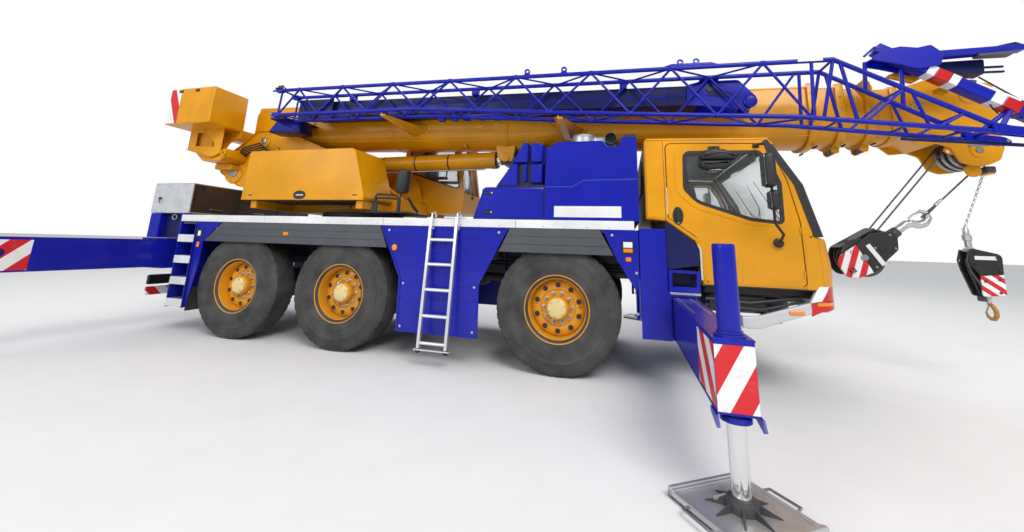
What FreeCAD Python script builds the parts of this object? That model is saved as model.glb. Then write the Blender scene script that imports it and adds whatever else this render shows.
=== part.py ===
import FreeCAD, Part
import math
import os
import re
import Sketcher

# A three-axle mobile crane, set up on its outriggers with the boom laid forward.
# Millimetres. +X is forward, +Y is the crane's left side, +Z is up, and Z = 0 is the ground.
# The origin is under the middle of the machine's overall length.

SIZES = [
    # the front of the boom's head, ahead of the front axle
    ("nose_reach", 4760),
    ("half_width", 1270),
    # axles and wheels
    ("axle_two_back", 2758),
    ("axle_gap", 1650),
    ("tyre_radius", 682),
    ("tyre_width", 375),
    ("tyre_inset", 45),
    ("rim_flange_radius", 357),
    ("rim_seat_radius", 318),
    ("rim_well_radius", 255),
    ("rim_wall", 18),
    ("hub_radius", 135),
    ("hub_reach", 70),
    ("kingpin_inset", 480),
    ("kingpin_radius", 45),
    ("axle_height", 130),
    ("axle_depth", 150),
    ("run_gap", 6),
    ("seat_gap", 0.3),
    # carrier frame and deck
    ("frame_half", 400),
    ("frame_low", 980),
    ("frame_top", 1500),
    ("frame_front", 1900),
    ("frame_tail", 6100),
    ("frame_web", 16),
    ("deck_top", 1630),
    ("deck_low", 1535),
    ("deck_plate", 30),
    ("deck_tail", 5530),
    ("deck_front", 830),
    ("edge_thick", 12),
    ("panel_thick", 22),
    ("fender_low_front", 1330),
    ("fender_low_rear", 1298),
    ("skirt_low", 320),
    ("arch_gap", 50),
    # outriggers
    ("beam_heel", 850),
    ("beam_wide", 205),
    ("beam_low", 500),
    ("beam_high", 880),
    ("beam_wall", 12),
    ("beam_reach", 3180),
    ("beam_rise", 370),
    ("front_beam_x", 1278),
    ("rear_beam_x", 5865),
    ("beam_gap", 8),
    ("box_wall", 16),
    ("jack_radius", 62),
    ("jack_wall", 9),
    ("jack_inset", 80),
    ("jack_top", 1390),
    ("rod_radius", 48),
    ("pad_half", 260),
    ("pad_thick", 26),
    ("pad_rim", 60),
    ("pad_turn", 35),
    # bonnet over the carrier engine
    ("hood_half", 1200),
    ("hood_tail", 1025),
    ("hood_step", 150),
    ("hood_front", 889),
    ("hood_low_top", 2020),
    ("hood_high_top", 2545),
    ("hood_inner", 430),
    ("sheet", 6),
    ("tow_radius", 25),
    # carrier cab
    ("cab_tail", 956),
    ("cab_seam", 1140),
    ("cab_roof", 2545),
    ("cab_floor", 1005),
    ("cab_inset", 30),
    ("door_front", 2370),
    ("cab_skin", 30),
    ("door_gap", 6),
    ("hinge_back", 8),
    ("hinge_radius", 10),
    ("mirror_out", 187),
    ("glass_thick", 6),
    # upper structure
    ("slew_back", 3350),
    ("slew_radius", 620),
    ("slew_low", 1640),
    ("slew_high", 1745),
    ("upper_half", 430),
    ("cheek_thick", 30),
    ("boom_pivot_back", 5150),
    ("boom_pivot_z", 2950),
    ("pivot_radius", 60),
    ("boom_lean", 1.5),
    ("boom_half", 330),
    ("boom_top", 640),
    ("boom_under", 90),
    ("boom_wall", 10),
    ("stage_gap", 8),
    ("boom_mouth", 8150),
    ("tele_step", 300),
    ("tele_length", 7500),
    ("collar_long", 90),
    ("collar_proud", 34),
    ("lift_foot_x", 2050),
    ("lift_foot_z", 2050),
    ("lift_eye_x", 4220),
    ("lift_eye_low", 480),
    ("barrel_radius", 125),
    ("ram_radius", 85),
    ("lift_pin_radius", 40),
    ("weight_tail", 6390),
    ("weight_front", 5470),
    ("weight_low", 3070),
    ("weight_top", 3670),
    ("weight_inner", 590),
    ("house_half", 1200),
    ("house_inner", 480),
    # jib stowed along the boom's right side
    ("jib_near", 1100),
    ("jib_far", 780),
    ("chord_radius", 26),
    ("lace_radius", 14),
    # hook blocks
    ("main_hook_x", 3490),
    ("small_hook_x", 4520),
    ("rope_radius", 9),
    ("thimble_radius", 13),
]

doc = FreeCAD.newDocument("mobile_crane")
sheet = doc.addObject("Spreadsheet::Sheet", "sizes")
for row, (alias, value) in enumerate(SIZES, 1):
    sheet.set("A%d" % row, alias)
    sheet.set("B%d" % row, str(value))
    sheet.setAlias("B%d" % row, alias)
doc.recompute()

NAMES = {alias for alias, value in SIZES}
Vec = FreeCAD.Vector
SEEN = {}
NODES = []


def bound(text):
    """The expression with each size's name pointing at the sheet."""
    return re.sub(r"[a-z_]{3,}", lambda hit: "sizes." + hit.group(0) if hit.group(0) in NAMES else hit.group(0), text)


def val(text):
    """The present value of an expression of sizes."""
    found = sheet.evalExpression(str(text))
    return float(getattr(found, "Value", found))


def fresh(kind, name):
    """A new object with a name of its own."""
    SEEN[name] = SEEN.get(name, 0) + 1
    return doc.addObject(kind, "%s_%d" % (name, SEEN[name]))


def place(thing, spot, turn=None):
    """Bind a piece's place to three expressions."""
    if turn is not None:
        thing.Placement = FreeCAD.Placement(Vec(0, 0, 0), turn)
    for letter, text in zip("xyz", spot):
        thing.setExpression("Placement.Base." + letter, bound(str(text)))
    return thing


def box(name, xs, ys, zs):
    """A block between three pairs of coordinates."""
    thing = fresh("Part::Box", name)
    for prop, (low, high) in zip(("Length", "Width", "Height"), (xs, ys, zs)):
        thing.setExpression(prop, bound("(%s) - (%s)" % (high, low)))
    return place(thing, (xs[0], ys[0], zs[0]))


ALONG = {
    "x": FreeCAD.Rotation(Vec(0, 1, 0), 90),
    "y": FreeCAD.Rotation(Vec(1, 0, 0), -90),
    "z": FreeCAD.Rotation(),
}


def rod(name, radius, start, axis, length):
    """A round bar from a start point along an axis."""
    thing = fresh("Part::Cylinder", name)
    thing.setExpression("Radius", bound(str(radius)))
    thing.setExpression("Height", bound(str(length)))
    return place(thing, start, ALONG[axis])


FACING = {
    "xy": FreeCAD.Rotation(),
    "xz": FreeCAD.Rotation(Vec(1, 0, 0), 90),
    "yz": FreeCAD.Rotation(0.5, 0.5, 0.5, 0.5),
}


def outline(name, plane, points, spot=("0", "0", "0")):
    """A closed sketch of straight lines, each corner held by two expressions."""
    draft = fresh("Sketcher::SketchObject", name)
    draft.Placement = FreeCAD.Placement(Vec(0, 0, 0), FACING[plane])
    here = [(val(u), val(v)) for u, v in points]
    count = len(here)
    lines = []
    for index in range(count):
        a = here[index]
        b = here[(index + 1) % count]
        lines.append(Part.LineSegment(Vec(a[0], a[1], 0), Vec(b[0], b[1], 0)))
    draft.addGeometry(lines, False)
    rules = [Sketcher.Constraint("Coincident", i, 2, (i + 1) % count, 1) for i in range(count)]
    for index, (u, v) in enumerate(here):
        rules.append(Sketcher.Constraint("DistanceX", -1, 1, index, 1, u))
        rules.append(Sketcher.Constraint("DistanceY", -1, 1, index, 1, v))
    draft.addConstraint(rules)
    for index, (u, v) in enumerate(points):
        draft.setExpression("Constraints[%d]" % (count + 2 * index), bound(str(u)))
        draft.setExpression("Constraints[%d]" % (count + 2 * index + 1), bound(str(v)))
    for letter, text in zip("xyz", spot):
        draft.setExpression("Placement.Base." + letter, bound(str(text)))
    return draft


def slab(name, plane, points, low, high):
    """A flat shape given thickness between two levels of the third axis."""
    spots = {"xy": ("0", "0", low), "xz": ("0", high, "0"), "yz": (low, "0", "0")}
    draft = outline(name + "_outline", plane, points, spots[plane])
    thing = fresh("Part::Extrusion", name)
    thing.Base = draft
    thing.DirMode = "Normal"
    thing.Solid = True
    thing.setExpression("LengthFwd", bound("(%s) - (%s)" % (high, low)))
    return thing


def spun(name, points, centre, axis="y"):
    """A ring or disc turned about an axis through a centre, from (radius, along) corners."""
    draft = outline(name + "_outline", "xy", points)
    turned = fresh("Part::Revolution", name + "_turned")
    turned.Source = draft
    turned.Axis = (0, 1, 0)
    turned.Base = (0, 0, 0)
    turned.Angle = 360
    turned.Solid = True
    held = fresh("Part::Compound", name)
    held.Links = [turned]
    turn = {"y": FreeCAD.Rotation(), "z": FreeCAD.Rotation(Vec(1, 0, 0), 90)}[axis]
    return place(held, centre, turn)


def fuse(name, things):
    """Pieces joined into one solid."""
    thing = fresh("Part::MultiFuse", name)
    thing.Shapes = things
    thing.Refine = True
    return thing


def cut(name, base, tools):
    """A piece with others taken out of it."""
    tool = tools[0] if len(tools) == 1 else fuse(name + "_tools", tools)
    thing = fresh("Part::Cut", name)
    thing.Base = base
    thing.Tool = tool
    return thing


def flip(name, thing):
    """The same piece on the other side of the centre plane."""
    other = fresh("Part::Mirroring", name)
    other.Source = thing
    other.Base = (0, 0, 0)
    other.Normal = (0, 1, 0)
    return other


def both(name, thing):
    """A piece and its mirror image."""
    return [thing, flip(name + "_left", thing)]


def strut(name, radius, start, end):
    """A round tube between two points given by expressions, as a bound cylinder."""
    a = Vec(*[val(text) for text in start])
    b = Vec(*[val(text) for text in end])
    thing = fresh("Part::Feature", name)
    thing.Shape = Part.makeCylinder(val(radius), (b - a).Length, a, b - a)
    return thing


def node(label, things, lean=False):
    """One named piece of the crane, made of one or more solids."""
    whole = doc.addObject("Part::Compound", label)
    whole.Links = things
    whole.Label = label
    if lean:
        # the boom's own pieces are drawn level from the pivot and then leaned as one
        whole.Placement = FreeCAD.Placement(Vec(0, 0, 0), FreeCAD.Rotation(Vec(0, 1, 0), 1))
        whole.setExpression("Placement.Rotation.Angle", bound("boom_lean"))
        whole.setExpression("Placement.Base.x", bound(PIVOT_X))
        whole.setExpression("Placement.Base.z", bound("boom_pivot_z"))
    NODES.append(whole)
    return whole


# the front axle lies this far ahead of the origin, midway from the boom's head to the rear left pad
PAIR_STEP = "(beam_wide + 2 * beam_gap + box_wall)"
FX = "((rear_beam_x + %s + pad_half * (sin(pad_turn) + cos(pad_turn)) - nose_reach) / 2)" % PAIR_STEP
PIVOT_X = FX + " - boom_pivot_back"
SLEW_X = FX + " - slew_back"
AXLES = [
    ("front", FX),
    ("middle", FX + " - axle_two_back"),
    ("rear", FX + " - axle_two_back - axle_gap"),
]


def at(ahead):
    """A station ahead of the front axle."""
    return "%s + (%s)" % (FX, ahead)


# Wheels, knuckles and axles: three axles of steered single wheels.
WHEEL_Y = "((half_width - tyre_inset) - tyre_width / 2)"
SPINDLE = "38"


def wheel(which, side, x, dish):
    """A tyre and a rim in nodes of their own, on one side of one axle."""
    half = "tyre_width / 2"
    tread = [
        ("rim_seat_radius + seat_gap", "150 - seat_gap"),
        ("rim_flange_radius + seat_gap", "150 - seat_gap"),
        ("rim_flange_radius + 14", "tyre_width / 2 - 16"),
        ("rim_flange_radius + 140", half),
        ("tyre_radius - 45", "tyre_width / 2 - 6"),
        ("tyre_radius", "tyre_width / 2 - 38"),
    ]
    ring = tread + [(r, "-(%s)" % a) for r, a in reversed(tread)]
    out = 1 if side == "left" else -1
    centre = (x, "%d * %s" % (out, WHEEL_Y), "tyre_radius")
    node("tyre_%s_%s" % (which, side), [spun("tyre", ring, centre)])
    band = [
        ("rim_seat_radius - rim_wall", "-164"),
        ("rim_flange_radius", "-164"),
        ("rim_flange_radius", "-150"),
        ("rim_seat_radius", "-150"),
        ("rim_seat_radius", "150"),
        ("rim_flange_radius", "150"),
        ("rim_flange_radius", "164"),
        ("rim_seat_radius - rim_wall", "164"),
    ]
    inner = "%d * (%s - 60)" % (out, dish)
    outer = "%d * (%s + hub_reach)" % (out, dish)
    depth = "%d * (%s + 20)" % (out, dish)
    hub = [
        ("0", outer),
        ("hub_radius", outer),
        ("hub_radius", inner),
        (SPINDLE + " + 0.05", inner),
        (SPINDLE + " + 0.05", depth),
        ("0", depth),
    ]
    disc = [
        ("hub_radius - 20", "%d * (%s - 8)" % (out, dish)),
        ("rim_seat_radius - rim_wall + 4", "%d * (%s - 8)" % (out, dish)),
        ("rim_seat_radius - rim_wall + 4", "%d * (%s + 8)" % (out, dish)),
        ("hub_radius - 20", "%d * (%s + 8)" % (out, dish)),
    ]
    parts = [spun("rim_band", band, centre), spun("rim_hub", hub, centre), spun("rim_disc", disc, centre)]
    node("rim_%s_%s" % (which, side), [fuse("rim", parts)])


def knuckle(which, side, x, dish):
    """Kingpin, two arms, a face plate and the spindle that the hub turns on."""
    out = 1 if side == "left" else -1

    def across(low, high):
        pair = ["%d * (%s)" % (out, low), "%d * (%s)" % (out, high)]
        return tuple(pair) if out > 0 else (pair[1], pair[0])

    pin = rod("kingpin", "kingpin_radius", (x, "%d * (half_width - kingpin_inset)" % out, "tyre_radius - 118"), "z", "236")
    arms = []
    for low, high in (("-118", "-78"), ("78", "118")):
        level = ("tyre_radius + %s" % low, "tyre_radius + %s" % high)
        arms.append(box("arm", (x + " - 55", x + " + 55"), across("(half_width - kingpin_inset)", "(half_width - kingpin_inset) + 112"), level))
    face_y = across("(half_width - kingpin_inset) + 92", "(half_width - kingpin_inset) + 112")
    face = box("face", (x + " - 55", x + " + 55"), face_y, ("tyre_radius - 118", "tyre_radius + 118"))
    tip = "%s + %s + 20 - 1" % (WHEEL_Y, dish)
    start = across("(half_width - kingpin_inset) + 100", tip)[0]
    spindle = rod("spindle", SPINDLE, (x, start, "tyre_radius"), "y", "%s - (half_width - kingpin_inset) - 100" % tip)
    steer_arm = box("steer_arm", (x + " - 190", x + " - 50"), across("(half_width - kingpin_inset) + 20", "(half_width - kingpin_inset) + 60"),
                    ("tyre_radius - 118", "tyre_radius - 90"))
    node("knuckle_%s_%s" % (which, side), [fuse("knuckle", [pin, face, spindle, steer_arm] + arms)])


DISHES = {"front": "60", "middle": "-20", "rear": "-20"}
axle_parts = []
for which, x in AXLES:
    for side in ("right", "left"):
        wheel(which, side, x, DISHES[which])
        knuckle(which, side, x, DISHES[which])
    beam = box("axle_beam", (x + " - axle_depth / 2", x + " + axle_depth / 2"),
               ("-(half_width - kingpin_inset) + 70", "(half_width - kingpin_inset) - 70"), ("tyre_radius - axle_height / 2", "tyre_radius + axle_height / 2"))
    pot = rod("axle_bowl", "190", (x + " - 110", "0", "tyre_radius"), "x", "220")
    blocks = []
    eyes = []
    bores = []
    for out in (-1, 1):
        middle = "%d * 330" % out
        blocks.append(box("spring", (x + " - 60", x + " + 60"), (middle + " - 45", middle + " + 45"),
                          ("tyre_radius + axle_height / 2 - 1", "frame_low")))
        spot = (x, "%d * (half_width - kingpin_inset)" % out, "tyre_radius - axle_height / 2")
        eyes.append(rod("axle_eye", "82", spot, "z", "axle_height"))
        bores.append(rod("axle_bore", "kingpin_radius + 0.05", spot, "z", "axle_height"))
    solid = fuse("axle", [beam, pot] + blocks + eyes)
    axle_parts.append(cut("axle_bored", solid, bores))
node("axles", axle_parts)


# Carrier: a closed frame, the deck, side panels and the bonnet behind the cab.
BOX_HALF = "(beam_wide / 2 + beam_gap + box_wall)"
REAR_FACE = FX + " - rear_beam_x + %s" % BOX_HALF
FRAME_END = at("1330")

outer = box("frame_outer", (REAR_FACE, FRAME_END), ("-frame_half", "frame_half"), ("frame_low", "frame_top"))
inner = box("frame_inner", (REAR_FACE + " + frame_web", FRAME_END + " - frame_web"),
            ("-frame_half + frame_web", "frame_half - frame_web"), ("frame_low + frame_web", "frame_top - frame_web"))
pedestal = rod("pedestal", "slew_radius", (SLEW_X, "0", "frame_top - 2"), "z", "slew_low - frame_top + 2")
frame = fuse("frame", [cut("frame_box", outer, [inner]), pedestal])
node("frame", [frame])

# The deck stands on cross bearers and has a bright edge along both sides.
bearers = []
for ahead in ("-deck_tail + 80", "-deck_tail + 580", "-3700", "-2100", "-1300", "-500", "300"):
    x = at(ahead)
    bearers.append(box("bearer", (x + " - 35", x + " + 35"), ("-half_width + 60", "half_width - 60"),
                       ("frame_top", "deck_top - deck_plate + 1")))
sheet_plate = box("deck_sheet", (at("-deck_tail"), at("deck_front")), ("-half_width + edge_thick", "half_width - edge_thick"),
                  ("deck_top - deck_plate", "deck_top"))
edges = []
for out in (-1, 1):
    ys = ("half_width - edge_thick", "half_width") if out > 0 else ("-half_width", "-half_width + edge_thick")
    edges.append(box("deck_edge", (at("-deck_tail"), at("deck_front")), ys, ("deck_low", "deck_top")))
well = rod("deck_well", "slew_radius + run_gap", (SLEW_X, "0", "frame_top - 5"), "z", "300")
node("deck", [cut("deck", fuse("deck_whole", bearers + [sheet_plate] + edges), [well])])

RIGHT = ("-half_width", "-half_width + panel_thick")


def side_plate(name, points):
    """A plate in the right side's plane, from stations ahead of the front axle."""
    return slab(name, "xz", [(at(x), str(z)) for x, z in points], *RIGHT)


# Blue side panels: the middle skirt, the piece before the front arch and the rear one.
skirt = side_plate("skirt", [(-2200, "deck_low"), (-1897, 927), (-1881, "skirt_low"), (-872, "skirt_low"),
                             (-875, 903), (-545, "deck_low")])
fore = side_plate("fore_panel", [(500, "deck_low"), (646, 1228), (828, 923), (828, 640), (866, 640), (866, "deck_low")])
aft = side_plate("aft_panel", [("-deck_tail + 330", "deck_low"), ("-deck_tail + 370", "skirt_low + 60"), ("-deck_tail + 470", 927),
                               ("-deck_tail + 489", 1268), ("-deck_tail + 765", "deck_low")])
panels = []
for piece, ahead in ((skirt, "-1400"), (fore, "760"), (aft, "-deck_tail + 450")):
    # a bracket reaches in from each panel to the frame
    x = at(ahead)
    stay = box("panel_stay", (x + " - 25", x + " + 25"), ("-half_width + panel_thick - 1", "-frame_half"), ("1380", "1430"))
    panels += both("side_panel", fuse("panel_with_stay", [piece, stay]))
node("side_panels", panels)

# Dark mudguards: a band along each arch and the roof of the arch behind it.
fenders = []
for name, band, span in (
        ("rear_band", [("-deck_tail + 785", "deck_low"), ("-deck_tail + 535", "fender_low_rear"), (-2110, "fender_low_rear"),
                       (-2215, "deck_low")], ("-deck_tail + 700", "-2180")),
        ("front_band", [(-530, "deck_low"), (-630, "fender_low_front"), (579, "fender_low_front"), (470, "deck_low")], ("-575", "520"))):
    face = side_plate(name, band)
    roof = box(name + "_roof", (at(span[0]), at(span[1])), ("-half_width + panel_thick - 1", "-frame_half"), ("1440", "1452"))
    fenders += both(name + "_side", fuse(name + "_whole", [face, roof]))
node("fenders", fenders)

# Bonnet: low tail, tall front, closed top, open below over the engine.
profile = [(at("-hood_tail"), "deck_top"), (at("-hood_tail + 125"), "hood_low_top"), (at("-hood_step"), "hood_low_top"),
           (at("-hood_step"), "hood_high_top"), (at("hood_front"), "hood_high_top"), (at("hood_front"), "deck_top")]
hollow = [(at("-hood_tail + 8"), "deck_top"), (at("-hood_tail + 131"), "hood_low_top - sheet"),
          (at("-hood_step + sheet"), "hood_low_top - sheet"), (at("-hood_step + sheet"), "hood_high_top - sheet"),
          (at("hood_front - sheet"), "hood_high_top - sheet"), (at("hood_front - sheet"), "deck_top")]
shell = cut("hood_shell", slab("hood_solid", "xz", profile, "-hood_half", "hood_half"),
            [slab("hood_hollow", "xz", hollow, "-hood_half + sheet", "hood_half - sheet")])
node("hood", [shell])
engine_block = box("engine_block", (at("-60"), at("780")), ("-360", "360"), ("deck_top", "2340"))
gearbox = box("gearbox", (at("-760"), at("-61")), ("-230", "230"), ("deck_top", "1960"))
node("engine", [fuse("engine", [engine_block, gearbox])])

# Air intakes behind the tall bonnet and the silencer and tailpipe on top of it.
INTAKE_TOP = "hood_high_top - 5"
wedge = slab("intake_wedge", "xz", [(at("-760"), "hood_low_top"), (at("-hood_step"), INTAKE_TOP),
                                    (at("-hood_step"), "hood_low_top")], "-hood_half + 20", "-hood_half + 60")
cans = [rod("intake_can", "95", (at(x), "-hood_half + 170", "hood_low_top"), "z", "%s - 70 - hood_low_top" % INTAKE_TOP)
        for x in (-560, -300)]
intakes = [wedge] + cans
pot = rod("silencer", "148", (at("274"), "-880", "hood_high_top"), "z", "143")
pot_hole = rod("pipe_bore", "52", (at("612"), "-880", "hood_high_top - 15"), "z", "200")
pipe = cut("tailpipe", rod("pipe", "62", (at("612"), "-880", "hood_high_top"), "z", "87"), [pot_hole])
node("intakes", intakes)
node("exhaust", [pot, pipe])


# Outrigger boxes under and behind the frame, two beams side by side in each.
SETS = [
    ("front", FX + " + front_beam_x", "0"),
    ("rear", FX + " - rear_beam_x", "380"),
]
boxes = []
for which, right_x, lift in SETS:
    left_x = "%s - %s" % (right_x, PAIR_STEP)
    low = "beam_low - beam_gap - box_wall + %s" % lift
    high = "beam_high + beam_gap + box_wall + %s" % lift
    shell = box("rig_box", (left_x + " - %s" % BOX_HALF, right_x + " + %s" % BOX_HALF), ("-half_width", "half_width"), (low, high))
    slots = []
    for x in (right_x, left_x):
        slots.append(box("rig_slot", (x + " - beam_wide / 2 - beam_gap", x + " + beam_wide / 2 + beam_gap"),
                         ("-half_width - 5", "half_width + 5"), (low + " + box_wall", high + " - box_wall")))
    body = cut("rig_tube", shell, slots)
    # a wear pad on the floor of each mouth carries the beam
    pads = []
    for x, out in ((right_x, -1), (left_x, 1)):
        ys = ("half_width - 110", "half_width - 10") if out > 0 else ("-half_width + 10", "-half_width + 110")
        pads.append(box("mouth_pad", (x + " - 70", x + " + 70"), ys, (low + " + box_wall - 1", low + " + box_wall + beam_gap - seat_gap")))
    body = fuse("rig_with_pads", [body] + pads)
    if which == "front":
        posts = []
        for out in (-1, 1):
            ys = ("half_width - 330", "half_width") if out > 0 else ("-half_width", "-half_width + 330")
            posts.append(box("pillar", (at("872"), at("1138")), ys, (high + " - 1", "1560")))
        saddle = box("saddle", (left_x + " - %s" % BOX_HALF, right_x + " + %s" % BOX_HALF), ("-frame_half", "frame_half"),
                     (high + " - 1", "frame_low"))
        # two low rails run on forward and carry the cab's floor and the bumper
        rails = []
        for out in (-1, 1):
            middle = "%d * 330" % out
            rails.append(box("nose_rail", (right_x + " + %s - 2" % BOX_HALF, at("2440")), (middle + " - 50", middle + " + 50"),
                             ("820", "cab_floor")))
        body = fuse("rig_front", [body, saddle] + posts + rails)
    else:
        end = left_x + " - %s" % BOX_HALF
        jaw = box("tow_jaw", (end + " - 110", end + " + 1"), ("-25", "25"), (low + " + 120", low + " + 260"))
        eye = rod("jaw_bore", "tow_radius", (end + " - 60", "-30", low + " + 190"), "y", "60")
        body = cut("rig_rear_bored", fuse("rig_rear", [body, jaw]), [eye])
    boxes.append(body)
node("outrigger_boxes", boxes)

for which, right_x, lift in SETS:
    for side, out in (("right", -1), ("left", 1)):
        x = right_x if side == "right" else "%s - %s" % (right_x, PAIR_STEP)
        ends = ["%d * beam_heel" % out, "%d * beam_reach" % out]
        ys = tuple(ends) if out > 0 else (ends[1], ends[0])
        zs = ("beam_low + %s" % lift, "beam_high + %s" % lift)
        outer = box("beam", (x + " - beam_wide / 2", x + " + beam_wide / 2"), ys, zs)
        inside = ["%d * (beam_heel - 5)" % out, "%d * (beam_reach - beam_wall)" % out]
        hollow = box("beam_hollow", (x + " - beam_wide / 2 + beam_wall", x + " + beam_wide / 2 - beam_wall"),
                     tuple(inside) if out > 0 else (inside[1], inside[0]), (zs[0] + " + beam_wall", zs[1] + " - beam_wall"))
        spot = (x, "%d * (beam_reach - jack_inset)" % out, zs[0] + " - 20")
        tube = rod("jack_tube", "jack_radius", spot, "z", "jack_top - beam_low + 20")
        bore = rod("jack_bore", "jack_radius - jack_wall", (spot[0], spot[1], zs[0] + " - 25"), "z",
                   "jack_top - beam_low + 25 - jack_wall")
        heel = ["%d * beam_heel" % out, "%d * (beam_heel + 100)" % out]
        shoe = box("beam_shoe", (x + " - 70", x + " + 70"), tuple(heel) if out > 0 else (heel[1], heel[0]),
                   (zs[1] + " - 1", zs[1] + " + beam_gap - seat_gap"))
        whole = cut("beam_bored", fuse("beam_with_jack", [cut("beam_tube", outer, [hollow]), tube, shoe]), [bore])
        node("outrigger_beam_%s_%s" % (which, side), [whole])
        centre = (x, "%d * (beam_reach - jack_inset)" % out, "pad_thick - 1")
        ram = rod("jack_rod", "rod_radius", centre, "z", "950 + %s" % lift)
        piston = rod("jack_piston", "jack_radius - jack_wall - 0.05", (centre[0], centre[1], "pad_thick + 889 + %s" % lift), "z", "60")
        tray = box("pad_tray", ("-pad_half", "pad_half"), ("-pad_half", "pad_half"), ("0", "pad_thick"))
        rails = [box("pad_rail", ("-pad_half", "pad_half"), ys2, ("0", "pad_rim"))
                 for ys2 in (("-pad_half", "-pad_half + 30"), ("pad_half - 30", "pad_half"))]
        cup = rod("pad_cup", "80", ("0", "0", "pad_thick - 1"), "z", "45")
        pad = fuse("pad", [tray, cup] + rails)
        pad.Placement = FreeCAD.Placement(Vec(0, 0, 0), FreeCAD.Rotation(Vec(0, 0, 1), 1))
        pad.setExpression("Placement.Rotation.Angle", bound("%d * pad_turn" % -out))
        pad.setExpression("Placement.Base.x", bound(x))
        pad.setExpression("Placement.Base.y", bound("%d * (beam_reach - jack_inset)" % out))
        node("jack_%s_%s" % (which, side), [fuse("jack", [ram, piston, pad])])

# Fixed steps at the tail corner, the hung ladder amidships and the locker at the rear.
steps = []
for x0, x1 in (("-deck_tail", "-deck_tail + 15"), ("-deck_tail + 290", "-deck_tail + 305")):
    steps.append(box("step_cheek", (at(x0), at(x1)), ("-half_width + 25", "-half_width + 245"), ("400", "deck_top - deck_plate")))
for z in (430, 720, 1010, 1300):
    steps.append(box("tread", (at("-deck_tail"), at("-deck_tail + 305")), ("-half_width + 5", "-half_width + 235"), (str(z), str(z + 25))))
stair = fuse("stair", steps)
hook_on = box("ladder_hook", (at("-1470"), at("-1130")), ("-half_width - 50", "-half_width + 60"), ("deck_top", "deck_top + 12"))
stiles = []
for x in (-1455, -1145):
    stiles.append(box("stile", (at(x - 12), at(x + 12)), ("-half_width - 50", "-half_width - 8"), ("430", "deck_top + 12")))
rungs = [rod("rung", "14", (at("-1460"), "-half_width - 29", str(z)), "x", "320") for z in (520, 800, 1080, 1360)]
ladder = fuse("ladder", [hook_on] + stiles + rungs)
locker = cut("locker", box("locker_shell", (at("-deck_tail - 760"), at("-deck_tail + 20")), ("-hood_half", "hood_half"), ("1655", "2110")),
             [box("locker_hollow", (at("-deck_tail - 754"), at("-deck_tail + 14")), ("-hood_half + 6", "hood_half - 6"), ("1661", "2104"))])
shelf = box("locker_shelf", (at("-deck_tail - 710"), at("-deck_tail - 215")), ("-600", "600"), ("1284", "1655.5"))
node("ladders_and_locker", both("stair", stair) + [ladder, fuse("locker_on_shelf", [locker, shelf])])

# Front bumper with its lamp corners, and the rear guard below the rear box.
bump = [(1840, 614), (1840, 718), (2410, 890), (2436, 985), (2660, 985), (2690, 700), (2600, 660), (2050, 614)]
bump_in = [(1830, 640), (1830, 700), (2430, 860), (2450, 950), (2470, 950), (2470, 640)]
wide = slab("bumper_solid", "xz", [(at(x), str(z)) for x, z in bump], "-(half_width - cab_inset) - 20", "(half_width - cab_inset) + 20")
scoop = slab("bumper_scoop", "xz", [(at(x), str(z)) for x, z in [(1820, 600), (1820, 1000), (2440, 1000), (2440, 600)]],
             "-(half_width - cab_inset) + 10", "(half_width - cab_inset) - 10")
LUG = [(2600, 790), (2600, 930), (2750, 930), (2790, 890), (2790, 830), (2750, 790)]
tow_lug = slab("tow_lug", "xz", [(at(x), str(z)) for x, z in LUG], "-22", "22")
tow_bore = rod("tow_bore", "tow_radius", (at("2735"), "-25", "860"), "y", "50")
bumper = cut("bumper_bored", fuse("bumper", [cut("bumper_open", wide, [scoop]), tow_lug]), [tow_bore])
guard = box("rear_guard", (at("-6150"), at("-6110")), ("-1150", "1150"), ("450", "570"))
hangers = []
for out in (-1, 1):
    middle = "%d * 700" % out
    hangers.append(box("guard_hanger", (at("-6160"), at("-6100")), (middle + " - 30", middle + " + 30"),
                       ("560", "beam_low + 380 - beam_gap - box_wall")))
node("bumpers", [bumper, fuse("rear_guard", [guard] + hangers)])


# Carrier cab: one hollow shell with door openings, windscreen and roof.
# Corner stations ahead of the front axle and heights, with the way each moves inward by the skin.
CAB = [
    ("cab_tail", "1657", 1, 1),
    ("cab_tail", "cab_roof - 45", 1, -1),
    ("cab_tail + 27", "cab_roof", 1, -1),
    ("2170", "cab_roof - 35", -1, -1),
    ("2232", "2372", -1, 0),
    ("2428", "2017", -1, 0),
    ("2550", "1510", -1, -1),
    ("2654", "1492", -1, -1),
    ("2692", "1196", -1, 0),
    ("2680", "cab_floor", -1, 1),
    ("1473", "cab_floor", 1, 1),
    ("1451", "1361", 1, 0.6),
    ("1418", "1440", 0.6, 1),
    ("cab_seam + 5", "1638", 0.6, 1),
]
DOOR = [
    ("cab_seam + 30", "1672"),
    ("cab_seam + 30", "cab_roof - 70"),
    ("2128", "cab_roof - 105"),
    ("2196", "2330"),
    ("2296", "2060"),
    ("door_front", "1650"),
    ("door_front", "cab_floor + 35"),
    ("1502", "cab_floor + 35"),
    ("1480", "1385"),
    ("1436", "1480"),
]
WINDOW = [
    ("1369", "2362"),
    ("2071", "2349"),
    ("2180", "2160"),
    ("2225", "2028"),
    ("2218", "1640"),
    ("1953", "1672"),
    ("1470", "1845"),
    ("1355", "1979"),
]


def grown(points, by):
    """Corners pushed out from the middle of the shape."""
    cx = sum(val(u) for u, v in points) / len(points)
    cz = sum(val(v) for u, v in points) / len(points)
    out = []
    for u, v in points:
        du = "+" if val(u) > cx else "-"
        dv = "+" if val(v) > cz else "-"
        out.append(("%s %s (%s)" % (u, du, by), "%s %s (%s)" % (v, dv, by)))
    return out


def ahead_of(points):
    return [(at(u), v) for u, v in points]


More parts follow.
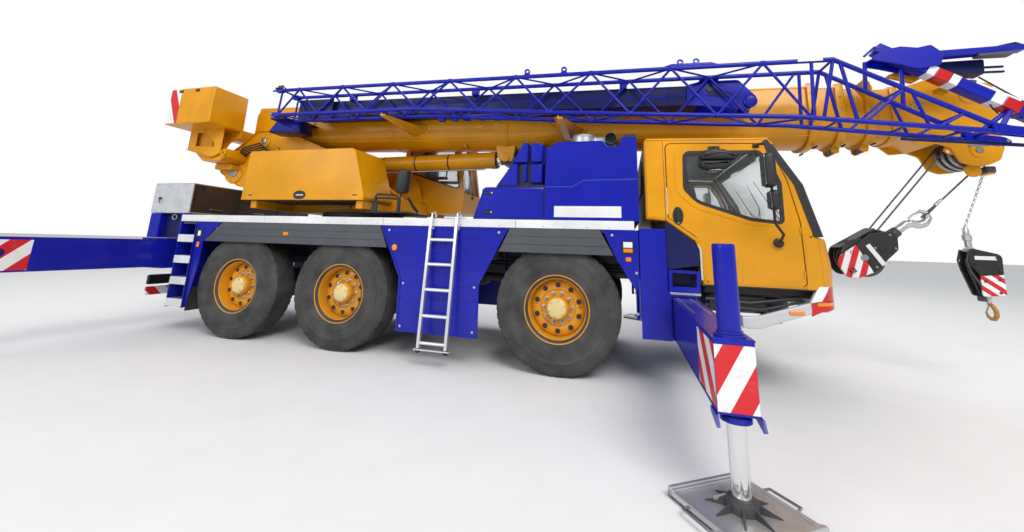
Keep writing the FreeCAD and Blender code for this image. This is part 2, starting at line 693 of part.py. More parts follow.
body = slab("cab_body", "xz", [(at(u), v) for u, v, du, dv in CAB], "-(half_width - cab_inset)", "(half_width - cab_inset)")
room = slab("cab_room", "xz", [(at("%s + %s * cab_skin" % (u, du)), "%s + %s * cab_skin" % (v, dv))
                               for u, v, du, dv in CAB], "-(half_width - cab_inset) + cab_skin", "(half_width - cab_inset) - cab_skin")
doorways = [slab("doorway", "xz", ahead_of(grown(DOOR, "door_gap")), low, high)
            for low, high in (("-(half_width - cab_inset) - 5", "-(half_width - cab_inset) + cab_skin + 5"), ("(half_width - cab_inset) - cab_skin - 5", "(half_width - cab_inset) + 5"))]
screen_hole = slab("screen_hole", "xz", [(at(x), str(z)) for x, z in
                                         [(2180, 2362.3), (2290, 2362.3), (2500, 1980), (2600, 1566.7), (2480, 1566.7), (2380, 1960)]],
                   "-(half_width - cab_inset) + 75", "(half_width - cab_inset) - 75")
node("cab_shell", [cut("cab_shell", body, [room, screen_hole] + doorways)])
screen = [(2225, 2362), (2421, 2010), (2531, 1568), (2525, 1567), (2415, 2007), (2219, 2360)]
pane = slab("windscreen", "xz", [(at(x), str(z)) for x, z in screen], "-(half_width - cab_inset) + 75.3", "(half_width - cab_inset) - 75.3")
node("cab_glass", [pane])

# Doors: hinged at their front edges, each with its pane let in and its mirrors on two arms.
mirrors = []
MAST = "(-(half_width - cab_inset) - mirror_out)"
for x0, x1, z0, z1 in ((2010, 2140, 1950, 2285), (2045, 2150, 1740, 1930)):
    mirrors.append(box("mirror", (at(x0), at(x1)), (MAST + " - 143", MAST + " + 37"), (str(z0), str(z1))))
mast = box("mirror_mast", (at("2085"), at("2111")), (MAST + " - 13", MAST + " + 13"), ("1430", "2300"))
arms = [box("mirror_arm", (at("2085"), at("2111")), (MAST, "-(half_width - cab_inset)"), (str(z), str(z + 24))) for z in (1432,)]
arms.append(box("mirror_top_arm", (at("2085"), at("2111")), (MAST, "-(half_width - cab_inset)"), ("2385", "2407")))
arms.append(box("mirror_top_mast", (at("2085"), at("2111")), (MAST + " - 13", MAST + " + 13"), ("2290", "2407")))
mirror_set = fuse("mirror_set", mirrors + [mast] + arms)
ys = ("-(half_width - cab_inset)", "-(half_width - cab_inset) + cab_skin")
leaf = slab("door_leaf", "xz", ahead_of(DOOR), *ys)
gap = slab("door_window", "xz", ahead_of(WINDOW), ys[0] + " - 5", ys[1] + " + 5")
glass = slab("door_pane", "xz", ahead_of(WINDOW), "-(half_width - cab_inset) + cab_skin / 2 - glass_thick / 2",
             "-(half_width - cab_inset) + cab_skin / 2 + glass_thick / 2")
grip = rod("door_grip", "26", (at("1290"), ys[0] + " - 14", "1750"), "y", "14")
hinges = [box("door_hinge", (at("door_front - 2"), at("door_front + door_gap - seat_gap")), ("-(half_width - cab_inset)", "-(half_width - cab_inset) + cab_skin - 4"),
              (str(z), str(z + 60))) for z in (1130, 1540)]
knuckles = [rod("hinge_barrel", "hinge_radius", (at("door_front - hinge_back"), ys[0], str(z)), "z", "60") for z in (1130, 1540)]
door = fuse("door", [cut("door_frame", leaf, [gap]), glass, grip, mirror_set] + hinges + knuckles)
right_door, left_door = both("door", door)
node("cab_door_right", [right_door])
node("cab_door_left", [left_door])

# Seats, dashboard and steering wheel inside.
inside = []
floor_top = "cab_floor + cab_skin"
for y in (-640, 640):
    ys = ("%d - 240" % y, "%d + 240" % y)
    seat = [box("seat_base", (at("1640"), at("1960")), ("%d - 150" % y, "%d + 150" % y), (floor_top, "1420")),
            box("seat", (at("1560"), at("2060")), ys, ("1410", "1520")),
            slab("seat_back", "xz", [(at("1500"), "1480"), (at("1600"), "1480"), (at("1470"), "2120"), (at("1380"), "2120")], *ys)]
    inside.append(fuse("seat", seat))
dash = slab("dash", "xz", [(at("2400"), floor_top), (at("2600"), floor_top), (at("2600"), "1425"), (at("2500"), "1455"), (at("2440"), "1530"),
                           (at("2330"), "1530")], "-(half_width - cab_inset) + cab_skin + 40", "(half_width - cab_inset) - cab_skin - 40")
hoop = fresh("Part::Torus", "steering_wheel")
hoop.Radius1 = 215
hoop.Radius2 = 15
place(hoop, (at("2190"), "640", "1650"), FreeCAD.Rotation(Vec(0, 1, 0), -25))
spoke = box("wheel_spoke", ("-215", "215"), ("-22", "22"), ("-8", "8"))
spoke.Placement = FreeCAD.Placement(Vec(0, 0, 0), FreeCAD.Rotation(Vec(0, 1, 0), -25))
spokes = fresh("Part::Compound", "wheel_spokes")
spokes.Links = [box("spoke_bar", ("-22", "22"), ("-215", "215"), ("-8", "8"))]
place(spokes, (at("2190"), "640", "1650"), FreeCAD.Rotation(Vec(0, 1, 0), -25))
column = fresh("Part::Cylinder", "column")
column.Radius = 26
column.Height = 330
place(column, (at("2190 + 330 * sin(25)"), "640", "1650 - 330 * cos(25)"), FreeCAD.Rotation(Vec(0, 1, 0), -25))
inside.append(fuse("dashboard", [dash, hoop, spokes, column]))
node("cab_fittings", inside)


# Upper structure on the slewing ring: two cheeks, their floor, the boom pin and the winches.
ring_low = rod("slew_ring", "slew_radius", (SLEW_X, "0", "slew_low + seat_gap"), "z", "slew_high - slew_low")
floor = box("slew_floor", (at("-4400"), at("-2450")), ("-upper_half", "upper_half"), ("slew_high", "slew_high + 60"))
cheek = [(at(x), str(z)) for x, z in [(-2450, 1745), (-2450, 1960), (-3300, 2520), (-4700, 3080), (-5020, 3120), (-5330, 3120),
                                      (-5560, 2930), (-6000, 2640), (-6000, 2430), (-5560, 2180), (-5300, 2150), (-4400, 1745)]]
cheeks = []
for low, high in (("-upper_half", "-upper_half + cheek_thick"), ("upper_half - cheek_thick", "upper_half")):
    cheeks.append(slab("cheek", "xz", cheek, low, high))
pin = rod("boom_pin", "pivot_radius", (PIVOT_X, "-upper_half", "boom_pivot_z"), "y", "2 * upper_half")
FOOT_X = PIVOT_X + " + 1250"
FOOT_Z = "boom_pivot_z - 390"
foot_pin = rod("lift_foot_pin", "lift_pin_radius", (FOOT_X, "-upper_half", FOOT_Z), "y", "2 * upper_half")
drums = []
for x, z in ((-5700, 2420),):
    drums.append(rod("winch_drum", "150", (at(x), "-upper_half + cheek_thick - 1", str(z)), "y", "2 * (upper_half - cheek_thick) + 2"))
    for y in (-300, 270):
        drums.append(rod("winch_flange", "215", (at(x), str(y), str(z)), "y", "30"))
decks = box("rear_floor", (at("-5300"), at("-4300")), ("-upper_half", "upper_half"), ("2150", "2180"))
# outriggers of the upper frame that carry the engine housing, the cab and the counterweight
bar_one = box("side_bar", (at("-4450"), at("-4350")), ("-house_half + 60", "-upper_half + 1"), ("slew_high + 4", "1860"))
bar_two = box("side_bar", (at("-2700"), at("-2600")), ("-house_half + 60", "-upper_half + 1"), ("slew_high + 4", "1860"))
bar_three = box("side_bar", (at("-2900"), at("-2800")), ("upper_half - 1", "house_half - 60"), ("1770", "1820"))
bar_four = box("side_bar", (at("-2560"), at("-2460")), ("upper_half - 1", "house_half - 60"), ("1770", "1820"))
hangers = []
for out in (-1, 1):
    ys = ("upper_half - 1", "upper_half + 160") if out > 0 else ("-upper_half - 160", "-upper_half + 1")
    hangers.append(box("weight_lug", (at("-5960"), at("-5600")), ys, ("2440", "2540")))
node("turntable", [ring_low, fuse("turntable", [floor, pin, foot_pin, decks, bar_one, bar_two, bar_three, bar_four] + cheeks + drums + hangers)])

# Engine housing on the right side, hollow and closed, with sloping ends.
house = [(at(x), str(z)) for x, z in [(-4585, 1860), (-4554, 2574), (-2769, 2572), (-2537, 1860)]]
house_in = [(at(x), str(z)) for x, z in [(-4578, 1866), (-4548, 2568), (-2773, 2566), (-2546, 1866)]]
shell = cut("house_shell", slab("house", "xz", house, "-house_half", "-house_inner"),
            [slab("house_room", "xz", house_in, "-house_half + 6", "-house_inner - 6")])
node("engine_housing", [shell])

# Counterweight: two side blocks joined by lower slabs behind the cheeks.
weight = []
for out in (-1, 1):
    def wide(a, b):
        return (a, b) if out > 0 else ("-(%s)" % b, "-(%s)" % a)
    upper = box("weight_block", (at("-weight_tail"), at("-weight_front")), wide("weight_inner", "house_half"), ("weight_low", "weight_top"))
    lower = box("weight_slab", (at("-6270"), at("-5950 + 120")), wide("weight_inner", "house_half"), ("2730", "weight_low + 1"))
    foot = slab("weight_foot", "xz", [(at("-6200"), "2740"), (at("-5480"), "2740"), (at("-5480"), "2600"), (at("-5600"), "2540"),
                                      (at("-5960"), "2540")], *wide("upper_half + 10", "weight_inner + 270"))
    weight += [upper, lower, foot]
tie = box("weight_tie", (at("-weight_tail"), at("-weight_tail + 240")), ("-weight_inner - 1", "weight_inner + 1"), ("weight_low", "3300"))
node("counterweight", [fuse("counterweight", weight + [tie])])

# Crane cab on the left side: hollow, glazed in front, with a sliding door outside.
ROOM = [("-2950", "1820", 1, 1), ("-2950", "3180", 1, -1), ("-2850", "3260", 1, -1), ("-2080", "3260", -1, -1),
        ("-1960", "3130", -1, -1), ("-1800", "2150", -1, 0), ("-1860", "1820", -1, 1)]
CAB_IN = "450"
CAB_OUT = "house_half"
body = slab("crane_cab_body", "xz", [(at(u), v) for u, v, du, dv in ROOM], CAB_IN, CAB_OUT)
room = slab("crane_cab_room", "xz", [(at("%s + %s * 30" % (u, du)), "%s + %s * 30" % (v, dv)) for u, v, du, dv in ROOM],
            CAB_IN + " + 30", CAB_OUT + " - 30")
front_hole = slab("front_hole", "xz", [(at(x), str(z)) for x, z in [(-2010, 3080), (-1930, 3080), (-1760, 2190), (-1840, 2190)]],
                  CAB_IN + " + 60", CAB_OUT + " - 60")
side_hole = slab("inner_window", "xz", [(at(x), str(z)) for x, z in [(-2840, 2530), (-2840, 3090), (-2060, 3090), (-1900, 2230)]],
                 CAB_IN + " - 5", CAB_IN + " + 35")
CRANE_DOOR = [("-2780", "1880"), ("-2780", "3110"), ("-2090", "3110"), ("-1980", "2400"), ("-1980", "1880")]
door_hole = slab("crane_doorway", "xz", ahead_of(CRANE_DOOR), CAB_OUT + " - 35", CAB_OUT + " + 5")
node("crane_cab", [cut("crane_cab", body, [room, front_hole, side_hole, door_hole])])
front_pane = slab("crane_screen", "xz", [(at(x), str(z)) for x, z in [(-1974, 3079), (-1968, 3079), (-1822, 2191), (-1828, 2191)]],
                  CAB_IN + " + 60.3", CAB_OUT + " - 60.3")
side_pane = slab("crane_side_pane", "xz", [(at(x), str(z)) for x, z in [(-2839.7, 2530.2), (-2839.7, 3089.7), (-2060.3, 3089.7), (-1900.6, 2230.6)]],
                 CAB_IN + " + 12", CAB_IN + " + 18")
node("crane_glass", [front_pane, side_pane])
seat_y = ("720", "1080")
chair = fuse("chair", [box("chair_base", (at("-2560"), at("-2300")), ("800", "1000"), ("1850", "2210")),
                       box("chair_seat", (at("-2640"), at("-2160")), seat_y, ("2200", "2300")),
                       box("chair_back", (at("-2720"), at("-2630")), seat_y, ("2250", "2920"))])
stand = box("console", (at("-2050"), at("-1950")), ("760", "1040"), ("1850", "2150"))
node("crane_seat", [chair, stand])
door_ys = (CAB_OUT + " + 6", CAB_OUT + " + 30")
leaf = slab("crane_door_leaf", "xz", ahead_of(grown(CRANE_DOOR, 20)), *door_ys)
hole = slab("crane_door_hole", "xz", [(at(x), str(z)) for x, z in [(-2740, 2300), (-2740, 3070), (-2120, 3070), (-2040, 2500), (-2040, 2300)]],
            door_ys[0] + " - 5", door_ys[1] + " + 5")
glass = slab("crane_door_pane", "xz", [(at(x), str(z)) for x, z in [(-2740, 2300), (-2740, 3070), (-2120, 3070), (-2040, 2500), (-2040, 2300)]],
             door_ys[0] + " + 9", door_ys[1] + " - 9")
shoe = box("door_shoe", (at("-2700"), at("-2500")), (CAB_OUT + " + seat_gap", CAB_OUT + " + 10"), ("3115", "3135"))
node("crane_door", [fuse("crane_door", [cut("crane_leaf", leaf, [hole]), glass, shoe])])


# Boom: drawn level from its pivot, then leaned. Each stage is a tube inside the one before.
def section(step, grow):
    """Corners across the boom, from (across, up), for a stage and a growth outward."""
    inset = "(%d * (boom_wall + stage_gap) - (%s))" % (step, grow)
    half = "(boom_half - %s)" % inset
    top = "(boom_top - %s)" % inset
    low = "(%s - boom_under)" % inset
    side = [(half + " * 0.45", low), (half + " * 0.84", low + " + 80"), (half, low + " + 210"), (half, top + " - 50"),
            (half + " - 50", top)]
    return side + [("-(%s)" % a, b) for a, b in reversed(side)]


def tube(name, step, start, end, cap=None):
    """A hollow stage of the boom between two stations ahead of the pivot."""
    whole = slab(name, "yz", section(step, "0"), start, end)
    room = slab(name + "_room", "yz", section(step, "-boom_wall"), "%s + (%s)" % (start, cap or "-5"), end + " + 5")
    return cut(name + "_tube", whole, [room])


def collar(name, step, end):
    """The stiffening ring round a stage's mouth."""
    ring = slab(name, "yz", section(step, "collar_proud"), end + " - collar_long", end)
    hole = slab(name + "_hole", "yz", section(step, "-1"), end + " - collar_long - 5", end + " + 5")
    return cut(name + "_ring", ring, [hole])


MOUTH = "boom_mouth"
tail = "-350"
base = tube("base", 0, tail, MOUTH, "20")
mouth = collar("base_collar", 0, MOUTH)
boss = rod("pivot_boss", "150", ("0", "-upper_half + cheek_thick + 4", "0"), "y", "2 * (upper_half - cheek_thick) - 8")
pivot_bore = rod("pivot_bore", "pivot_radius + 0.05", ("0", "-upper_half", "0"), "y", "2 * upper_half")
EYE_U = "lift_eye_x"
EYE_W = "-230"
lugs = []
for y in (-190, 150):
    lugs.append(slab("eye_lug", "xz", [(EYE_U + " - 220", "-boom_under + 40"), (EYE_U + " + 220", "-boom_under + 40"),
                                       (EYE_U + " + 70", EYE_W + " - 60"), (EYE_U + " - 70", EYE_W + " - 60")], str(y), str(y + 40)))
eye_seat = rod("eye_seat", "lift_pin_radius + 0.05", (EYE_U, "-200", EYE_W), "y", "400")
# each lug rests on the ram's pin from above and behind, and is open below
eye_way = slab("eye_way", "xz", [("%s + %d" % (EYE_U, u), "%s + %d" % (EYE_W, w)) for u, w in
                                 [(-44, 0), (-44, -20), (15, -170), (200, -165), (33, 28)]], "-200", "200")
boom_room = slab("boom_clear", "yz", section(0, "-boom_wall"), tail + " + 20", MOUTH + " + 5")
main_boom = cut("boom_bored", fuse("boom_outer", [base, mouth, boss] + lugs), [boom_room, pivot_bore, eye_seat, eye_way])
node("boom_base", [main_boom], lean=True)
for step in (1, 2, 3):
    end = "%s + %d * tele_step" % (MOUTH, step)
    start = "%s - tele_length" % end
    stage = tube("stage", step, start, end)
    ring = collar("stage_collar", step, end)
    # wear pads at the stage's foot slide in the stage around it
    inset = "(%d * (boom_wall + stage_gap))" % step
    slack = "(stage_gap - seat_gap)"
    pads = [box("foot_pad", (start, start + " + 160"), ("-100", "100"), ("%s - boom_under - %s" % (inset, slack), "%s - boom_under + 1" % inset)),
            box("top_pad", (start, start + " + 160"), ("-100", "100"), ("boom_top - %s - 1" % inset, "boom_top - %s + %s" % (inset, slack)))]
    parts = [stage, ring] + pads
    if step == 3:
        nose = "((nose_reach + boom_pivot_back - (boom_top - 40) * sin(boom_lean)) / cos(boom_lean))"
        cheek_in = "(boom_half - 3 * (boom_wall + stage_gap))"
        plate = [(end + " - 60", "boom_top - 80"), (end + " + 260", "boom_top + 40"), (nose, "boom_top - 40"), (nose, "boom_top - 330"),
                 (nose + " - 15", "boom_top - 520"), (nose, "-boom_under - 60"), (nose + " - 50", "-boom_under - 190"),
                 (nose + " - 150", "-boom_under - 245"), (nose + " - 290", "-boom_under - 260"), (nose + " - 400", "-boom_under - 215"),
                 (nose + " - 470", "-boom_under - 50"), (nose + " - 590", "-boom_under"), (end + " + 85", "-boom_under - 20"),
                 (end + " - 60", "-boom_under + 120")]
        for low, high in (("%s - 30" % cheek_in, cheek_in), ("-%s" % cheek_in, "-%s + 30" % cheek_in)):
            parts.append(slab("head_plate", "xz", plate, low, high))
        for u, w, r in ((nose + " - 235", "boom_top - 180", "200"), (nose + " - 230", "-boom_under - 85", "180")):
            parts.append(rod("sheave_pin", "45", (u, "-%s" % cheek_in, w), "y", "2 * %s" % cheek_in))
            for y in (-150, -50, 50):
                parts.append(rod("sheave", r, (u, str(y), w), "y", "44"))
        parts.append(rod("small_sheave", "200", (nose + " - 235", "4", "boom_top - 180"), "y", "36"))
        parts.append(box("head_web", (end + " - 40", end + " - 10"), ("-%s" % cheek_in, cheek_in), ("-boom_under + 130", "boom_top - 100")))
    node("boom_stage_%d" % step, [fuse("stage_%d" % step, parts)], lean=True)

# Lift cylinder: barrel on the turntable's pin and ram to the boom's eye.
EYE_X = "(%s + %s * cos(boom_lean) + (%s) * sin(boom_lean))" % (PIVOT_X, EYE_U, EYE_W)
EYE_Z = "(boom_pivot_z - %s * sin(boom_lean) + (%s) * cos(boom_lean))" % (EYE_U, EYE_W)
SLOPE = "atan((%s - (%s)) / (%s - (%s)))" % (EYE_Z, FOOT_Z, EYE_X, FOOT_X)
SPAN = "sqrt((%s - (%s))^2 + (%s - (%s))^2)" % (EYE_X, FOOT_X, EYE_Z, FOOT_Z)


def angled(label, thing, x, z):
    """A cylinder's half, drawn level from its own pin and turned onto the line between the two pins."""
    held = doc.addObject("Part::Compound", label)
    held.Links = [thing]
    held.Label = label
    held.Placement = FreeCAD.Placement(Vec(0, 0, 0), FreeCAD.Rotation(Vec(0, -1, 0), 1))
    held.setExpression("Placement.Rotation.Angle", bound(SLOPE))
    held.setExpression("Placement.Base.x", bound(x))
    held.setExpression("Placement.Base.z", bound(z))
    NODES.append(held)
    return held


barrel_end = "(%s - 330)" % SPAN
barrel = rod("barrel", "barrel_radius", ("60", "0", "0"), "x", barrel_end + " - 60")
foot_eye = rod("foot_eye", "110", ("0", "-140", "0"), "y", "280")
foot_bore = rod("foot_bore", "lift_pin_radius + 0.05", ("0", "-150", "0"), "y", "300")
ram_bore = rod("ram_bore", "ram_radius + 0.05", ("140", "0", "0"), "x", barrel_end)
angled("lift_barrel", cut("lift_barrel", fuse("barrel_whole", [barrel, foot_eye]), [ram_bore, foot_bore]), FOOT_X, FOOT_Z)
ram = rod("ram", "ram_radius", ("-%s + 160" % SPAN, "0", "0"), "x", "%s - 160 - 60" % SPAN)
ram_eye = rod("ram_eye", "105", ("0", "-140", "0"), "y", "280")
eye_pin = rod("eye_pin", "lift_pin_radius", ("0", "-195", "0"), "y", "390")
angled("lift_ram", fuse("lift_ram", [ram, ram_eye, eye_pin]), EYE_X, EYE_Z)


# Lattice jib stowed along the boom's right side, with the box jib section and its brackets.
UPPER = [(860, 612), (8030, 622), (9320, -165)]
LOWER = [(860, 222), (3170, 240), (5150, 127), (7680, 0), (9440, -205)]
POSTS = [900, 1900, 2900, 3900, 4900, 5900, 6900, 7680, 8400, 9000]


def level(chord, u):
    """Height of a chord's line at a station."""
    for (u0, w0), (u1, w1) in zip(chord, chord[1:]):
        if u <= u1:
            return w0 + (w1 - w0) * (u - u0) / (u1 - u0)
    return chord[-1][1]


def bars(points, radius, y0, y1=None):
    """Straight tubes through points, each with a ball of its own radius where two meet."""
    found = []
    for (u0, w0), (u1, w1) in zip(points, points[1:]):
        a = Vec(u0, y0, w0)
        b = Vec(u1, y0 if y1 is None else y1, w1)
        found.append(Part.makeCylinder(radius, (b - a).Length, a, b - a))
    for u, w in points[1:-1]:
        found.append(Part.makeSphere(radius, Vec(u, y0, w)))
    return found


near = -val("jib_near")
far = -val("jib_far")
chord = val("chord_radius")
lace = val("lace_radius")
tubes = []
for y in (near, far):
    tubes += bars(UPPER, chord, y)
    tubes += bars(LOWER, chord, y)
    for index, u in enumerate(POSTS[:-1]):
        ahead = POSTS[index + 1]
        low_first = index % 2 == 0
        a = (u, level(LOWER if low_first else UPPER, u))
        b = (ahead, level(UPPER if low_first else LOWER, ahead))
        tubes += bars([a, b], lace, y)
for index, u in enumerate(POSTS):
    for line in (UPPER, LOWER):
        a = Vec(u, near, level(line, u))
        tubes.append(Part.makeCylinder(lace, far - near, a, Vec(0, 1, 0)))
for u in (900, 7680):
    for y in (near, far):
        tubes += bars([(u, level(LOWER, u)), (u, level(UPPER, u))], lace, y)
head = tubes[0].fuse(tubes[1:])
lattice = fresh("Part::Feature", "lattice")
lattice.Shape = head
jib_box = box("box_jib", ("1100", "7900"), ("-jib_far + 70", "-boom_half - 60"), ("300", "560"))
jib_room = box("box_jib_room", ("1110", "7890"), ("-jib_far + 80", "-boom_half - 70"), ("310", "550"))
hanging = []
for u in (1900, 5900):
    hanging.append(box("jib_bracket", (str(u - 45), str(u + 45)), ("-jib_far - 5", "-jib_far + 75"), ("560 - 30", "640")))
    hanging.append(box("box_bracket", (str(u - 45), str(u + 45)), ("-boom_half - 65", "-boom_half - seat_gap"), ("330", "530")))
jib_solid = fuse("box_jib_whole", [cut("box_jib_tube", jib_box, [jib_room])] + hanging)
node("jib", [fuse("jib", [lattice, jib_solid])], lean=True)

# Hook blocks, each with its falls of rope from the sheaves of the boom's head.
NOSE = "((nose_reach + boom_pivot_back - (boom_top - 40) * sin(boom_lean)) / cos(boom_lean))"


def boom_spot(u, w):
    """A point of the leaned boom in the crane's own frame."""
    x = "(%s + (%s) * cos(boom_lean) + (%s) * sin(boom_lean))" % (PIVOT_X, u, w)
    z = "(boom_pivot_z - (%s) * sin(boom_lean) + (%s) * cos(boom_lean))" % (u, w)
    return x, z


SHEAVE_X, SHEAVE_Z = boom_spot(NOSE + " - 230", "-boom_under - 85")
BLOCK_X = at("main_hook_x")
# the falls leave the lower sheaves' rear side and end inside the block, and the
# sling that holds the stowed hook up lies on their front side
sheave_at = Vec(val(SHEAVE_X), 0, val(SHEAVE_Z))
offset = 180 + val("rope_radius") + val("seat_gap")


def fall_to(end, side, levels):
    """Ropes from one side of the lower sheaves to a point, at several levels across the crane."""
    reach = end - sheave_at
    bearing = math.atan2(reach.z, reach.x) + side * math.asin(offset / reach.Length)
    along = Vec(math.cos(bearing), 0, math.sin(bearing))
    start = sheave_at + Vec(along.z, 0, -along.x) * (side * offset)
    return [Part.makeCylinder(val("rope_radius"), (end - start).Length, start + Vec(0, y, 0), along) for y in levels]


ropes = fall_to(Vec(val(BLOCK_X) + 50, 0, 1640), 1, (-128, 72))
ropes += fall_to(Vec(val(BLOCK_X) + 590, 0, 1835), -1, (-28,))
falls = fresh("Part::Feature", "main_falls")
falls.Shape = ropes[0].fuse(ropes[1:])
near_cheek = slab("near_cheek", "xz", [(BLOCK_X + " + %d" % dx if dx > 0 else BLOCK_X + " - %d" % -dx, str(z)) for dx, z in
                                       ((-406, 1259), (-356, 1350), (-191, 1473), (-55, 1595), (168, 1634), (215, 1574),
                                        (204, 1425), (-58, 1167), (-194, 1103), (-319, 1097))], "-170", "-50")
far_cheek = slab("far_cheek", "xz", [(BLOCK_X + " + %d" % dx if dx > 0 else BLOCK_X + " - %d" % -dx, str(z)) for dx, z in
                                     ((-400, 1259), (-345, 1442), (46, 1691), (240, 1655), (215, 1400), (-58, 1167), (-300, 1113))], "-50.5", "120")
hook = slab("main_hook_bend", "xz", [(BLOCK_X + " + %d" % dx, str(z)) for dx, z in
                                     ((180, 1635), (245, 1560), (380, 1640), (450, 1700), (500, 1690), (610, 1800), (600, 1850),
                                      (540, 1870), (470, 1830), (416, 1782))], "-60", "10")
node("main_hook", [fuse("main_hook", [falls, near_cheek, far_cheek, hook])])

TOP_X, TOP_Z = boom_spot(NOSE + " - 235", "boom_top - 180")
SWING_X = "(%s + 200 + seat_gap + thimble_radius)" % TOP_X
BALL_X = at("small_hook_x")
fall_top = rod("fall_top", "thimble_radius", (SWING_X, "22 - thimble_radius", TOP_Z), "y", "2 * thimble_radius")
bend_at = Vec(val(SWING_X), 22, 2360)
eye_at = Vec(val(BALL_X) - 75, 22, 1700)
slant = [Part.makeCylinder(val("rope_radius"), val(TOP_Z) - bend_at.z, bend_at), Part.makeSphere(val("rope_radius"), bend_at),
         Part.makeCylinder(val("rope_radius"), (bend_at - eye_at).Length, eye_at, bend_at - eye_at)]
fall = fresh("Part::Feature", "small_fall")
fall.Shape = slant[0].fuse(slant[1:])
neck = rod("small_neck", "30", (BALL_X + " - 75", "22", "1440"), "z", "270")
near_plate = slab("small_near", "xz", [(BALL_X + " + %d" % dx if dx > 0 else BALL_X + " - %d" % -dx, str(z)) for dx, z in
                                       ((-130, 1480), (155, 1404), (131, 1195), (123, 979), (-81, 957), (-90, 1150), (-151, 1319))], "-60", "0.5")
far_plate = slab("small_far", "xz", [(BALL_X + " + %d" % dx if dx > 0 else BALL_X + " - %d" % -dx, str(z)) for dx, z in
                                     ((-115, 1463), (60, 1430), (80, 1180), (23, 946), (-80, 957), (-150, 1240))], "0", "100")
stem = rod("small_stem", "24", (BALL_X + " + 5", "20", "865"), "z", "110")
claw = slab("small_claw", "yz", [("-10", "880"), ("-45", "850"), ("-55", "790"), ("-35", "735"), ("20", "715"), ("75", "735"), ("95", "790"),
                                 ("80", "800"), ("60", "765"), ("20", "750"), ("-10", "770"), ("-20", "805"), ("0", "845"), ("50", "865"), ("45", "885")],
            BALL_X + " - 15", BALL_X + " + 25")
node("small_hook", [fuse("small_hook", [fall, fall_top, neck, near_plate, far_plate, stem, claw])])


doc.recompute()
faults = [thing.Name for thing in doc.Objects if "Invalid" in thing.State or "Error" in thing.State]
for whole in NODES:
    shape = whole.Shape
    if shape.isNull() or not shape.isValid() or not shape.Solids:
        faults.append(whole.Label)
if faults:
    raise RuntimeError("these pieces failed: " + ", ".join(faults))
os.makedirs("parts", exist_ok=True)
for whole in NODES:
    whole.Shape.exportStep("parts/%s.step" % whole.Label)
print(len(NODES), "pieces written")
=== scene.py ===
import bpy
import bmesh
import math
from mathutils import Vector, Matrix, geometry


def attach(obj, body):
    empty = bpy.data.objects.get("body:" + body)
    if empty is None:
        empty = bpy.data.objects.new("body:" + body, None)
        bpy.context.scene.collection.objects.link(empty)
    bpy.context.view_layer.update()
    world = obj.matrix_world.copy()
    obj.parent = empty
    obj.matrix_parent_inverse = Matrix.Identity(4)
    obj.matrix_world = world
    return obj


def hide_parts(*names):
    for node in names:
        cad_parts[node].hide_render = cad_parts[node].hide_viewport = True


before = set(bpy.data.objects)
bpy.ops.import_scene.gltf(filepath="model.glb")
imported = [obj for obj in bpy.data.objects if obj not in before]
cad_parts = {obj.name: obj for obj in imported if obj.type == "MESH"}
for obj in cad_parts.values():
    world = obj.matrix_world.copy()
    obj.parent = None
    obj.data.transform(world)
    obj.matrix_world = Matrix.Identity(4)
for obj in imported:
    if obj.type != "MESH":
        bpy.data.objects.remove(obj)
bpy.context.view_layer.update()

# Metres. Stations are measured ahead of the front axle, which stands FX ahead of the origin.
FX = 0.852055
LEAN = math.radians(1.5)
PIVOT = Vector((FX - 5.15, 0, 2.95))


def ax(x):
    """A station ahead of the front axle, as a place in the crane's frame."""
    return FX + x


def boom_point(u, y, w):
    """A point in the boom's own lines, from its pivot, put into the crane's frame."""
    x = PIVOT.x + u * math.cos(LEAN) + w * math.sin(LEAN)
    z = PIVOT.z - u * math.sin(LEAN) + w * math.cos(LEAN)
    return Vector((x, y, z))


# Materials


def new_material(name):
    mat = bpy.data.materials.new(name)
    mat.use_nodes = True
    tree = mat.node_tree
    shader = tree.nodes["Principled BSDF"]
    return mat, tree, shader


def link(tree, out, into):
    tree.links.new(out, into)


def mix_rgb(tree, factor, a, b, mode="MIX"):
    node = tree.nodes.new("ShaderNodeMix")
    node.data_type = "RGBA"
    node.blend_type = mode
    for socket, value in ((node.inputs[0], factor), (node.inputs[6], a), (node.inputs[7], b)):
        if isinstance(value, bpy.types.NodeSocket):
            link(tree, value, socket)
        elif isinstance(value, (tuple, list)):
            socket.default_value = (*value[:3], 1)
        else:
            socket.default_value = value
    return node.outputs[2]


def maths(tree, mode, a, b=0.0, clamp=False):
    node = tree.nodes.new("ShaderNodeMath")
    node.operation = mode
    node.use_clamp = clamp
    for socket, value in ((node.inputs[0], a), (node.inputs[1], b)):
        if isinstance(value, bpy.types.NodeSocket):
            link(tree, value, socket)
        else:
            socket.default_value = value
    return node.outputs[0]


def place(tree):
    """Positions on the object, in metres."""
    return tree.nodes.new("ShaderNodeTexCoord").outputs["Object"]


def noise(tree, scale, detail=4, rough=0.55, stretch=None):
    node = tree.nodes.new("ShaderNodeTexNoise")
    node.inputs["Scale"].default_value = scale
    node.inputs["Detail"].default_value = detail
    node.inputs["Roughness"].default_value = rough
    source = place(tree)
    if stretch:
        squeeze = tree.nodes.new("ShaderNodeMapping")
        squeeze.inputs["Scale"].default_value = stretch
        link(tree, source, squeeze.inputs[0])
        source = squeeze.outputs[0]
    link(tree, source, node.inputs["Vector"])
    return node.outputs["Fac"]


def ramp(tree, value, low, high, a=0.0, b=1.0):
    node = tree.nodes.new("ShaderNodeMapRange")
    for index, number in ((1, low), (2, high), (3, a), (4, b)):
        node.inputs[index].default_value = number
    link(tree, value, node.inputs[0])
    return node.outputs[0]


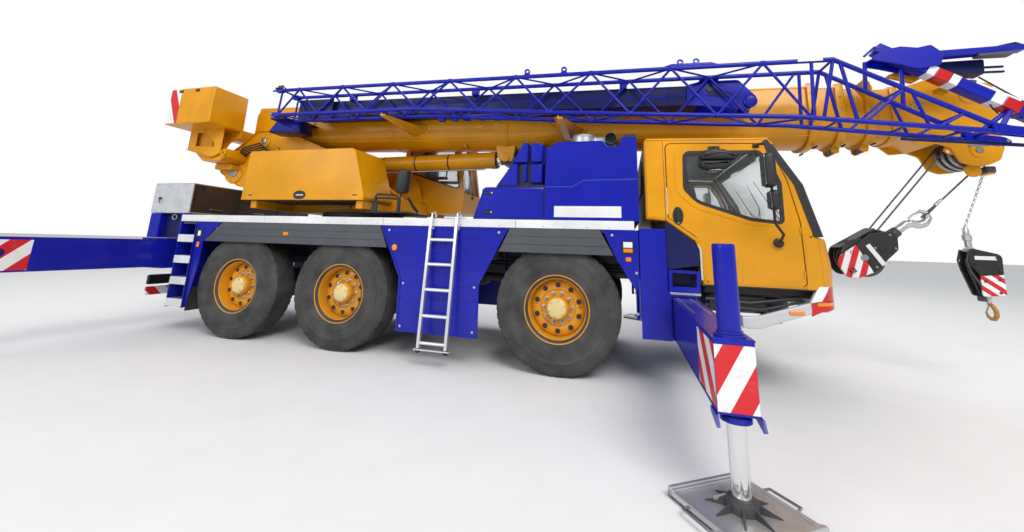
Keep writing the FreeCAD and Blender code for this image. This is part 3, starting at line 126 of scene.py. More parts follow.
def bump(tree, shader, value, strength, distance):
    node = tree.nodes.new("ShaderNodeBump")
    node.inputs["Strength"].default_value = strength
    node.inputs["Distance"].default_value = distance
    link(tree, value, node.inputs["Height"])
    link(tree, node.outputs[0], shader.inputs["Normal"])


def axes_of_place(tree):
    """The x, y and z of each spot on the object."""
    split = tree.nodes.new("ShaderNodeSeparateXYZ")
    link(tree, place(tree), split.inputs[0])
    return split.outputs


def paint(name, colour, rough=0.3, coat=0.35, dust=0.5, metal=0.0, shine=0.5, grime=(0.3, 0.27, 0.23),
        low=0.1, high=1.7):
    """Vehicle paint: a little uneven, dusty low down, with fine orange peel."""
    mat, tree, shader = new_material(name)
    patch = noise(tree, 1.7, 5)
    fine = noise(tree, 38, 3)
    darker, lighter = tuple(c * 0.86 for c in colour), tuple(min(1, c * 1.08) for c in colour)
    shade = mix_rgb(tree, ramp(tree, patch, 0.35, 0.7), darker, lighter)
    up = axes_of_place(tree)[2]
    level = ramp(tree, up, low, high, dust, 0.05 * dust)
    spread = maths(tree, "MULTIPLY", level, ramp(tree, noise(tree, 6, 6, 0.7), 0.3, 0.75, 0.25, 1.0), True)
    streak = maths(tree, "MULTIPLY", ramp(tree, noise(tree, 3, 4, 0.6, (5, 5, 0.5)), 0.55, 0.8, 0, 0.35),
        dust)
    amount = maths(tree, "ADD", spread, maths(tree, "MULTIPLY", streak, 0.5), True)
    link(tree, mix_rgb(tree, amount, shade, grime), shader.inputs["Base Color"])
    link(tree, ramp(tree, maths(tree, "ADD", amount, maths(tree, "MULTIPLY", fine, 0.12)), 0, 1, rough,
        0.75), shader.inputs["Roughness"])
    shader.inputs["Metallic"].default_value = metal
    shader.inputs["Coat Weight"].default_value = coat
    shader.inputs["Specular IOR Level"].default_value = shine
    shader.inputs["Coat Roughness"].default_value = 0.12
    bump(tree, shader, fine, 0.06, 0.002)
    return mat


def plain(name, colour, rough=0.5, metal=0.0, grain=60, depth=0.1, wear=0.15):
    """Plastic, rubber or bare metal with a fine grain and worn patches."""
    mat, tree, shader = new_material(name)
    fine = noise(tree, grain, 4)
    broad = noise(tree, 4, 5)
    worn = tuple(min(1, c * (1 + wear) + 0.03 * wear) for c in colour)
    link(tree, mix_rgb(tree, ramp(tree, broad, 0.35, 0.75), colour, worn), shader.inputs["Base Color"])
    link(tree, ramp(tree, fine, 0.2, 0.8, rough * 0.85, min(1, rough * 1.15)), shader.inputs["Roughness"])
    shader.inputs["Metallic"].default_value = metal
    bump(tree, shader, fine, depth, 0.002)
    return mat


def striped(name, direction, width, first=(0.62, 0.012, 0.02), second=(0.82, 0.82, 0.82), offset=0.0):
    """Slanting bands of two colours, along a direction, each a width wide."""
    mat, tree, shader = new_material(name)
    dot = tree.nodes.new("ShaderNodeVectorMath")
    dot.operation = "DOT_PRODUCT"
    link(tree, place(tree), dot.inputs[0])
    dot.inputs[1].default_value = direction
    turn = maths(tree, "FRACT", maths(tree, "ADD", maths(tree, "DIVIDE", dot.outputs["Value"], 2 * width),
        40.0 + offset))
    band = maths(tree, "GREATER_THAN", turn, 0.5)
    base = mix_rgb(tree, band, first, second)
    scuff = ramp(tree, noise(tree, 14, 6, 0.7), 0.55, 0.75, 0, 0.35)
    link(tree, mix_rgb(tree, scuff, base, (0.22, 0.2, 0.18)), shader.inputs["Base Color"])
    shader.inputs["Roughness"].default_value = 0.38
    bump(tree, shader, noise(tree, 120, 2), 0.05, 0.001)
    return mat


def chequer(name, colour=(0.62, 0.63, 0.64), pitch=0.028):
    """Aluminium tread plate: short raised bars laid two ways."""
    mat, tree, shader = new_material(name)
    x, y, z = axes_of_place(tree)
    a = maths(tree, "ADD", maths(tree, "ADD", x, y), z)
    b = maths(tree, "SUBTRACT", maths(tree, "ADD", x, maths(tree, "MULTIPLY", y, -1)), z)
    one = maths(tree, "SINE", maths(tree, "MULTIPLY", a, 2 * math.pi / pitch))
    two = maths(tree, "SINE", maths(tree, "MULTIPLY", b, 2 * math.pi / pitch))
    bars = ramp(tree, maths(tree, "MULTIPLY", one, two), 0.25, 0.6)
    dirt = ramp(tree, noise(tree, 5, 6), 0.4, 0.75, 0, 0.6)
    link(tree, mix_rgb(tree, dirt, colour, (0.26, 0.24, 0.22)), shader.inputs["Base Color"])
    link(tree, ramp(tree, dirt, 0, 0.6, 0.32, 0.6), shader.inputs["Roughness"])
    shader.inputs["Metallic"].default_value = 0.75
    bump(tree, shader, bars, 0.5, 0.0015)
    return mat


def glass(name, tint=(0.75, 0.85, 0.85), alpha=0.25):
    """Clear window glass, a little tinted."""
    mat, _, shader = new_material(name)
    shader.inputs["Base Color"].default_value = (*tint, 1)
    shader.inputs["Roughness"].default_value = 0.03
    shader.inputs["Transmission Weight"].default_value = 0.85
    shader.inputs["IOR"].default_value = 1.1
    shader.inputs["Alpha"].default_value = alpha
    shader.inputs["Specular IOR Level"].default_value = 0.8
    return mat


YELLOW = paint("yellow_paint", (0.72, 0.305, 0.0008), dust=0.12, coat=0.15, shine=0.3)
BLUE = paint("blue_paint", (0.0012, 0.0075, 0.35), dust=0.07, coat=0.14, shine=0.25)
# a lighter blue for the swage's edge: a painted highlight
HIGHLIGHT_BLUE = paint("blue_edge_painted_highlight", (0.03, 0.11, 0.62), dust=0.05, coat=0.14, shine=0.3)
# near-black blue: painted shade on recesses, louvres, the box jib under the truss and other parts in shadow;
# also dark seams
SHADE_AND_SEAM_BLUE = paint("blue_painted_shade_and_seams", (0.001, 0.005, 0.08), rough=0.4, coat=0.1, dust=0.1, shine=0.25)
GREY_DARK = plain("mudguard_plastic", (0.06, 0.065, 0.075), 0.5, grain=90)
# the locker's aluminium front in dark brown: painted shade and a painted reflection of the yellow above it
LOCKER_FRONT_SHADE = paint("locker_front_painted_shade", (0.055, 0.036, 0.028), rough=0.35, coat=0.2, dust=0.3, metal=0.3)
BLACK = plain("black_plastic", (0.012, 0.012, 0.013), 0.45)
FRAME = paint("frame_paint", (0.012, 0.02, 0.07), rough=0.5, dust=0.6)
ALU = plain("bright_aluminium", (0.72, 0.73, 0.74), 0.3, 0.8)
WHITE = paint("white_edge", (0.78, 0.79, 0.8), rough=0.35, dust=0.15)
PLATE = chequer("tread_plate")
SHEET = chequer("bright_sheet", (0.8, 0.82, 0.84), 0.04)
RUBBER = plain("tyre_rubber", (0.028, 0.027, 0.026), 0.75, grain=70, depth=0.25, wear=0.9)
CHROME = plain("ram_chrome", (0.75, 0.75, 0.75), 0.12, 1.0, grain=20, depth=0.02, wear=0.05)
STEEL = plain("steel", (0.35, 0.35, 0.35), 0.35, 0.9)
GALV = plain("galvanised_steel", (0.5, 0.51, 0.52), 0.4, 0.8, grain=30, wear=0.3)
IRON = plain("engine_iron", (0.07, 0.07, 0.075), 0.6, 0.5)
INSIDE = plain("cab_plastic", (0.05, 0.052, 0.056), 0.6)
CLOTH = plain("seat_cloth", (0.035, 0.04, 0.055), 0.9, grain=220, depth=0.3)
BUMPER = paint("bumper_paint", (0.62, 0.64, 0.66), rough=0.35, dust=0.3)
GLASS = glass("window_glass")
AMBER = plain("amber_lens", (0.8, 0.22, 0.005), 0.15)
REDLENS = plain("red_lens", (0.5, 0.01, 0.008), 0.15)
CLEAR = plain("clear_lens", (0.75, 0.77, 0.8), 0.1)
HUBCAP = paint("hub_paint", (0.8, 0.62, 0.25), rough=0.4, dust=0.3)
ROPE = plain("steel_rope", (0.12, 0.12, 0.125), 0.45, 0.7, grain=300, depth=0.4)
# darker orange for the rim's well: painted shade inside the wheel
RIM_WELL_SHADE = paint("rim_well_painted_shade", (0.55, 0.27, 0.01), rough=0.5, dust=0.7)
STRIPE_ACROSS = striped("stripes_across", (0, 1, 1), 0.16)
STRIPE_BEAM = striped("stripes_beam", (0, 1, -1), 0.17)
STRIPE_END = striped("stripes_beam_end", (1, 0, -0.58), 0.105, offset=0.469)
STRIPE_UPPER = striped("stripes_upper", (1, 0, 0.45), 0.165)
# dark orange: the yellow darkened as painted shade
SHADED_ORANGE = paint("rim_disc", (0.46, 0.19, 0.004), rough=0.45, dust=0.4)
HOSE = plain("hose_rubber", (0.015, 0.015, 0.016), 0.5)
SCREEN_BLACK = plain("rubber_trim", (0.01, 0.01, 0.011), 0.35)


# Building of meshes


def within(spot, line):
    """Whether a spot lies inside a closed outline."""
    inside = False
    for (x0, y0), (x1, y1) in zip(line, line[1:] + line[:1]):
        if (y0 > spot.y) != (y1 > spot.y) and spot.x < x0 + (x1 - x0) * (spot.y - y0) / (y1 - y0):
            inside = not inside
    return inside


def on_plane(plane, u, v, level):
    """A spot of a flat outline that lies across one axis, at a level along it."""
    return {"xz": (u, level, v), "yz": (level, u, v), "xy": (u, v, level)}[plane]


def cross_axes(along):
    """Two directions square to a bar's own and to each other."""
    other = Vector((0, 0, 1)) if abs(along.z) < 0.9 else Vector((1, 0, 0))
    u = along.cross(other).normalized()
    return u, along.cross(u)


SHARP = math.radians(40)


class Build:
    """Collects closed forms in one mesh, each with its material, then makes one piece of them."""

    def __init__(self, name, body, replaces=(), slot=None):
        self.name, self.body, self.nodes, self.slot = name, body, replaces, slot
        self.mesh = bmesh.new()
        self.mats = []
        self.shift = None

    def index(self, mat):
        if mat not in self.mats:
            self.mats.append(mat)
        return self.mats.index(mat)

    def put(self, points):
        return [self.mesh.verts.new(self.shift(*p) if self.shift else p) for p in points]

    def faces(self, verts, lists, mat, smooth=False):
        slot = self.index(mat)
        made = []
        for ring in lists:
            try:
                face = self.mesh.faces.new([verts[i] for i in ring])
            except ValueError:
                continue
            face.material_index = slot
            face.smooth = smooth
            made.append(face)
        return made

    def hexa(self, corners, mat):
        """A six-sided block from its eight corners: four below, four above."""
        verts = self.put(corners)
        return self.faces(verts, [(3, 2, 1, 0), (4, 5, 6, 7), (0, 1, 5, 4), (1, 2, 6, 5), (2, 3, 7, 6),
            (3, 0, 4, 7)], mat)

    def box(self, x, y, z, mat, bevel=0.0):
        (x0, x1), (y0, y1), (z0, z1) = sorted(x), sorted(y), sorted(z)
        b = min(bevel, (x1 - x0) / 2.1, (y1 - y0) / 2.1, (z1 - z0) / 2.1)
        if b <= 0:
            return self.hexa([(x0, y0, z0), (x1, y0, z0), (x1, y1, z0), (x0, y1, z0),
                              (x0, y0, z1), (x1, y0, z1), (x1, y1, z1), (x0, y1, z1)], mat)
        return self.eased((x0, x1), (y0, y1), (z0, z1), mat, b)

    def eased(self, x, y, z, mat, b):
        """A block with all its edges chamfered."""
        grid = []
        lows = (x[0], y[0], z[0])
        highs = (x[1], y[1], z[1])
        index = {}
        for sx in (0, 1):
            for sy in (0, 1):
                for sz in (0, 1):
                    for axis in range(3):
                        signs = (sx, sy, sz)
                        p = []
                        for k in range(3):
                            edge = highs[k] if signs[k] else lows[k]
                            if k != axis:
                                edge += -b if signs[k] else b
                            p.append(edge)
                        index[(sx, sy, sz, axis)] = len(grid)
                        grid.append(tuple(p))
        lists = []
        for axis in range(3):
            o1, o2 = [k for k in range(3) if k != axis]
            for side in (0, 1):
                ring = []
                for a, c in ((0, 0), (1, 0), (1, 1), (0, 1)):
                    key = [0, 0, 0]
                    key[axis], key[o1], key[o2] = side, a, c
                    ring.append(index[(*key, axis)])
                lists.append(ring)
        for axis in range(3):
            o1, o2 = [k for k in range(3) if k != axis]
            for a in (0, 1):
                for c in (0, 1):
                    ring = []
                    for end, which in ((0, o1), (1, o1), (1, o2), (0, o2)):
                        key = [0, 0, 0]
                        key[axis], key[o1], key[o2] = end, a, c
                        ring.append(index[(*key, which)])
                    lists.append(ring)
        for sx in (0, 1):
            for sy in (0, 1):
                for sz in (0, 1):
                    lists.append([index[(sx, sy, sz, k)] for k in range(3)])
        return self.faces(self.put(grid), lists, mat)

    def prism(self, plane, points, low, high, mat, smooth=False):
        """A flat outline given thickness between two levels."""
        n = len(points)
        verts = self.put([on_plane(plane, u, v, level) for level in (low, high) for u, v in points])
        caps = [list(range(n))[::-1], list(range(n, 2 * n))]
        sides = [[i, (i + 1) % n, n + (i + 1) % n, n + i] for i in range(n)]
        made = self.faces(verts, caps, mat)
        return made + self.faces(verts, sides, mat, smooth)

    def frustum(self, a, b, ra, rb, mat, segs=20):
        """A round bar between two points, with a radius at each end."""
        a, b = Vector(a), Vector(b)
        u, v = cross_axes((b - a).normalized())
        ring = []
        for centre, r in ((a, ra), (b, rb)):
            for i in range(segs):
                t = 2 * math.pi * i / segs
                ring.append(centre + u * (r * math.cos(t)) + v * (r * math.sin(t)))
        verts = self.put(ring)
        self.faces(verts, [[i, (i + 1) % segs, segs + (i + 1) % segs, segs + i] for i in range(segs)], mat,
            True)
        self.faces(verts, [list(range(segs))[::-1], list(range(segs, 2 * segs))], mat)

    def rod(self, a, b, r, mat, segs=20):
        self.frustum(a, b, r, r, mat, segs)

    def join(self, one, two, mat):
        """Smooth faces between two rings of corners."""
        n = len(one)
        slot = self.index(mat)
        for i in range(n):
            face = self.mesh.faces.new([one[i], one[(i + 1) % n], two[(i + 1) % n], two[i]])
            face.material_index = slot
            face.smooth = True

    def lathe(self, centre, axis, profile, mat, segs=48, closed=False, smooth=True):
        """A profile of (radius, along) turned about an axis."""
        centre, axis = Vector(centre), Vector(axis).normalized()
        u, v = cross_axes(axis)
        turns = [2 * math.pi * i / segs for i in range(segs)]
        rings = []
        for r, h in profile:
            middle = centre + axis * h
            if r < 1e-6:
                rings.append(self.put([middle]))
            else:
                rings.append(self.put([middle + u * (r * math.cos(t)) + v * (r * math.sin(t))
                    for t in turns]))
        pairs = list(zip(rings, rings[1:])) + ([(rings[-1], rings[0])] if closed else [])
        slot = self.index(mat)
        for one, two in pairs:
            for i in range(segs):
                j = (i + 1) % segs
                quad = [one[i % len(one)], one[j % len(one)], two[j % len(two)], two[i % len(two)]]
                face_verts = []
                for w in quad:
                    if w not in face_verts:
                        face_verts.append(w)
                if len(face_verts) < 3:
                    continue
                face = self.mesh.faces.new(face_verts)
                face.material_index = slot
                face.smooth = smooth

    def tube(self, points, r, mat, segs=8, closed=False, caps=True):
        """A round bar through points."""
        points = [Vector(p) for p in points]
        n = len(points)
        u = None
        rings = []
        for i, p in enumerate(points):
            before = points[i - 1] if i or closed else p
            after = points[(i + 1) % n] if i < n - 1 or closed else p
            along = (after - before).normalized()
            if u is None:
                u = cross_axes(along)[0]
            else:
                u = (u - along * u.dot(along)).normalized()
            v = along.cross(u)
            turns = [2 * math.pi * k / segs for k in range(segs)]
            rings.append(self.put([p + (u * math.cos(t) + v * math.sin(t)) * r for t in turns]))
        for one, two in list(zip(rings, rings[1:])) + ([(rings[-1], rings[0])] if closed else []):
            self.join(one, two, mat)
        slot = self.index(mat)
        if caps and not closed:
            for ring in (rings[0][::-1], rings[-1]):
                face = self.mesh.faces.new(ring)
                face.material_index = slot

    def panel(self, plane, outer, holes, low, high, mat):
        """A sheet with openings: its outline and holes filled, then given thickness."""
        slot = self.index(mat)
        flat, edges = [], []
        for line in [outer] + list(holes):
            first, count = len(flat), len(line)
            flat += [Vector(spot) for spot in line]
            edges += [(first + i, first + (i + 1) % count) for i in range(count)]
        spots, _, tris = geometry.delaunay_2d_cdt(flat, edges, [], 0, 1e-6)[:3]
        middles = [(spots[a] + spots[b] + spots[c]) / 3 for a, b, c in tris]
        tris = [tri for tri, m in zip(tris, middles)
                if within(m, outer) and not any(within(m, hole) for hole in holes)]

        def level(t):
            return self.put([on_plane(plane, p.x, p.y, t) for p in spots])
        lows, highs = level(low), level(high)
        sides = {(tri[i], tri[(i + 1) % 3]) for tri in tris for i in range(3)}
        lists = [[lows[i] for i in tri] for tri in tris] + [[highs[i] for i in tri][::-1] for tri in tris]
        lists += [[lows[a], lows[b], highs[b], highs[a]] for a, b in sides if (b, a) not in sides]
        for corners in lists:
            self.mesh.faces.new(corners).material_index = slot

    def done(self):
        """Makes the piece, which rides on its body."""
        mesh = bpy.data.meshes.new(self.name)
        bmesh.ops.recalc_face_normals(self.mesh, faces=self.mesh.faces[:])
        for edge in self.mesh.edges:
            if len(edge.link_faces) == 2:
                edge.smooth = edge.calc_face_angle(0) < SHARP
        self.mesh.to_mesh(mesh)
        self.mesh.free()
        for mat in self.mats:
            mesh.materials.append(mat)
        piece = bpy.data.objects.new(self.name, mesh)
        bpy.context.scene.collection.objects.link(piece)
        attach(piece, self.body)
        if self.nodes:
            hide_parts(*self.nodes)


def set_material(node, mat):
    """A better finish for a node whose shape stays."""
    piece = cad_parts[node]
    piece.data.materials.clear()
    piece.data.materials.append(mat)


def rounded(points, radius, steps=5):
    """An outline with each corner turned on a radius; radius is one number or one for each corner."""
    n = len(points)
    made = []
    for i in range(n):
        a, p, c = Vector(points[i - 1]), Vector(points[i]), Vector(points[(i + 1) % n])
        r = radius[i] if isinstance(radius, (list, tuple)) else radius
        d1, d2 = (a - p), (c - p)
        l1, l2 = d1.length, d2.length
        d1.normalize()
        d2.normalize()
        angle = math.acos(max(-1, min(1, d1.dot(d2))))
        if r <= 0 or angle > math.radians(174):
            made.append((p.x, p.y))
            continue
        back = min(r / math.tan(angle / 2), 0.46 * l1, 0.46 * l2)
        r = back * math.tan(angle / 2)
        centre = p + (d1 + d2).normalized() * (r / math.sin(angle / 2))
        s, e = p + d1 * back - centre, p + d2 * back - centre
        a0, a1 = math.atan2(s.y, s.x), math.atan2(e.y, e.x)
        turn = (a1 - a0 + math.pi) % (2 * math.pi) - math.pi
        for k in range(steps + 1):
            t = a0 + turn * k / steps
            made.append((centre.x + r * math.cos(t), centre.y + r * math.sin(t)))
    return made


def drawn_in(points, by, sharpest=0.3):
    """A closed outline moved inwards (outwards when negative); sharpest limits the move at narrow corners."""
    n = len(points)
    area = sum(points[i][0] * points[(i + 1) % n][1] - points[(i + 1) % n][0] * points[i][1]
        for i in range(n))
    turn = 1 if area > 0 else -1
    made = []
    for i in range(n):
        a, p, c = Vector(points[i - 1]), Vector(points[i]), Vector(points[(i + 1) % n])
        d1, d2 = (p - a).normalized(), (c - p).normalized()
        n1, n2 = Vector((-d1.y, d1.x)) * turn, Vector((-d2.y, d2.x)) * turn
        m = n1 + n2
        scale = by / max(sharpest, (1 + n1.dot(n2)))
        made.append((p.x + m.x * scale, p.y + m.y * scale))
    return made


def band(b, plane, one, two, t1, t2, mat, smooth=True, skip=()):
    """Faces that join two outlines of equal count, each at its own level."""
    n = len(one)
    verts = b.put([on_plane(plane, u, v, level) for line, level in ((one, t1), (two, t2)) for u, v in line])
    lists = [[i, (i + 1) % n, n + (i + 1) % n, n + i] for i in range(n) if i not in skip]
    return b.faces(verts, lists, mat, smooth)


def soft_block(b, plane, points, low, high, mat, soft=0.02, steps=3):
    """A thick outline whose two flat faces meet the sides in a rounded edge."""
    if low > high:
        low, high = high, low
    soft = min(soft, (high - low) / 2.05)
    turns = [math.pi / 2 * k / steps for k in range(steps + 1)]
    levels = [(soft * (1 - math.sin(t)), low + soft * (1 - math.cos(t))) for t in turns]
    levels += [(soft * (1 - math.sin(t)), high - soft * (1 - math.cos(t))) for t in reversed(turns)]
    rings = [b.put([on_plane(plane, u, v, level) for u, v in drawn_in(points, by)]) for by, level in levels]
    for one, two in zip(rings, rings[1:]):
        b.join(one, two, mat)
    slot = b.index(mat)
    for ring in (rings[0][::-1], rings[-1]):
        face = b.mesh.faces.new(ring)
        face.material_index = slot


def carriage(points):
    """Stations ahead of the front axle turned into frame places."""
    return [(ax(x), z) for x, z in points]


def oval(x, z, wide, high, count):
    """Spots round an ellipse."""
    turns = [2 * math.pi * k / count for k in range(count)]
    return [(x + wide * math.cos(t), z + high * math.sin(t)) for t in turns]


def mirrored(out, points):
    """A cross-section's spots on one side of the crane."""
    return [(out * y, z) for y, z in points]


def sloping_plate(b, one, two, y0, y1, thick, mat):
    """A flat plate whose top runs from one (x, z) to another."""
    (x0, z0), (x1, z1) = one, two
    b.hexa([(x0, y0, z0 - thick), (x1, y0, z1 - thick), (x1, y1, z1 - thick), (x0, y1, z0 - thick),
            (x0, y0, z0), (x1, y0, z1), (x1, y1, z1), (x0, y1, z0)], mat)


def upright_plate(b, low, high, y0, y1, mat):
    """A plate between two level edges, each given as (back, front, height)."""
    (a0, a1, az), (c0, c1, cz) = low, high
    b.hexa([(a0, y0, az), (a1, y0, az), (a1, y1, az), (a0, y1, az),
            (c0, y0, cz), (c1, y0, cz), (c1, y1, cz), (c0, y1, cz)], mat)


# Wheels

AXLE_HEIGHT = 0.682
TYRE_WIDTH = 0.375
TYRE_FACE = 1.225
RIM_SET_IN = 0.012
TREAD_BLOCKS = 44
SHOULDER_RIBS = 66
HAND_HOLES = 10
WHEEL_BOLTS = 10


def wheel(which, hand, x, out, dish):
    """Tyre, rim, hub and bolts. out is -1 on the right side, dish the depth of the rim's disc."""
    body = "wheel_%s_%s" % (which, hand)
    centre = Vector((ax(x), 0, AXLE_HEIGHT))

    def at_face(depth):
        # depth is measured inwards from the tyre's outer face
        return Vector((centre.x, out * (TYRE_FACE - depth), centre.z))

    def on_rim(profile, mat, segs):
        rim.lathe(at_face(RIM_SET_IN), inward, profile, mat, segs)

    def around(depth, radius, a):
        """A spot at a depth, a radius and a turn round the hub."""
        return at_face(depth) + Vector((math.cos(a) * radius, 0, math.sin(a) * radius))

    inward = Vector((0, -out, 0))
    tyre = Build("tyre_%s_%s_rubber" % (which, hand), body, ["tyre_%s_%s" % (which, hand)], "tyre")
    width = TYRE_WIDTH
    half = [(0.319, 0.034), (0.335, 0.02), (0.372, 0.01), (0.4, 0.0035), (0.42, 0.0035), (0.424, 0.0),
        (0.432, 0.0), (0.436, 0.0035), (0.5, 0.0015), (0.54, 0.0035), (0.544, 0.0005), (0.552, 0.0005),
        (0.556, 0.0055), (0.59, 0.01), (0.612, 0.016), (0.616, 0.013), (0.65, 0.018), (0.668, 0.03),
        (0.674, 0.04)]
    tread = []
    for groove in (0.098, 0.16):
        tread += [(0.681, groove - 0.006), (0.664, groove - 0.004), (0.664, groove + 0.004),
            (0.681, groove + 0.006)]
    right = half + [(0.68, 0.05)] + tread
    profile = right + [(r, width - d) for r, d in reversed(right)]
    tyre.lathe(at_face(0), inward, profile, RUBBER, 72, closed=True)
    # shoulder blocks stand along both edges of the tread
    for k in range(TREAD_BLOCKS):
        a = 2 * math.pi * (k + 0.25) / TREAD_BLOCKS
        for d0, d1, turn in ((0.026, 0.09, 0.0), (width - 0.09, width - 0.026, 0.5)):
            b = a + turn * 2 * math.pi / TREAD_BLOCKS
            w = 0.031
            # a block's top is set back on the side of the nearer sidewall
            near_top = d0 + 0.01 if turn == 0 else d0
            far_top = d1 - 0.01 if turn else d1
            corners = []
            for r, near, far in ((0.655, d0, d1), (0.6815, near_top, far_top)):
                for t, d in ((-w, near), (w, near), (w, far), (-w, far)):
                    corners.append(around(d, r, b + t / 0.68))
            tyre.hexa(corners, RUBBER)
    # sidewall ribs near the shoulder
    for k in range(SHOULDER_RIBS):
        a = 2 * math.pi * k / SHOULDER_RIBS
        w = 0.008
        corners = []
        for r, near in ((0.618, 0.0105), (0.652, 0.0145)):
            for t, d in ((-w, near), (w, near), (w, 0.03), (-w, 0.03)):
                corners.append(around(d, r, a + t / 0.63))
        tyre.hexa(corners, RUBBER)
    tyre.done()

    rim = Build("rim_%s_%s_disc" % (which, hand), body, ["rim_%s_%s" % (which, hand)], "yellow_paint")
    on_rim([(0.318, 0.033), (0.357, 0.019), (0.36, 0.004), (0.357, 0.0), (0.349, 0.001), (0.343, 0.01),
            (0.33, 0.026), (0.312, 0.034), (0.306, 0.06), (0.3, dish + 0.02)], YELLOW, 64)
    # the rim's inner barrel, darker orange as painted shade
    on_rim([(0.3, dish + 0.02), (0.3, 0.33), (0.318, 0.338)], RIM_WELL_SHADE, 64)
    # the disc, with hand holes shown as black discs, painted shade inside them, with raised rims
    disc = [(0.3, dish + 0.02), (0.292, dish + 0.008), (0.27, dish - 0.004), (0.215, dish - 0.016),
        (0.198, dish - 0.012), (0.19, dish)]
    on_rim(disc, YELLOW, 80)
    for k in range(HAND_HOLES):
        a = 2 * math.pi * (k + 0.5) / HAND_HOLES
        rim.lathe(around(RIM_SET_IN + dish - 0.0165, 0.243, a), -inward, [(0.034, -0.004), (0.034, 0.0035),
            (0.03, 0.004), (0.0285, -0.002)], YELLOW, 18)
        rim.lathe(around(RIM_SET_IN + dish - 0.0145, 0.243, a), -inward, [(0.0288, 0.0022), (0.0, 0.0022)],
            BLACK, 18)
    # the flat ring with bolts, the drum and the cap
    cap = dish - 0.115
    on_rim([(0.19, dish), (0.188, dish - 0.002), (0.126, dish - 0.002), (0.124, dish - 0.02)], YELLOW, 48)
    for k in range(WHEEL_BOLTS):
        base = around(RIM_SET_IN + dish - 0.002, 0.157, 2 * math.pi * k / WHEEL_BOLTS)
        rim.lathe(base, -inward, [(0.022, 0), (0.022, 0.005), (0.016, 0.007)], GALV, 14)
        rim.lathe(base, -inward, [(0.0165, 0.005), (0.0165, 0.026), (0.012, 0.03), (0.0, 0.03)], STEEL, 6,
            smooth=False)
        rim.lathe(base, -inward, [(0.009, 0.028), (0.009, 0.042), (0.0, 0.043)], STEEL, 10)
    on_rim([(0.124, dish - 0.02), (0.124, cap + 0.045), (0.112, cap + 0.03), (0.106, cap + 0.028)], YELLOW,
        40)
    on_rim([(0.106, cap + 0.03), (0.104, cap + 0.012), (0.094, cap + 0.003), (0.08, cap), (0.0, cap)],
        HUBCAP, 40)
    for k in range(6):
        a = 2 * math.pi * (k + 0.3) / 6
        rim.lathe(around(RIM_SET_IN + cap + 0.002, 0.086, a), -inward,
            [(0.008, 0), (0.008, 0.007), (0.0, 0.008)], STEEL, 6, smooth=False)
    # valve stem
    rim.tube([at_face(RIM_SET_IN + dish - 0.01) + Vector((0.225, 0, 0.02)),
        at_face(0.03 + dish * 0.5) + Vector((0.262, 0, 0.026))], 0.006, STEEL, 8)
    rim.done()


for which, x, dish in (("front", 0.0, 0.135), ("middle", -2.758, 0.15), ("rear", -4.408, 0.15)):
    for hand, out in (("right", -1), ("left", 1)):
        wheel(which, hand, x, out, dish)


# Carrier: deck edge, side panels, mudguards, ladders

# distances from the crane's middle plane: the skin of the side panels and the widest trim
PANEL_FACE = 1.262
TRIM_FACE = 1.2695
DECK_TOP = 1.535

SIDES = (("right", -1), ("left", 1))


def side_box(b, out, x, y, z, mat, bevel=0.0):
    """A block on one side: x from the front axle, y as distance from the middle."""
    ys = (out * y[0], out * y[1])
    b.box((ax(x[0]), ax(x[1])), ys, z, mat, bevel)


def side_plate(b, out, points, y, mat):
    """An outline on one side, between two distances from the middle."""
    b.prism("xz", carriage(points), out * y[0], out * y[1], mat)


def rib(b, out, a, c, y, r, mat):
    """A round bead along a side, from one (x, z) to another."""
    b.tube([(ax(a[0]), out * y, a[1]), (ax(c[0]), out * y, c[1])], r, mat, 6)


deck = Build("deck_plates", "carrier", ["deck"], "deck_plate")
for out in (-1, 1):
    # the bright edge in four lengths with joints, its lip and its rivets
    for x0, x1 in ((-5.53, -4.02), (-4.015, -2.18), (-2.175, -0.47), (-0.465, 0.83)):
        deck.box((ax(x0), ax(x1)), (out * 1.258, out * 1.2695), (1.537, 1.626), WHITE, 0.002)
        deck.box((ax(x0), ax(x1)), (out * 1.205, out * 1.2695), (1.622, 1.63), WHITE, 0.002)
        x = x0 + 0.08
        while x < x1 - 0.04:
            deck.lathe((ax(x), out * 1.2695, 1.556), (0, out, 0), [(0.007, -0.002), (0.006, 0.001),
                (0, 0.0015)], STEEL, 8)
            x += 0.24
# tread plate round the upper structure, in sheets
SHEETS = ((-5.53, -4.02, -1.2, 1.2), (-4.015, -2.7, -1.2, -0.65), (-4.015, -2.7, 0.65, 1.2),
          (-2.695, -0.99, -1.2, 1.2), (-0.985, 0.83, -1.2, 1.2))
for x0, x1, y0, y1 in SHEETS:
    deck.box((ax(x0), ax(x1)), (y0, y1), (1.6, 1.6285), PLATE, 0.0015)
deck.box((ax(-4.015), ax(-2.7)), (-0.65, 0.65), (1.598, 1.6), FRAME)
for x in (-5.45, -4.95, -3.7, -2.1, -1.3, -0.5, 0.3):
    deck.box((ax(x) - 0.035, ax(x) + 0.035), (-1.205, 1.205), (1.505, 1.6), FRAME)
for out in (-1, 1):
    deck.box((ax(-5.5), ax(0.8)), (out * 1.2, out * 1.245), (1.5, 1.6), FRAME)
# lashing eyes let into the deck near its edge
for x in (-5.3, -4.6, -1.75, -1.2):
    for out in (-1, 1):
        deck.lathe((ax(x), out * 1.1, 1.6287), (0, 0, 1), [(0.045, 0), (0.045, 0.001), (0.03, 0.001),
            (0.03, 0)], STEEL, 20)
deck.done()

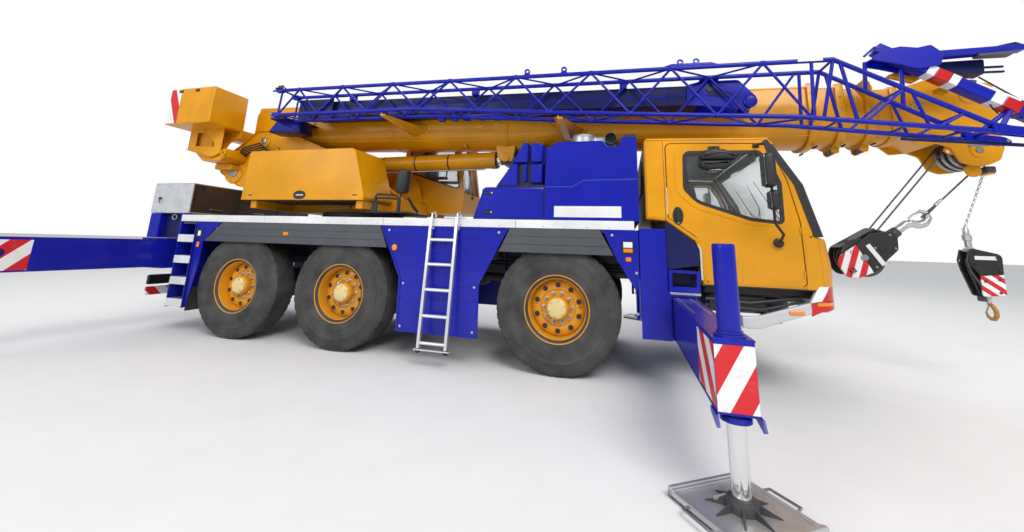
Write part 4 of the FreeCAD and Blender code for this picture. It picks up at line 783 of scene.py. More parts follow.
panels = Build("side_panels_pressed", "carrier", ["side_panels"], "blue_paint")
SKIRT = [(-2.205, DECK_TOP), (-1.897, 0.927), (-1.881, 0.321), (-0.872, 0.32), (-0.875, 0.903),
    (-0.545, DECK_TOP)]
FORE = [(0.5, DECK_TOP), (0.646, 1.228), (0.828, 0.923), (0.828, 0.64), (0.866, 0.64), (0.866, DECK_TOP)]
AFT = [(-5.2, DECK_TOP), (-5.16, 0.38), (-5.06, 0.927), (-5.041, 1.268), (-4.765, DECK_TOP)]
HEM = 0.026
for out in (-1, 1):
    for shape in (SKIRT, FORE, AFT):
        side_plate(panels, out, shape, (1.25, PANEL_FACE), BLUE)
        rim = drawn_in(shape, HEM, 0.25)
        # raised hem: a strip along each edge
        for i in range(len(shape)):
            j = (i + 1) % len(shape)
            quad = [shape[i], shape[j], rim[j], rim[i]]
            side_plate(panels, out, quad, (1.256, 1.2685), BLUE)
    # pressed level ribs of the middle skirt
    for z in (0.52, 0.7, 0.88, 1.06, 1.24, 1.4):
        left = -1.86 if z < 0.93 else -1.86 - (z - 0.93) * 0.507
        right = -0.895 if z < 0.91 else -0.895 + (z - 0.91) * 0.52
        rib(panels, out, (left, z), (right, z), 1.2615, 0.0045, BLUE)
    # a round filler cap, marker lamps and their sockets
    cap = (ax(-1.99), out * PANEL_FACE, 1.27)
    panels.lathe(cap, (0, out, 0), [(0.036, 0), (0.036, 0.005), (0.03, 0.0068), (0, 0.0075)], AMBER, 20)
    panels.lathe(cap, (0, out, 0), [(0.044, 0), (0.044, 0.003), (0.037, 0.004)], BLACK, 20)
    side_box(panels, out, (0.7, 0.82), (PANEL_FACE, TRIM_FACE), (1.29, 1.425), BLACK, 0.004)
    for z0, z1, lens in ((1.352, 1.413, CLEAR), (1.302, 1.346, AMBER)):
        side_box(panels, out, (0.712, 0.808), (1.264, 1.27), (z0, z1), lens, 0.003)
    for x0, x1, z0, z1 in ((0.735, 0.79, 1.213, 1.254), (-5.16, -5.11, 1.18, 1.25)):
        side_box(panels, out, (x0, x1), (PANEL_FACE, TRIM_FACE), (z0, z1), AMBER, 0.003)
    # stays behind
    for x in (-1.4, 0.76, -5.08):
        panels.box((ax(x) - 0.025, ax(x) + 0.025), (out * 0.4, out * 1.252), (1.38, 1.43), FRAME, 0.004)
    # quarter-turn locks at the corners
    for x, z in ((-1.83, 0.38), (-0.93, 0.38), (-1.83, 0.86), (-0.93, 0.86), (-2.08, 1.48), (-0.66, 1.48),
                 (0.84, 0.7), (0.84, 1.1), (0.6, 1.48)):
        panels.lathe((ax(x), out * 1.2685, z), (0, out, 0), [(0.014, -0.004), (0.014, 0.001),
            (0.004, 0.0014), (0, 0.0005)], GALV, 12)
panels.done()

guards = Build("mudguards_moulded", "carrier", ["fenders"], "mudguard_plastic")
for out in (-1, 1):
    for upper0, upper1, low0, low1 in ((-4.745, -2.215, -5.026, -2.096), (-0.53, 0.47, -0.66, 0.612)):

        def edge(z):
            t = (DECK_TOP - z) / 0.267
            return upper0 + (low0 - upper0) * t, upper1 + (low1 - upper1) * t

        def moulding(z0, z1, gap):
            a0, a1 = edge(z0)
            b0, b1 = edge(z1)
            return [(a0 + gap, z0), (a1 - gap, z0), (b1 - gap, z1), (b0 + gap, z1)]

        # the band in three mouldings with grooves between them
        for z0, z1, face in ((1.268, 1.352, 1.269), (1.358, 1.44, 1.2675), (1.446, 1.535, 1.266)):
            side_plate(guards, out, moulding(z0, z1, 0.002), (1.252, face), GREY_DARK)
        side_plate(guards, out, moulding(1.27, 1.533, 0.004), (1.248, PANEL_FACE), GREY_DARK)
        # rolled lower lip
        a0, a1 = edge(1.272)
        rib(guards, out, (a0 + 0.01, 1.272), (a1 - 0.01, 1.272), 1.2615, 0.0075, BLACK)
        # roof over the tyres and the inner drop
        guards.box((ax(upper0 + 0.02), ax(upper1 - 0.02)), (out * 0.41, out * 1.25), (1.441, 1.451), BLACK,
            0.003)
        for x in (upper0 + 0.05, (upper0 + upper1) / 2, upper1 - 0.05):
            guards.tube([(ax(x), out * 0.405, 1.446), (ax(x), out * 1.2, 1.446)], 0.014, FRAME, 8)
    # a marker lamp on the rear band
    side_box(guards, out, (-3.68, -3.6), (1.264, 1.2695), (1.376, 1.42), AMBER, 0.003)
guards.done()

steps = Build("ladders_steps_locker", "carrier", ["ladders_and_locker"], "bright_aluminium")
for out in (-1, 1):
    for x0, x1 in ((-5.552, -5.534), (-5.262, -5.246)):
        side_plate(steps, out, [(x0, 1.6), (x0, 0.345), (x1, 0.345), (x1, 1.6)], (1.03, 1.25), BLUE)
    # a near-black blue plate behind the rungs: painted shade at the back of the ladder
    side_plate(steps, out, [(-5.54, 1.6), (-5.54, 0.36), (-5.255, 0.36), (-5.255, 1.6)], (1.025, 1.035), SHADE_AND_SEAM_BLUE)
    for z in (0.358, 0.652, 0.946, 1.24):
        side_box(steps, out, (-5.545, -5.25), (1.035, 1.262), (z, z + 0.105), WHITE, 0.006)
        for k in range(5):
            x = -5.535 + 0.057 * (k + 0.5)
            side_box(steps, out, (x - 0.018, x + 0.018), (1.05, 1.252), (z + 0.1045, z + 0.1085), STEEL,
                0.001)
    # mud flap behind the last wheel and the square lamp recess
    side_box(steps, out, (-5.245, -5.225), (0.62, 1.2), (0.3, 0.62), RUBBER, 0.004)
    side_box(steps, out, (-5.205, -5.085), (1.262, 1.2715), (1.3, 1.43), BLACK, 0.006)
    side_box(steps, out, (-5.16, -5.11), (1.27, 1.2745), (1.335, 1.405), CLEAR, 0.006)
STILES = (-1.497, -1.168)
LADDER_TOP, LADDER_FOOT = 1.64, 0.175


def on_ladder(x, z):
    """A spot on the hung ladder, whose feet stand out from the side."""
    return (ax(x), -1.3 - 0.115 * (LADDER_TOP - z) / 1.46, z)


# the hung aluminium ladder: stiles with hooks and feet, then rungs
for x in STILES:
    top, foot = on_ladder(x, LADDER_TOP), on_ladder(x, LADDER_FOOT)
    steps.hexa([(end[0] + dx, end[1] + dy, end[2]) for end in (top, foot)
                for dx, dy in ((-0.016, -0.024), (0.016, -0.024), (0.016, 0.02), (-0.016, 0.02))], ALU)
    steps.tube([(ax(x), -1.3, 1.6), (ax(x), -1.3, 1.685), (ax(x), -1.27, 1.698), (ax(x), -1.2, 1.69),
        (ax(x), -1.19, 1.65)], 0.013, ALU, 10)
    steps.box((foot[0] - 0.022, foot[0] + 0.022), (foot[1] - 0.032, foot[1] + 0.026), (0.16, 0.205), BLACK,
        0.004)
for z in (0.255, 0.535, 0.815, 1.095, 1.375):
    a, c = [Vector(on_ladder(x, z)) for x in STILES]
    steps.rod(a, c, 0.017, ALU, 16)
    steps.box((a.x, c.x), (a.y - 0.018, a.y + 0.018), (z + 0.008, z + 0.019), ALU, 0.003)
for x in STILES:
    steps.box((ax(x) - 0.03, ax(x) + 0.03), (-1.3, -1.262), (1.5, 1.525), GALV, 0.004)
steps.box((ax(-1.54), ax(-1.12)), (-1.452, -1.395), (0.185, 0.2), ALU, 0.004)
# the locker across the tail: bright tread-plate ends, a front painted dark brown as shade and as the yellow's
# reflection, trims and latches
steps.box((ax(-6.28), ax(-5.52)), (-1.19, 1.19), (1.666, 2.104), LOCKER_FRONT_SHADE, 0.01)
steps.box((ax(-6.29), ax(-5.51)), (-1.2, 1.2), (2.095, 2.109), PLATE, 0.004)
steps.box((ax(-6.29), ax(-5.51)), (-1.2, 1.2), (1.656, 1.676), ALU, 0.004)
for out in (-1, 1):
    steps.box((ax(-6.284), ax(-5.517)), (out * 1.189, out * 1.1985), (1.672, 2.098), SHEET)
    for x in (-6.286, -5.524):
        steps.box((ax(x), ax(x + 0.012)), (out * 1.18, out * 1.2), (1.66, 2.104), ALU, 0.003)
    side_box(steps, out, (-6.165, -6.115), (1.197, 1.215), (1.86, 1.895), BLACK, 0.004)
    steps.tube([(ax(-6.13), out * 1.212, 1.865), (ax(-6.12), out * 1.222, 1.83),
        (ax(-6.125), out * 1.212, 1.8)], 0.006, BLACK, 8)
    steps.lathe((ax(-5.505), out * 1.05, 2.05), (1, 0, 0), [(0.03, 0), (0.03, 0.006), (0.02, 0.01),
        (0, 0.01)], BLACK, 16)
for y in (-1.15, -0.42, 0.42, 1.15):
    steps.box((ax(-5.524), ax(-5.512)), (y - 0.012, y + 0.012), (1.672, 2.098), BLACK, 0.002)
for y in (-0.79, 0.0, 0.79):
    steps.tube([(ax(-5.521), y - 0.1, 1.74), (ax(-5.495), y - 0.09, 1.74), (ax(-5.495), y + 0.09, 1.74),
        (ax(-5.521), y + 0.1, 1.74)], 0.006, STEEL, 8)
steps.done()


# Bonnet, intakes, exhaust

hood = Build("bonnet_pressed", "carrier", ["hood"], "blue_paint")
low = rounded([(-1.025, 1.63), (-0.9, 2.02), (-0.15, 2.02), (-0.15, 1.63)], [0, 0.05, 0, 0])
tall = rounded([(-0.15, 1.63), (-0.15, 2.04), (-0.134, 2.24), (-0.1, 2.44), (-0.05, 2.52), (-0.008, 2.545),
    (0.51, 2.545), (0.535, 2.52), (0.575, 2.468), (0.668, 2.466), (0.712, 2.515), (0.716, 2.58),
    (0.885, 2.577), (0.889, 1.63)], [0, 0.06, 0.1, 0.06, 0.03, 0.03, 0.02, 0.02, 0.02, 0.02, 0.02, 0.012,
    0.014, 0])
soft_block(hood, "xz", carriage(low), -1.198, 1.198, BLUE, 0.03)
soft_block(hood, "xz", carriage(tall), -1.2, 1.2, BLUE, 0.006, 2)
for out in (-1, 1):
    # the stepped swage over the side, with the lower field standing proud
    field = [(-0.14, 1.64), (-0.14, 2.008), (0.17, 2.008), (0.29, 2.078), (0.879, 2.09), (0.879, 1.64)]
    soft_block(hood, "xz", carriage(rounded(field, [0, 0.01, 0.04, 0.04, 0.01, 0])), out * 1.19,
        out * 1.2085, BLUE, 0.008, 2)
    back = [(-0.99, 1.64), (-0.885, 1.985), (-0.165, 1.985), (-0.165, 1.64)]
    soft_block(hood, "xz", carriage(rounded(back, [0, 0.03, 0.01, 0])), out * 1.19, out * 1.2055, BLUE,
        0.006, 2)
    # the step before the tall part, a light blue rod along the lower field's edge as a painted highlight, the
    # rear seam
    side_box(hood, out, (-0.156, -0.148), (1.19, 1.2062), (1.64, 2.01), BLACK)
    edge = [(-0.14, 2.012), (0.172, 2.012), (0.292, 2.083), (0.876, 2.093)]
    for (x0, z0), (x1, z1) in zip(edge, edge[1:]):
        hood.rod((ax(x0), out * 1.2065, z0), (ax(x1), out * 1.2065, z1), 0.0045, HIGHLIGHT_BLUE, 8)
    side_box(hood, out, (-0.908, -0.902), (1.19, 1.2062), (1.64, 1.99), SHADE_AND_SEAM_BLUE)
    # lever latches, their recesses painted near-black blue as shade
    for x, z in ((-0.82, 1.945), (-0.82, 1.715)):
        top = 1.2055
        side_box(hood, out, (x - 0.055, x + 0.055), (top - 0.006, top + 0.0012), (z - 0.028, z + 0.028),
            SHADE_AND_SEAM_BLUE, 0.002)
        side_box(hood, out, (x - 0.046, x + 0.03), (top - 0.004, top + 0.008), (z - 0.012, z + 0.014),
            BLACK, 0.004)
        hood.lathe((ax(x + 0.034), out * top, z), (0, out, 0), [(0.012, -0.002), (0.012, 0.006),
            (0, 0.007)], GALV, 12)
    # the bare plate's place: a plain raised field in the paint
    if out < 0:
        side_box(hood, out, (-0.036, 0.702), (1.2075, 1.2105), (1.668, 1.792), WHITE, 0.002)
    # cooling grille on the other side of the tall part
    if out > 0:
        for k in range(14):
            z = 2.14 + k * 0.026
            side_box(hood, out, (0.05, 0.75), (1.2, 1.21), (z, z + 0.012), SHADE_AND_SEAM_BLUE, 0.002)
    # hinges along the top edge
    for x in (0.07, 0.42):
        hood.rod((ax(x) - 0.05, out * 1.165, 2.541), (ax(x) + 0.05, out * 1.165, 2.541), 0.011, BLUE, 10)
# top: ribs, handles, a seam and the grille over the radiator
for x in (0.1, 0.45):
    hood.box((ax(x) - 0.02, ax(x) + 0.02), (-1.05, 1.05), (2.543, 2.55), BLUE, 0.003)
for k in range(16):
    y = 0.25 + 0.045 * k
    hood.box((ax(0.02), ax(0.5)), (y, y + 0.018), (2.543, 2.556), BLACK, 0.002)
for y in (-0.6, 0.6):
    hood.tube([(ax(-0.85), y - 0.07, 2.018), (ax(-0.85), y - 0.07, 2.05), (ax(-0.85), y + 0.07, 2.05),
        (ax(-0.85), y + 0.07, 2.018)], 0.008, BLACK, 8)
hood.box((ax(-0.86), ax(-0.19)), (-0.9, 0.9), (2.0185, 2.0235), SHADE_AND_SEAM_BLUE, 0.002)
# the low black box by the exhaust at the front edge
hood.box((ax(0.748), ax(0.88)), (-1.17, -0.92), (2.57, 2.616), BLACK, 0.008)
# louvres on the rear end wall
for k in range(9):
    z = 2.09 + k * 0.045
    x = -0.136 + max(z - 2.23, (z - 2.23) * 0.5) * 0.17
    hood.box((ax(x - 0.014), ax(x + 0.012)), (-0.05, 0.85), (z, z + 0.022), SHADE_AND_SEAM_BLUE, 0.002)
hood.done()

intakes = Build("air_intakes", "carrier", ["intakes"], "blue_paint")
lower = rounded([(-0.748, 2.03), (-0.553, 2.303), (-0.484, 2.303), (-0.478, 2.03)], [0.01, 0.015, 0.01, 0])
upper = rounded([(-0.553, 2.315), (-0.428, 2.545), (-0.4, 2.56), (-0.362, 2.562), (-0.358, 2.315)],
    [0.012, 0.02, 0.02, 0.015, 0.01])
soft_block(intakes, "xz", carriage(lower), -1.178, -0.9, BLUE, 0.016)
soft_block(intakes, "xz", carriage(upper), -1.178, -0.9, BLUE, 0.016)
# the two stacked columns, rounded at their corners, and the set-back box by the bonnet
for z0, z1 in ((2.06, 2.3), (2.312, 2.555)):
    shape = rounded([(-0.33, z0), (-0.33, z1), (-0.18, z1 - 0.004), (-0.18, z0)], [0.03, 0.04, 0.04, 0.03])
    soft_block(intakes, "xz", carriage(shape), -1.186, -0.93, BLUE, 0.03)
soft_block(intakes, "xz",
    carriage(rounded([(-0.422, 2.08), (-0.422, 2.296), (-0.374, 2.296), (-0.374, 2.08)], [0.015] * 4)),
    -1.176, -0.95, BLUE, 0.014, 2)
soft_block(intakes, "xz", carriage(rounded([(-0.196, 2.03), (-0.196, 2.525), (-0.1, 2.505), (-0.1, 2.03)],
    [0.01, 0.03, 0.03, 0.01])), -1.12, -0.93, BLUE, 0.01, 2)
intakes.box((ax(-0.49), ax(-0.16)), (-1.12, -0.94), (2.02, 2.3), BLACK, 0.004)
intakes.box((ax(-0.375), ax(-0.16)), (-1.13, -0.94), (2.29, 2.52), SHADE_AND_SEAM_BLUE, 0.004)
soft_block(intakes, "xz",
    carriage(rounded([(-0.748, 2.015), (-0.748, 2.04), (-0.155, 2.04), (-0.155, 2.015)],
    [0, 0.01, 0.01, 0])), -1.165, -0.92, BLACK, 0.008, 2)
# dark intake screens to the rear of the wedge and a plastic bellows inwards
for k in range(6):
    z = 2.07 + 0.05 * k
    x = -0.735 + (z - 2.018) * 0.587
    intakes.box((ax(x) - 0.006, ax(x) + 0.006), (-1.13, -0.94), (z, z + 0.024), BLACK, 0.002)
intakes.lathe((ax(-0.29), -0.93, 2.3), (0, 1, 0), [(0.06, 0), (0.07, 0.015), (0.06, 0.03), (0.07, 0.045),
    (0.06, 0.06), (0.07, 0.075), (0.06, 0.09), (0.06, 0.16)], BLACK, 24)
intakes.tube([(ax(-0.29), -0.78, 2.3), (ax(-0.29), -0.7, 2.26), (ax(-0.27), -0.68, 2.15),
    (ax(-0.27), -0.68, 2.02)], 0.058, BLACK, 16)
intakes.done()

STACK_X, STACK_Y = ax(0.274), -0.88
pipe = Build("exhaust_stack", "carrier", ["exhaust"], "steel")
pipe.lathe((STACK_X, STACK_Y, 2.545), (0, 0, 1), [(0.155, 0), (0.155, 0.012), (0.146, 0.016), (0.146, 0.1),
    (0.15, 0.103), (0.15, 0.112), (0.144, 0.116), (0.135, 0.138), (0.11, 0.143), (0, 0.143)], GALV, 40)
for k in range(12):
    a = 2 * math.pi * k / 12
    pipe.lathe((STACK_X + 0.125 * math.cos(a), STACK_Y + 0.125 * math.sin(a), 2.682), (0, 0, 1),
        [(0.007, 0), (0.007, 0.007), (0, 0.008)], STEEL, 6, smooth=False)
# the curved tailpipe that looks forward and to the side
pipe.tube([(ax(0.38), -0.88, 2.612), (ax(0.46), -0.88, 2.61), (ax(0.52), -0.895, 2.604),
    (ax(0.565), -0.93, 2.598), (ax(0.595), -0.98, 2.59), (ax(0.606), -1.06, 2.585)], 0.062, GALV, 20,
    caps=False)
mouth = (ax(0.606), -1.02, 2.587)
pipe.lathe(mouth, (0, -1, 0), [(0.064, 0), (0.069, 0.0), (0.07, 0.11), (0.064, 0.11), (0.062, 0.0)], IRON, 32)
pipe.lathe(mouth, (0, -1, 0), [(0.063, 0.02), (0, 0.02)], BLACK, 32)
pipe.lathe((ax(0.4), -0.88, 2.612), (1, 0, 0), [(0.066, 0.0), (0.069, 0.012), (0.066, 0.024),
    (0.06, 0.024)], GALV, 24)
pipe.box((ax(0.56), ax(0.66)), (-1.1, -1.04), (2.466, 2.525), IRON, 0.003)
pipe.done()

motor = Build("engine_block", "carrier", ["engine"], "engine_iron")
motor.box((ax(-0.06), ax(0.78)), (-0.36, 0.36), (1.63, 2.34), IRON, 0.02)
motor.box((ax(-0.76), ax(-0.06)), (-0.23, 0.23), (1.63, 1.96), IRON, 0.02)
motor.done()


# Driver's cab

CAB = [(0.956, 1.657), (0.956, 2.5), (0.983, 2.545), (2.17, 2.51), (2.232, 2.372), (2.428, 2.017),
    (2.55, 1.51), (2.654, 1.492), (2.692, 1.196), (2.68, 1.005), (1.473, 1.005), (1.451, 1.361),
    (1.418, 1.44), (1.151, 1.638)]
CAB_HALF = 1.24
DOOR = [(1.176, 1.672), (1.176, 2.475), (2.128, 2.44), (2.196, 2.33), (2.296, 2.06), (2.37, 1.65),
    (2.37, 1.04), (1.502, 1.04), (1.48, 1.385), (1.436, 1.48)]
WINDOW = [(1.369, 2.362), (2.071, 2.349), (2.18, 2.16), (2.225, 2.028), (2.218, 1.64), (1.953, 1.672),
    (1.47, 1.845), (1.355, 1.979)]

# the front's reach at each height, then where the rounded corner begins and ends
FRONT = [(0.6, 2.65), (1.005, 2.668), (1.196, 2.692), (1.492, 2.654), (1.512, 2.545)]
SIDE_END, FLAT_END = 2.455, 0.86


def corner(out, s, z, grow=0.0):
    """A spot on the rounded front corner at height z: s from 0 at the side to 1 at the front."""
    reach = FRONT[-1][1]
    for (z0, x0), (z1, x1) in zip(FRONT, FRONT[1:]):
        if z <= z1:
            reach = x0 + (x1 - x0) * max(0.0, (z - z0) / (z1 - z0))
            break
    if s < 0:
        return (ax(SIDE_END + 0.1 * s), out * (CAB_HALF + grow), z)
    a = s * math.pi / 2
    x = SIDE_END + (reach + grow - SIDE_END) * math.sin(a)
    y = FLAT_END + (CAB_HALF + grow - FLAT_END) * math.cos(a)
    return (ax(x), out * y, z)


def corner_patch(b, out, spots, mat, low, high, cuts=(14, 4)):
    """A curved sheet on the corner between four (s, z) spots, from one depth to another."""
    (s0, z0), (s1, z1), (s2, z2), (s3, z3) = spots
    across, up = cuts
    grids = []
    for grow in (low, high):
        rows = []
        for j in range(up + 1):
            v = j / up
            row = []
            for i in range(across + 1):
                u = i / across
                s = (s0 + (s1 - s0) * u) * (1 - v) + (s3 + (s2 - s3) * u) * v
                z = (z0 + (z1 - z0) * u) * (1 - v) + (z3 + (z2 - z3) * u) * v
                row.append(corner(out, s, z, grow))
            rows.append(b.put(row))
        grids.append(rows)
    inner, outer = grids
    lists = []
    for rows in (inner, outer):
        lists += [[rows[j][i], rows[j][i + 1], rows[j + 1][i + 1], rows[j + 1][i]] for j in range(up)
            for i in range(across)]
    for j in (0, up):
        lists += [[inner[j][i], inner[j][i + 1], outer[j][i + 1], outer[j][i]] for i in range(across)]
    for i in (0, across):
        lists += [[inner[j][i], inner[j + 1][i], outer[j + 1][i], outer[j][i]] for j in range(up)]
    slot = b.index(mat)
    for corners in lists:
        face = b.mesh.faces.new(corners)
        face.material_index = slot
        face.smooth = True


cab = Build("cab_shell_pressed", "carrier", ["cab_shell"], "yellow_paint")
outline = carriage(CAB)
flank = carriage(CAB[:6] + [(2.545, 1.512), (SIDE_END, 1.5), (SIDE_END, 1.005)] + CAB[10:])
steps_in = [(0.04, 1.24), (0.016, 1.234), (0.004, 1.222), (0.0, 1.2)]
DOOR_EDGE = rounded(DOOR, [0.03, 0.06, 0.05, 0.03, 0.05, 0.05, 0.05, 0.05, 0.05, 0.05])
FRONT_BANDS = ((1.005, 1.196), (1.196, 1.492), (1.492, 1.512))
opening = carriage(drawn_in(DOOR_EDGE, -0.006))
for out in (-1, 1):
    cab.panel("xz", drawn_in(flank, 0.04), [opening], out * 1.212, out * 1.24, YELLOW)
    for (in1, y1), (in2, y2) in zip(steps_in, steps_in[1:]):
        band(cab, "xz", drawn_in(flank, in1), drawn_in(flank, in2), out * y1, out * y2, YELLOW, skip=(7,))
    cab.box((ax(SIDE_END - 0.045), ax(SIDE_END + 0.001)), (out * 1.212, out * 1.2399), (1.012, 1.5), YELLOW)
    for z0, z1 in FRONT_BANDS:
        corner_patch(cab, out, ((0, z0), (1, z0), (1, z1), (0, z1)), YELLOW, -0.022, 0.0, (18, 3))
# the wrap over roof, front and floor, open at the windscreen (edges 4 and 5)
band(cab, "xz", outline, outline, -1.2, 1.2, YELLOW, False, skip=(3, 4, 5, 6, 7, 8, 9))
cab.box((ax(1.473), ax(SIDE_END)), (-1.2, 1.2), (1.005, 1.014), YELLOW)
cab.box((ax(SIDE_END), ax(2.66)), (-0.9, 0.9), (1.005, 1.014), YELLOW)
for z0, z1 in FRONT_BANDS:
    ends = [[corner(out, 1.0, z, grow) for z in (z0, z1)] for out in (-1, 1) for grow in (0.0, -0.02)]
    cab.hexa([ends[0][0], ends[2][0], ends[3][0], ends[1][0], ends[0][1], ends[2][1], ends[3][1],
        ends[1][1]], YELLOW)
lining = drawn_in(outline, 0.028)
band(cab, "xz", lining, lining, -1.205, 1.205, INSIDE, False, skip=(3, 4, 5, 6, 7, 8, 9))
for out in (-1, 1):
    cab.panel("xz", drawn_in(flank, 0.042), [opening], out * 1.196, out * 1.211, INSIDE)

# windscreen surround: pillars, header and cowl in black
face = [(2.17, 2.51), (2.232, 2.372), (2.428, 2.017), (2.55, 1.51)]


def on_face(s, y, proud=0.0):
    """A place on the windscreen's curve: s runs from the header down, y across."""
    lengths = [math.dist(face[i], face[i + 1]) for i in range(3)]
    total = sum(lengths)
    d = s * total
    for i in range(3):
        if d <= lengths[i] or i == 2:
            t = d / lengths[i]
            x = face[i][0] + (face[i + 1][0] - face[i][0]) * t
            z = face[i][1] + (face[i + 1][1] - face[i][1]) * t
            nx, nz = (face[i + 1][1] - face[i][1]), -(face[i + 1][0] - face[i][0])
            n = math.hypot(nx, nz)
            return (ax(x - nx / n * proud), y, z - nz / n * proud)
        d -= lengths[i]


def screen_strip(y0, y1, s0, s1, proud, mat, cuts=14):
    """A thin strip on the windscreen's curve."""
    rows = []
    for k in range(cuts + 1):
        s = s0 + (s1 - s0) * k / cuts
        rows.append([on_face(s, y, d) for y, d in ((y0, proud), (y1, proud), (y1, proud - 0.012),
            (y0, proud - 0.012))])
    flat = [p for row in rows for p in row]
    verts = cab.put(flat)
    lists = []
    for k in range(cuts):
        a, b2 = k * 4, (k + 1) * 4
        for i in range(4):
            j = (i + 1) % 4
            lists.append([a + i, a + j, b2 + j, b2 + i])
    lists += [[3, 2, 1, 0], [cuts * 4 + i for i in range(4)]]
    cab.faces(verts, lists, mat)


for y0, y1 in ((-1.205, -1.095), (1.095, 1.205)):
    screen_strip(y0, y1, 0.02, 1.0, 0.004, BLACK)
for s0, s1 in ((0.015, 0.1), (0.9, 1.0)):
    screen_strip(-1.1, 1.1, s0, s1, 0.004, BLACK, 4)
for out in (-1, 1):
    # dark trim that wraps round onto the side by the windscreen
    trim = [(2.172, 2.5), (2.236, 2.366), (2.43, 2.01), (2.548, 1.508), (2.468, 1.51), (2.352, 2.01),
        (2.17, 2.35), (2.11, 2.462)]
    side_plate(cab, out, trim, (1.236, 1.2435), BLACK)
    # drip rail over the door, the rear seam, the rear pillar's swage
    cab.tube([(ax(0.99), out * 1.238, 2.522), (ax(2.16), out * 1.238, 2.488), (ax(2.2), out * 1.238, 2.43)],
        0.011, YELLOW, 8)
    side_box(cab, out, (1.148, 1.153), (1.2395, 1.2408), (1.645, 2.5), BLACK)
    side_plate(cab, out, [(0.975, 1.68), (0.975, 2.49), (1.12, 2.486), (1.12, 1.68)], (1.238, 1.2425), YELLOW)
    # the sill's dark edge and the raised fields round the front corner
    side_plate(cab, out, [(1.478, 1.008), (1.478, 1.02), (2.455, 1.02), (2.455, 1.008)], (1.236, 1.2415),
        BLACK)
    corner_patch(cab, out, ((-0.85, 1.02), (0.0, 1.02), (0.0, 1.48), (-0.55, 1.56)), YELLOW, -0.004, 0.0022,
        (4, 4))
    corner_patch(cab, out, ((0.16, 1.035), (1.0, 1.045), (1.0, 1.47), (0.16, 1.475)), YELLOW, -0.004,
        0.0026, (14, 4))
    # light trim on the arch edge
    side_plate(cab, out, [(1.458, 1.06), (1.458, 1.352), (1.44, 1.405), (1.45, 1.412), (1.474, 1.356),
        (1.476, 1.06)], (1.236, 1.2435), ALU)
# front face below the windscreen: grille bars, sill, handles, wipers
for k in range(7):
    z = 1.1 + 0.042 * k
    cab.box((ax(2.676), ax(2.694)), (-0.62, 0.62), (z, z + 0.018), BLACK, 0.003)
cab.box((ax(2.62), ax(2.664)), (-0.9, 0.9), (1.425, 1.455), BLACK, 0.006)
for y in (-0.75, 0.75):
    cab.tube([(ax(2.665), y - 0.12, 1.35), (ax(2.71), y - 0.12, 1.352), (ax(2.71), y + 0.12, 1.352),
        (ax(2.665), y + 0.12, 1.35)], 0.009, BLACK, 8)
for y0, y1 in ((-0.75, -0.15), (0.1, 0.7), (0.85, 0.25)):
    a, c = on_face(0.96, y0, 0.02), on_face(0.62, y1, 0.012)
    cab.tube([a, on_face(0.9, y0 + (y1 - y0) * 0.1, 0.03), c], 0.007, BLACK, 8)
    m0, m1 = on_face(0.8, (y0 + y1) / 2 + (y1 - y0) * 0.25, 0.01), on_face(0.3, y1 + (y1 - y0) * 0.1, 0.01)
    cab.tube([m0, c, m1], 0.006, BLACK, 6)
    cab.lathe(a, (0.9, 0, 0.35), [(0.022, -0.015), (0.02, 0.012), (0, 0.014)], BLACK, 12)
# roof hatch with its lid
cab.box((ax(1.25), ax(1.8)), (-0.42, 0.42), (2.51, 2.545), YELLOW, 0.012)
cab.box((ax(1.28), ax(1.77)), (-0.39, 0.39), (2.52, 2.552), SHADE_AND_SEAM_BLUE, 0.01)
# rear wall window
cab.box((ax(0.95), ax(0.957)), (-0.62, 0.62), (2.02, 2.42), BLACK, 0.003)
cab.box((ax(0.948), ax(0.951)), (-0.57, 0.57), (2.06, 2.38), GLASS)
cab.done()

screen = Build("cab_windscreen", "carrier", ["cab_glass"], "window")
for depth in (-0.002, -0.008):
    verts = screen.put([on_face(0.06 + 0.9 * k / 16, y, depth) for k in range(17) for y in (-1.1, 1.1)])
    screen.faces(verts, [[2 * k, 2 * k + 1, 2 * k + 3, 2 * k + 2] for k in range(16)], GLASS, True)
screen.done()

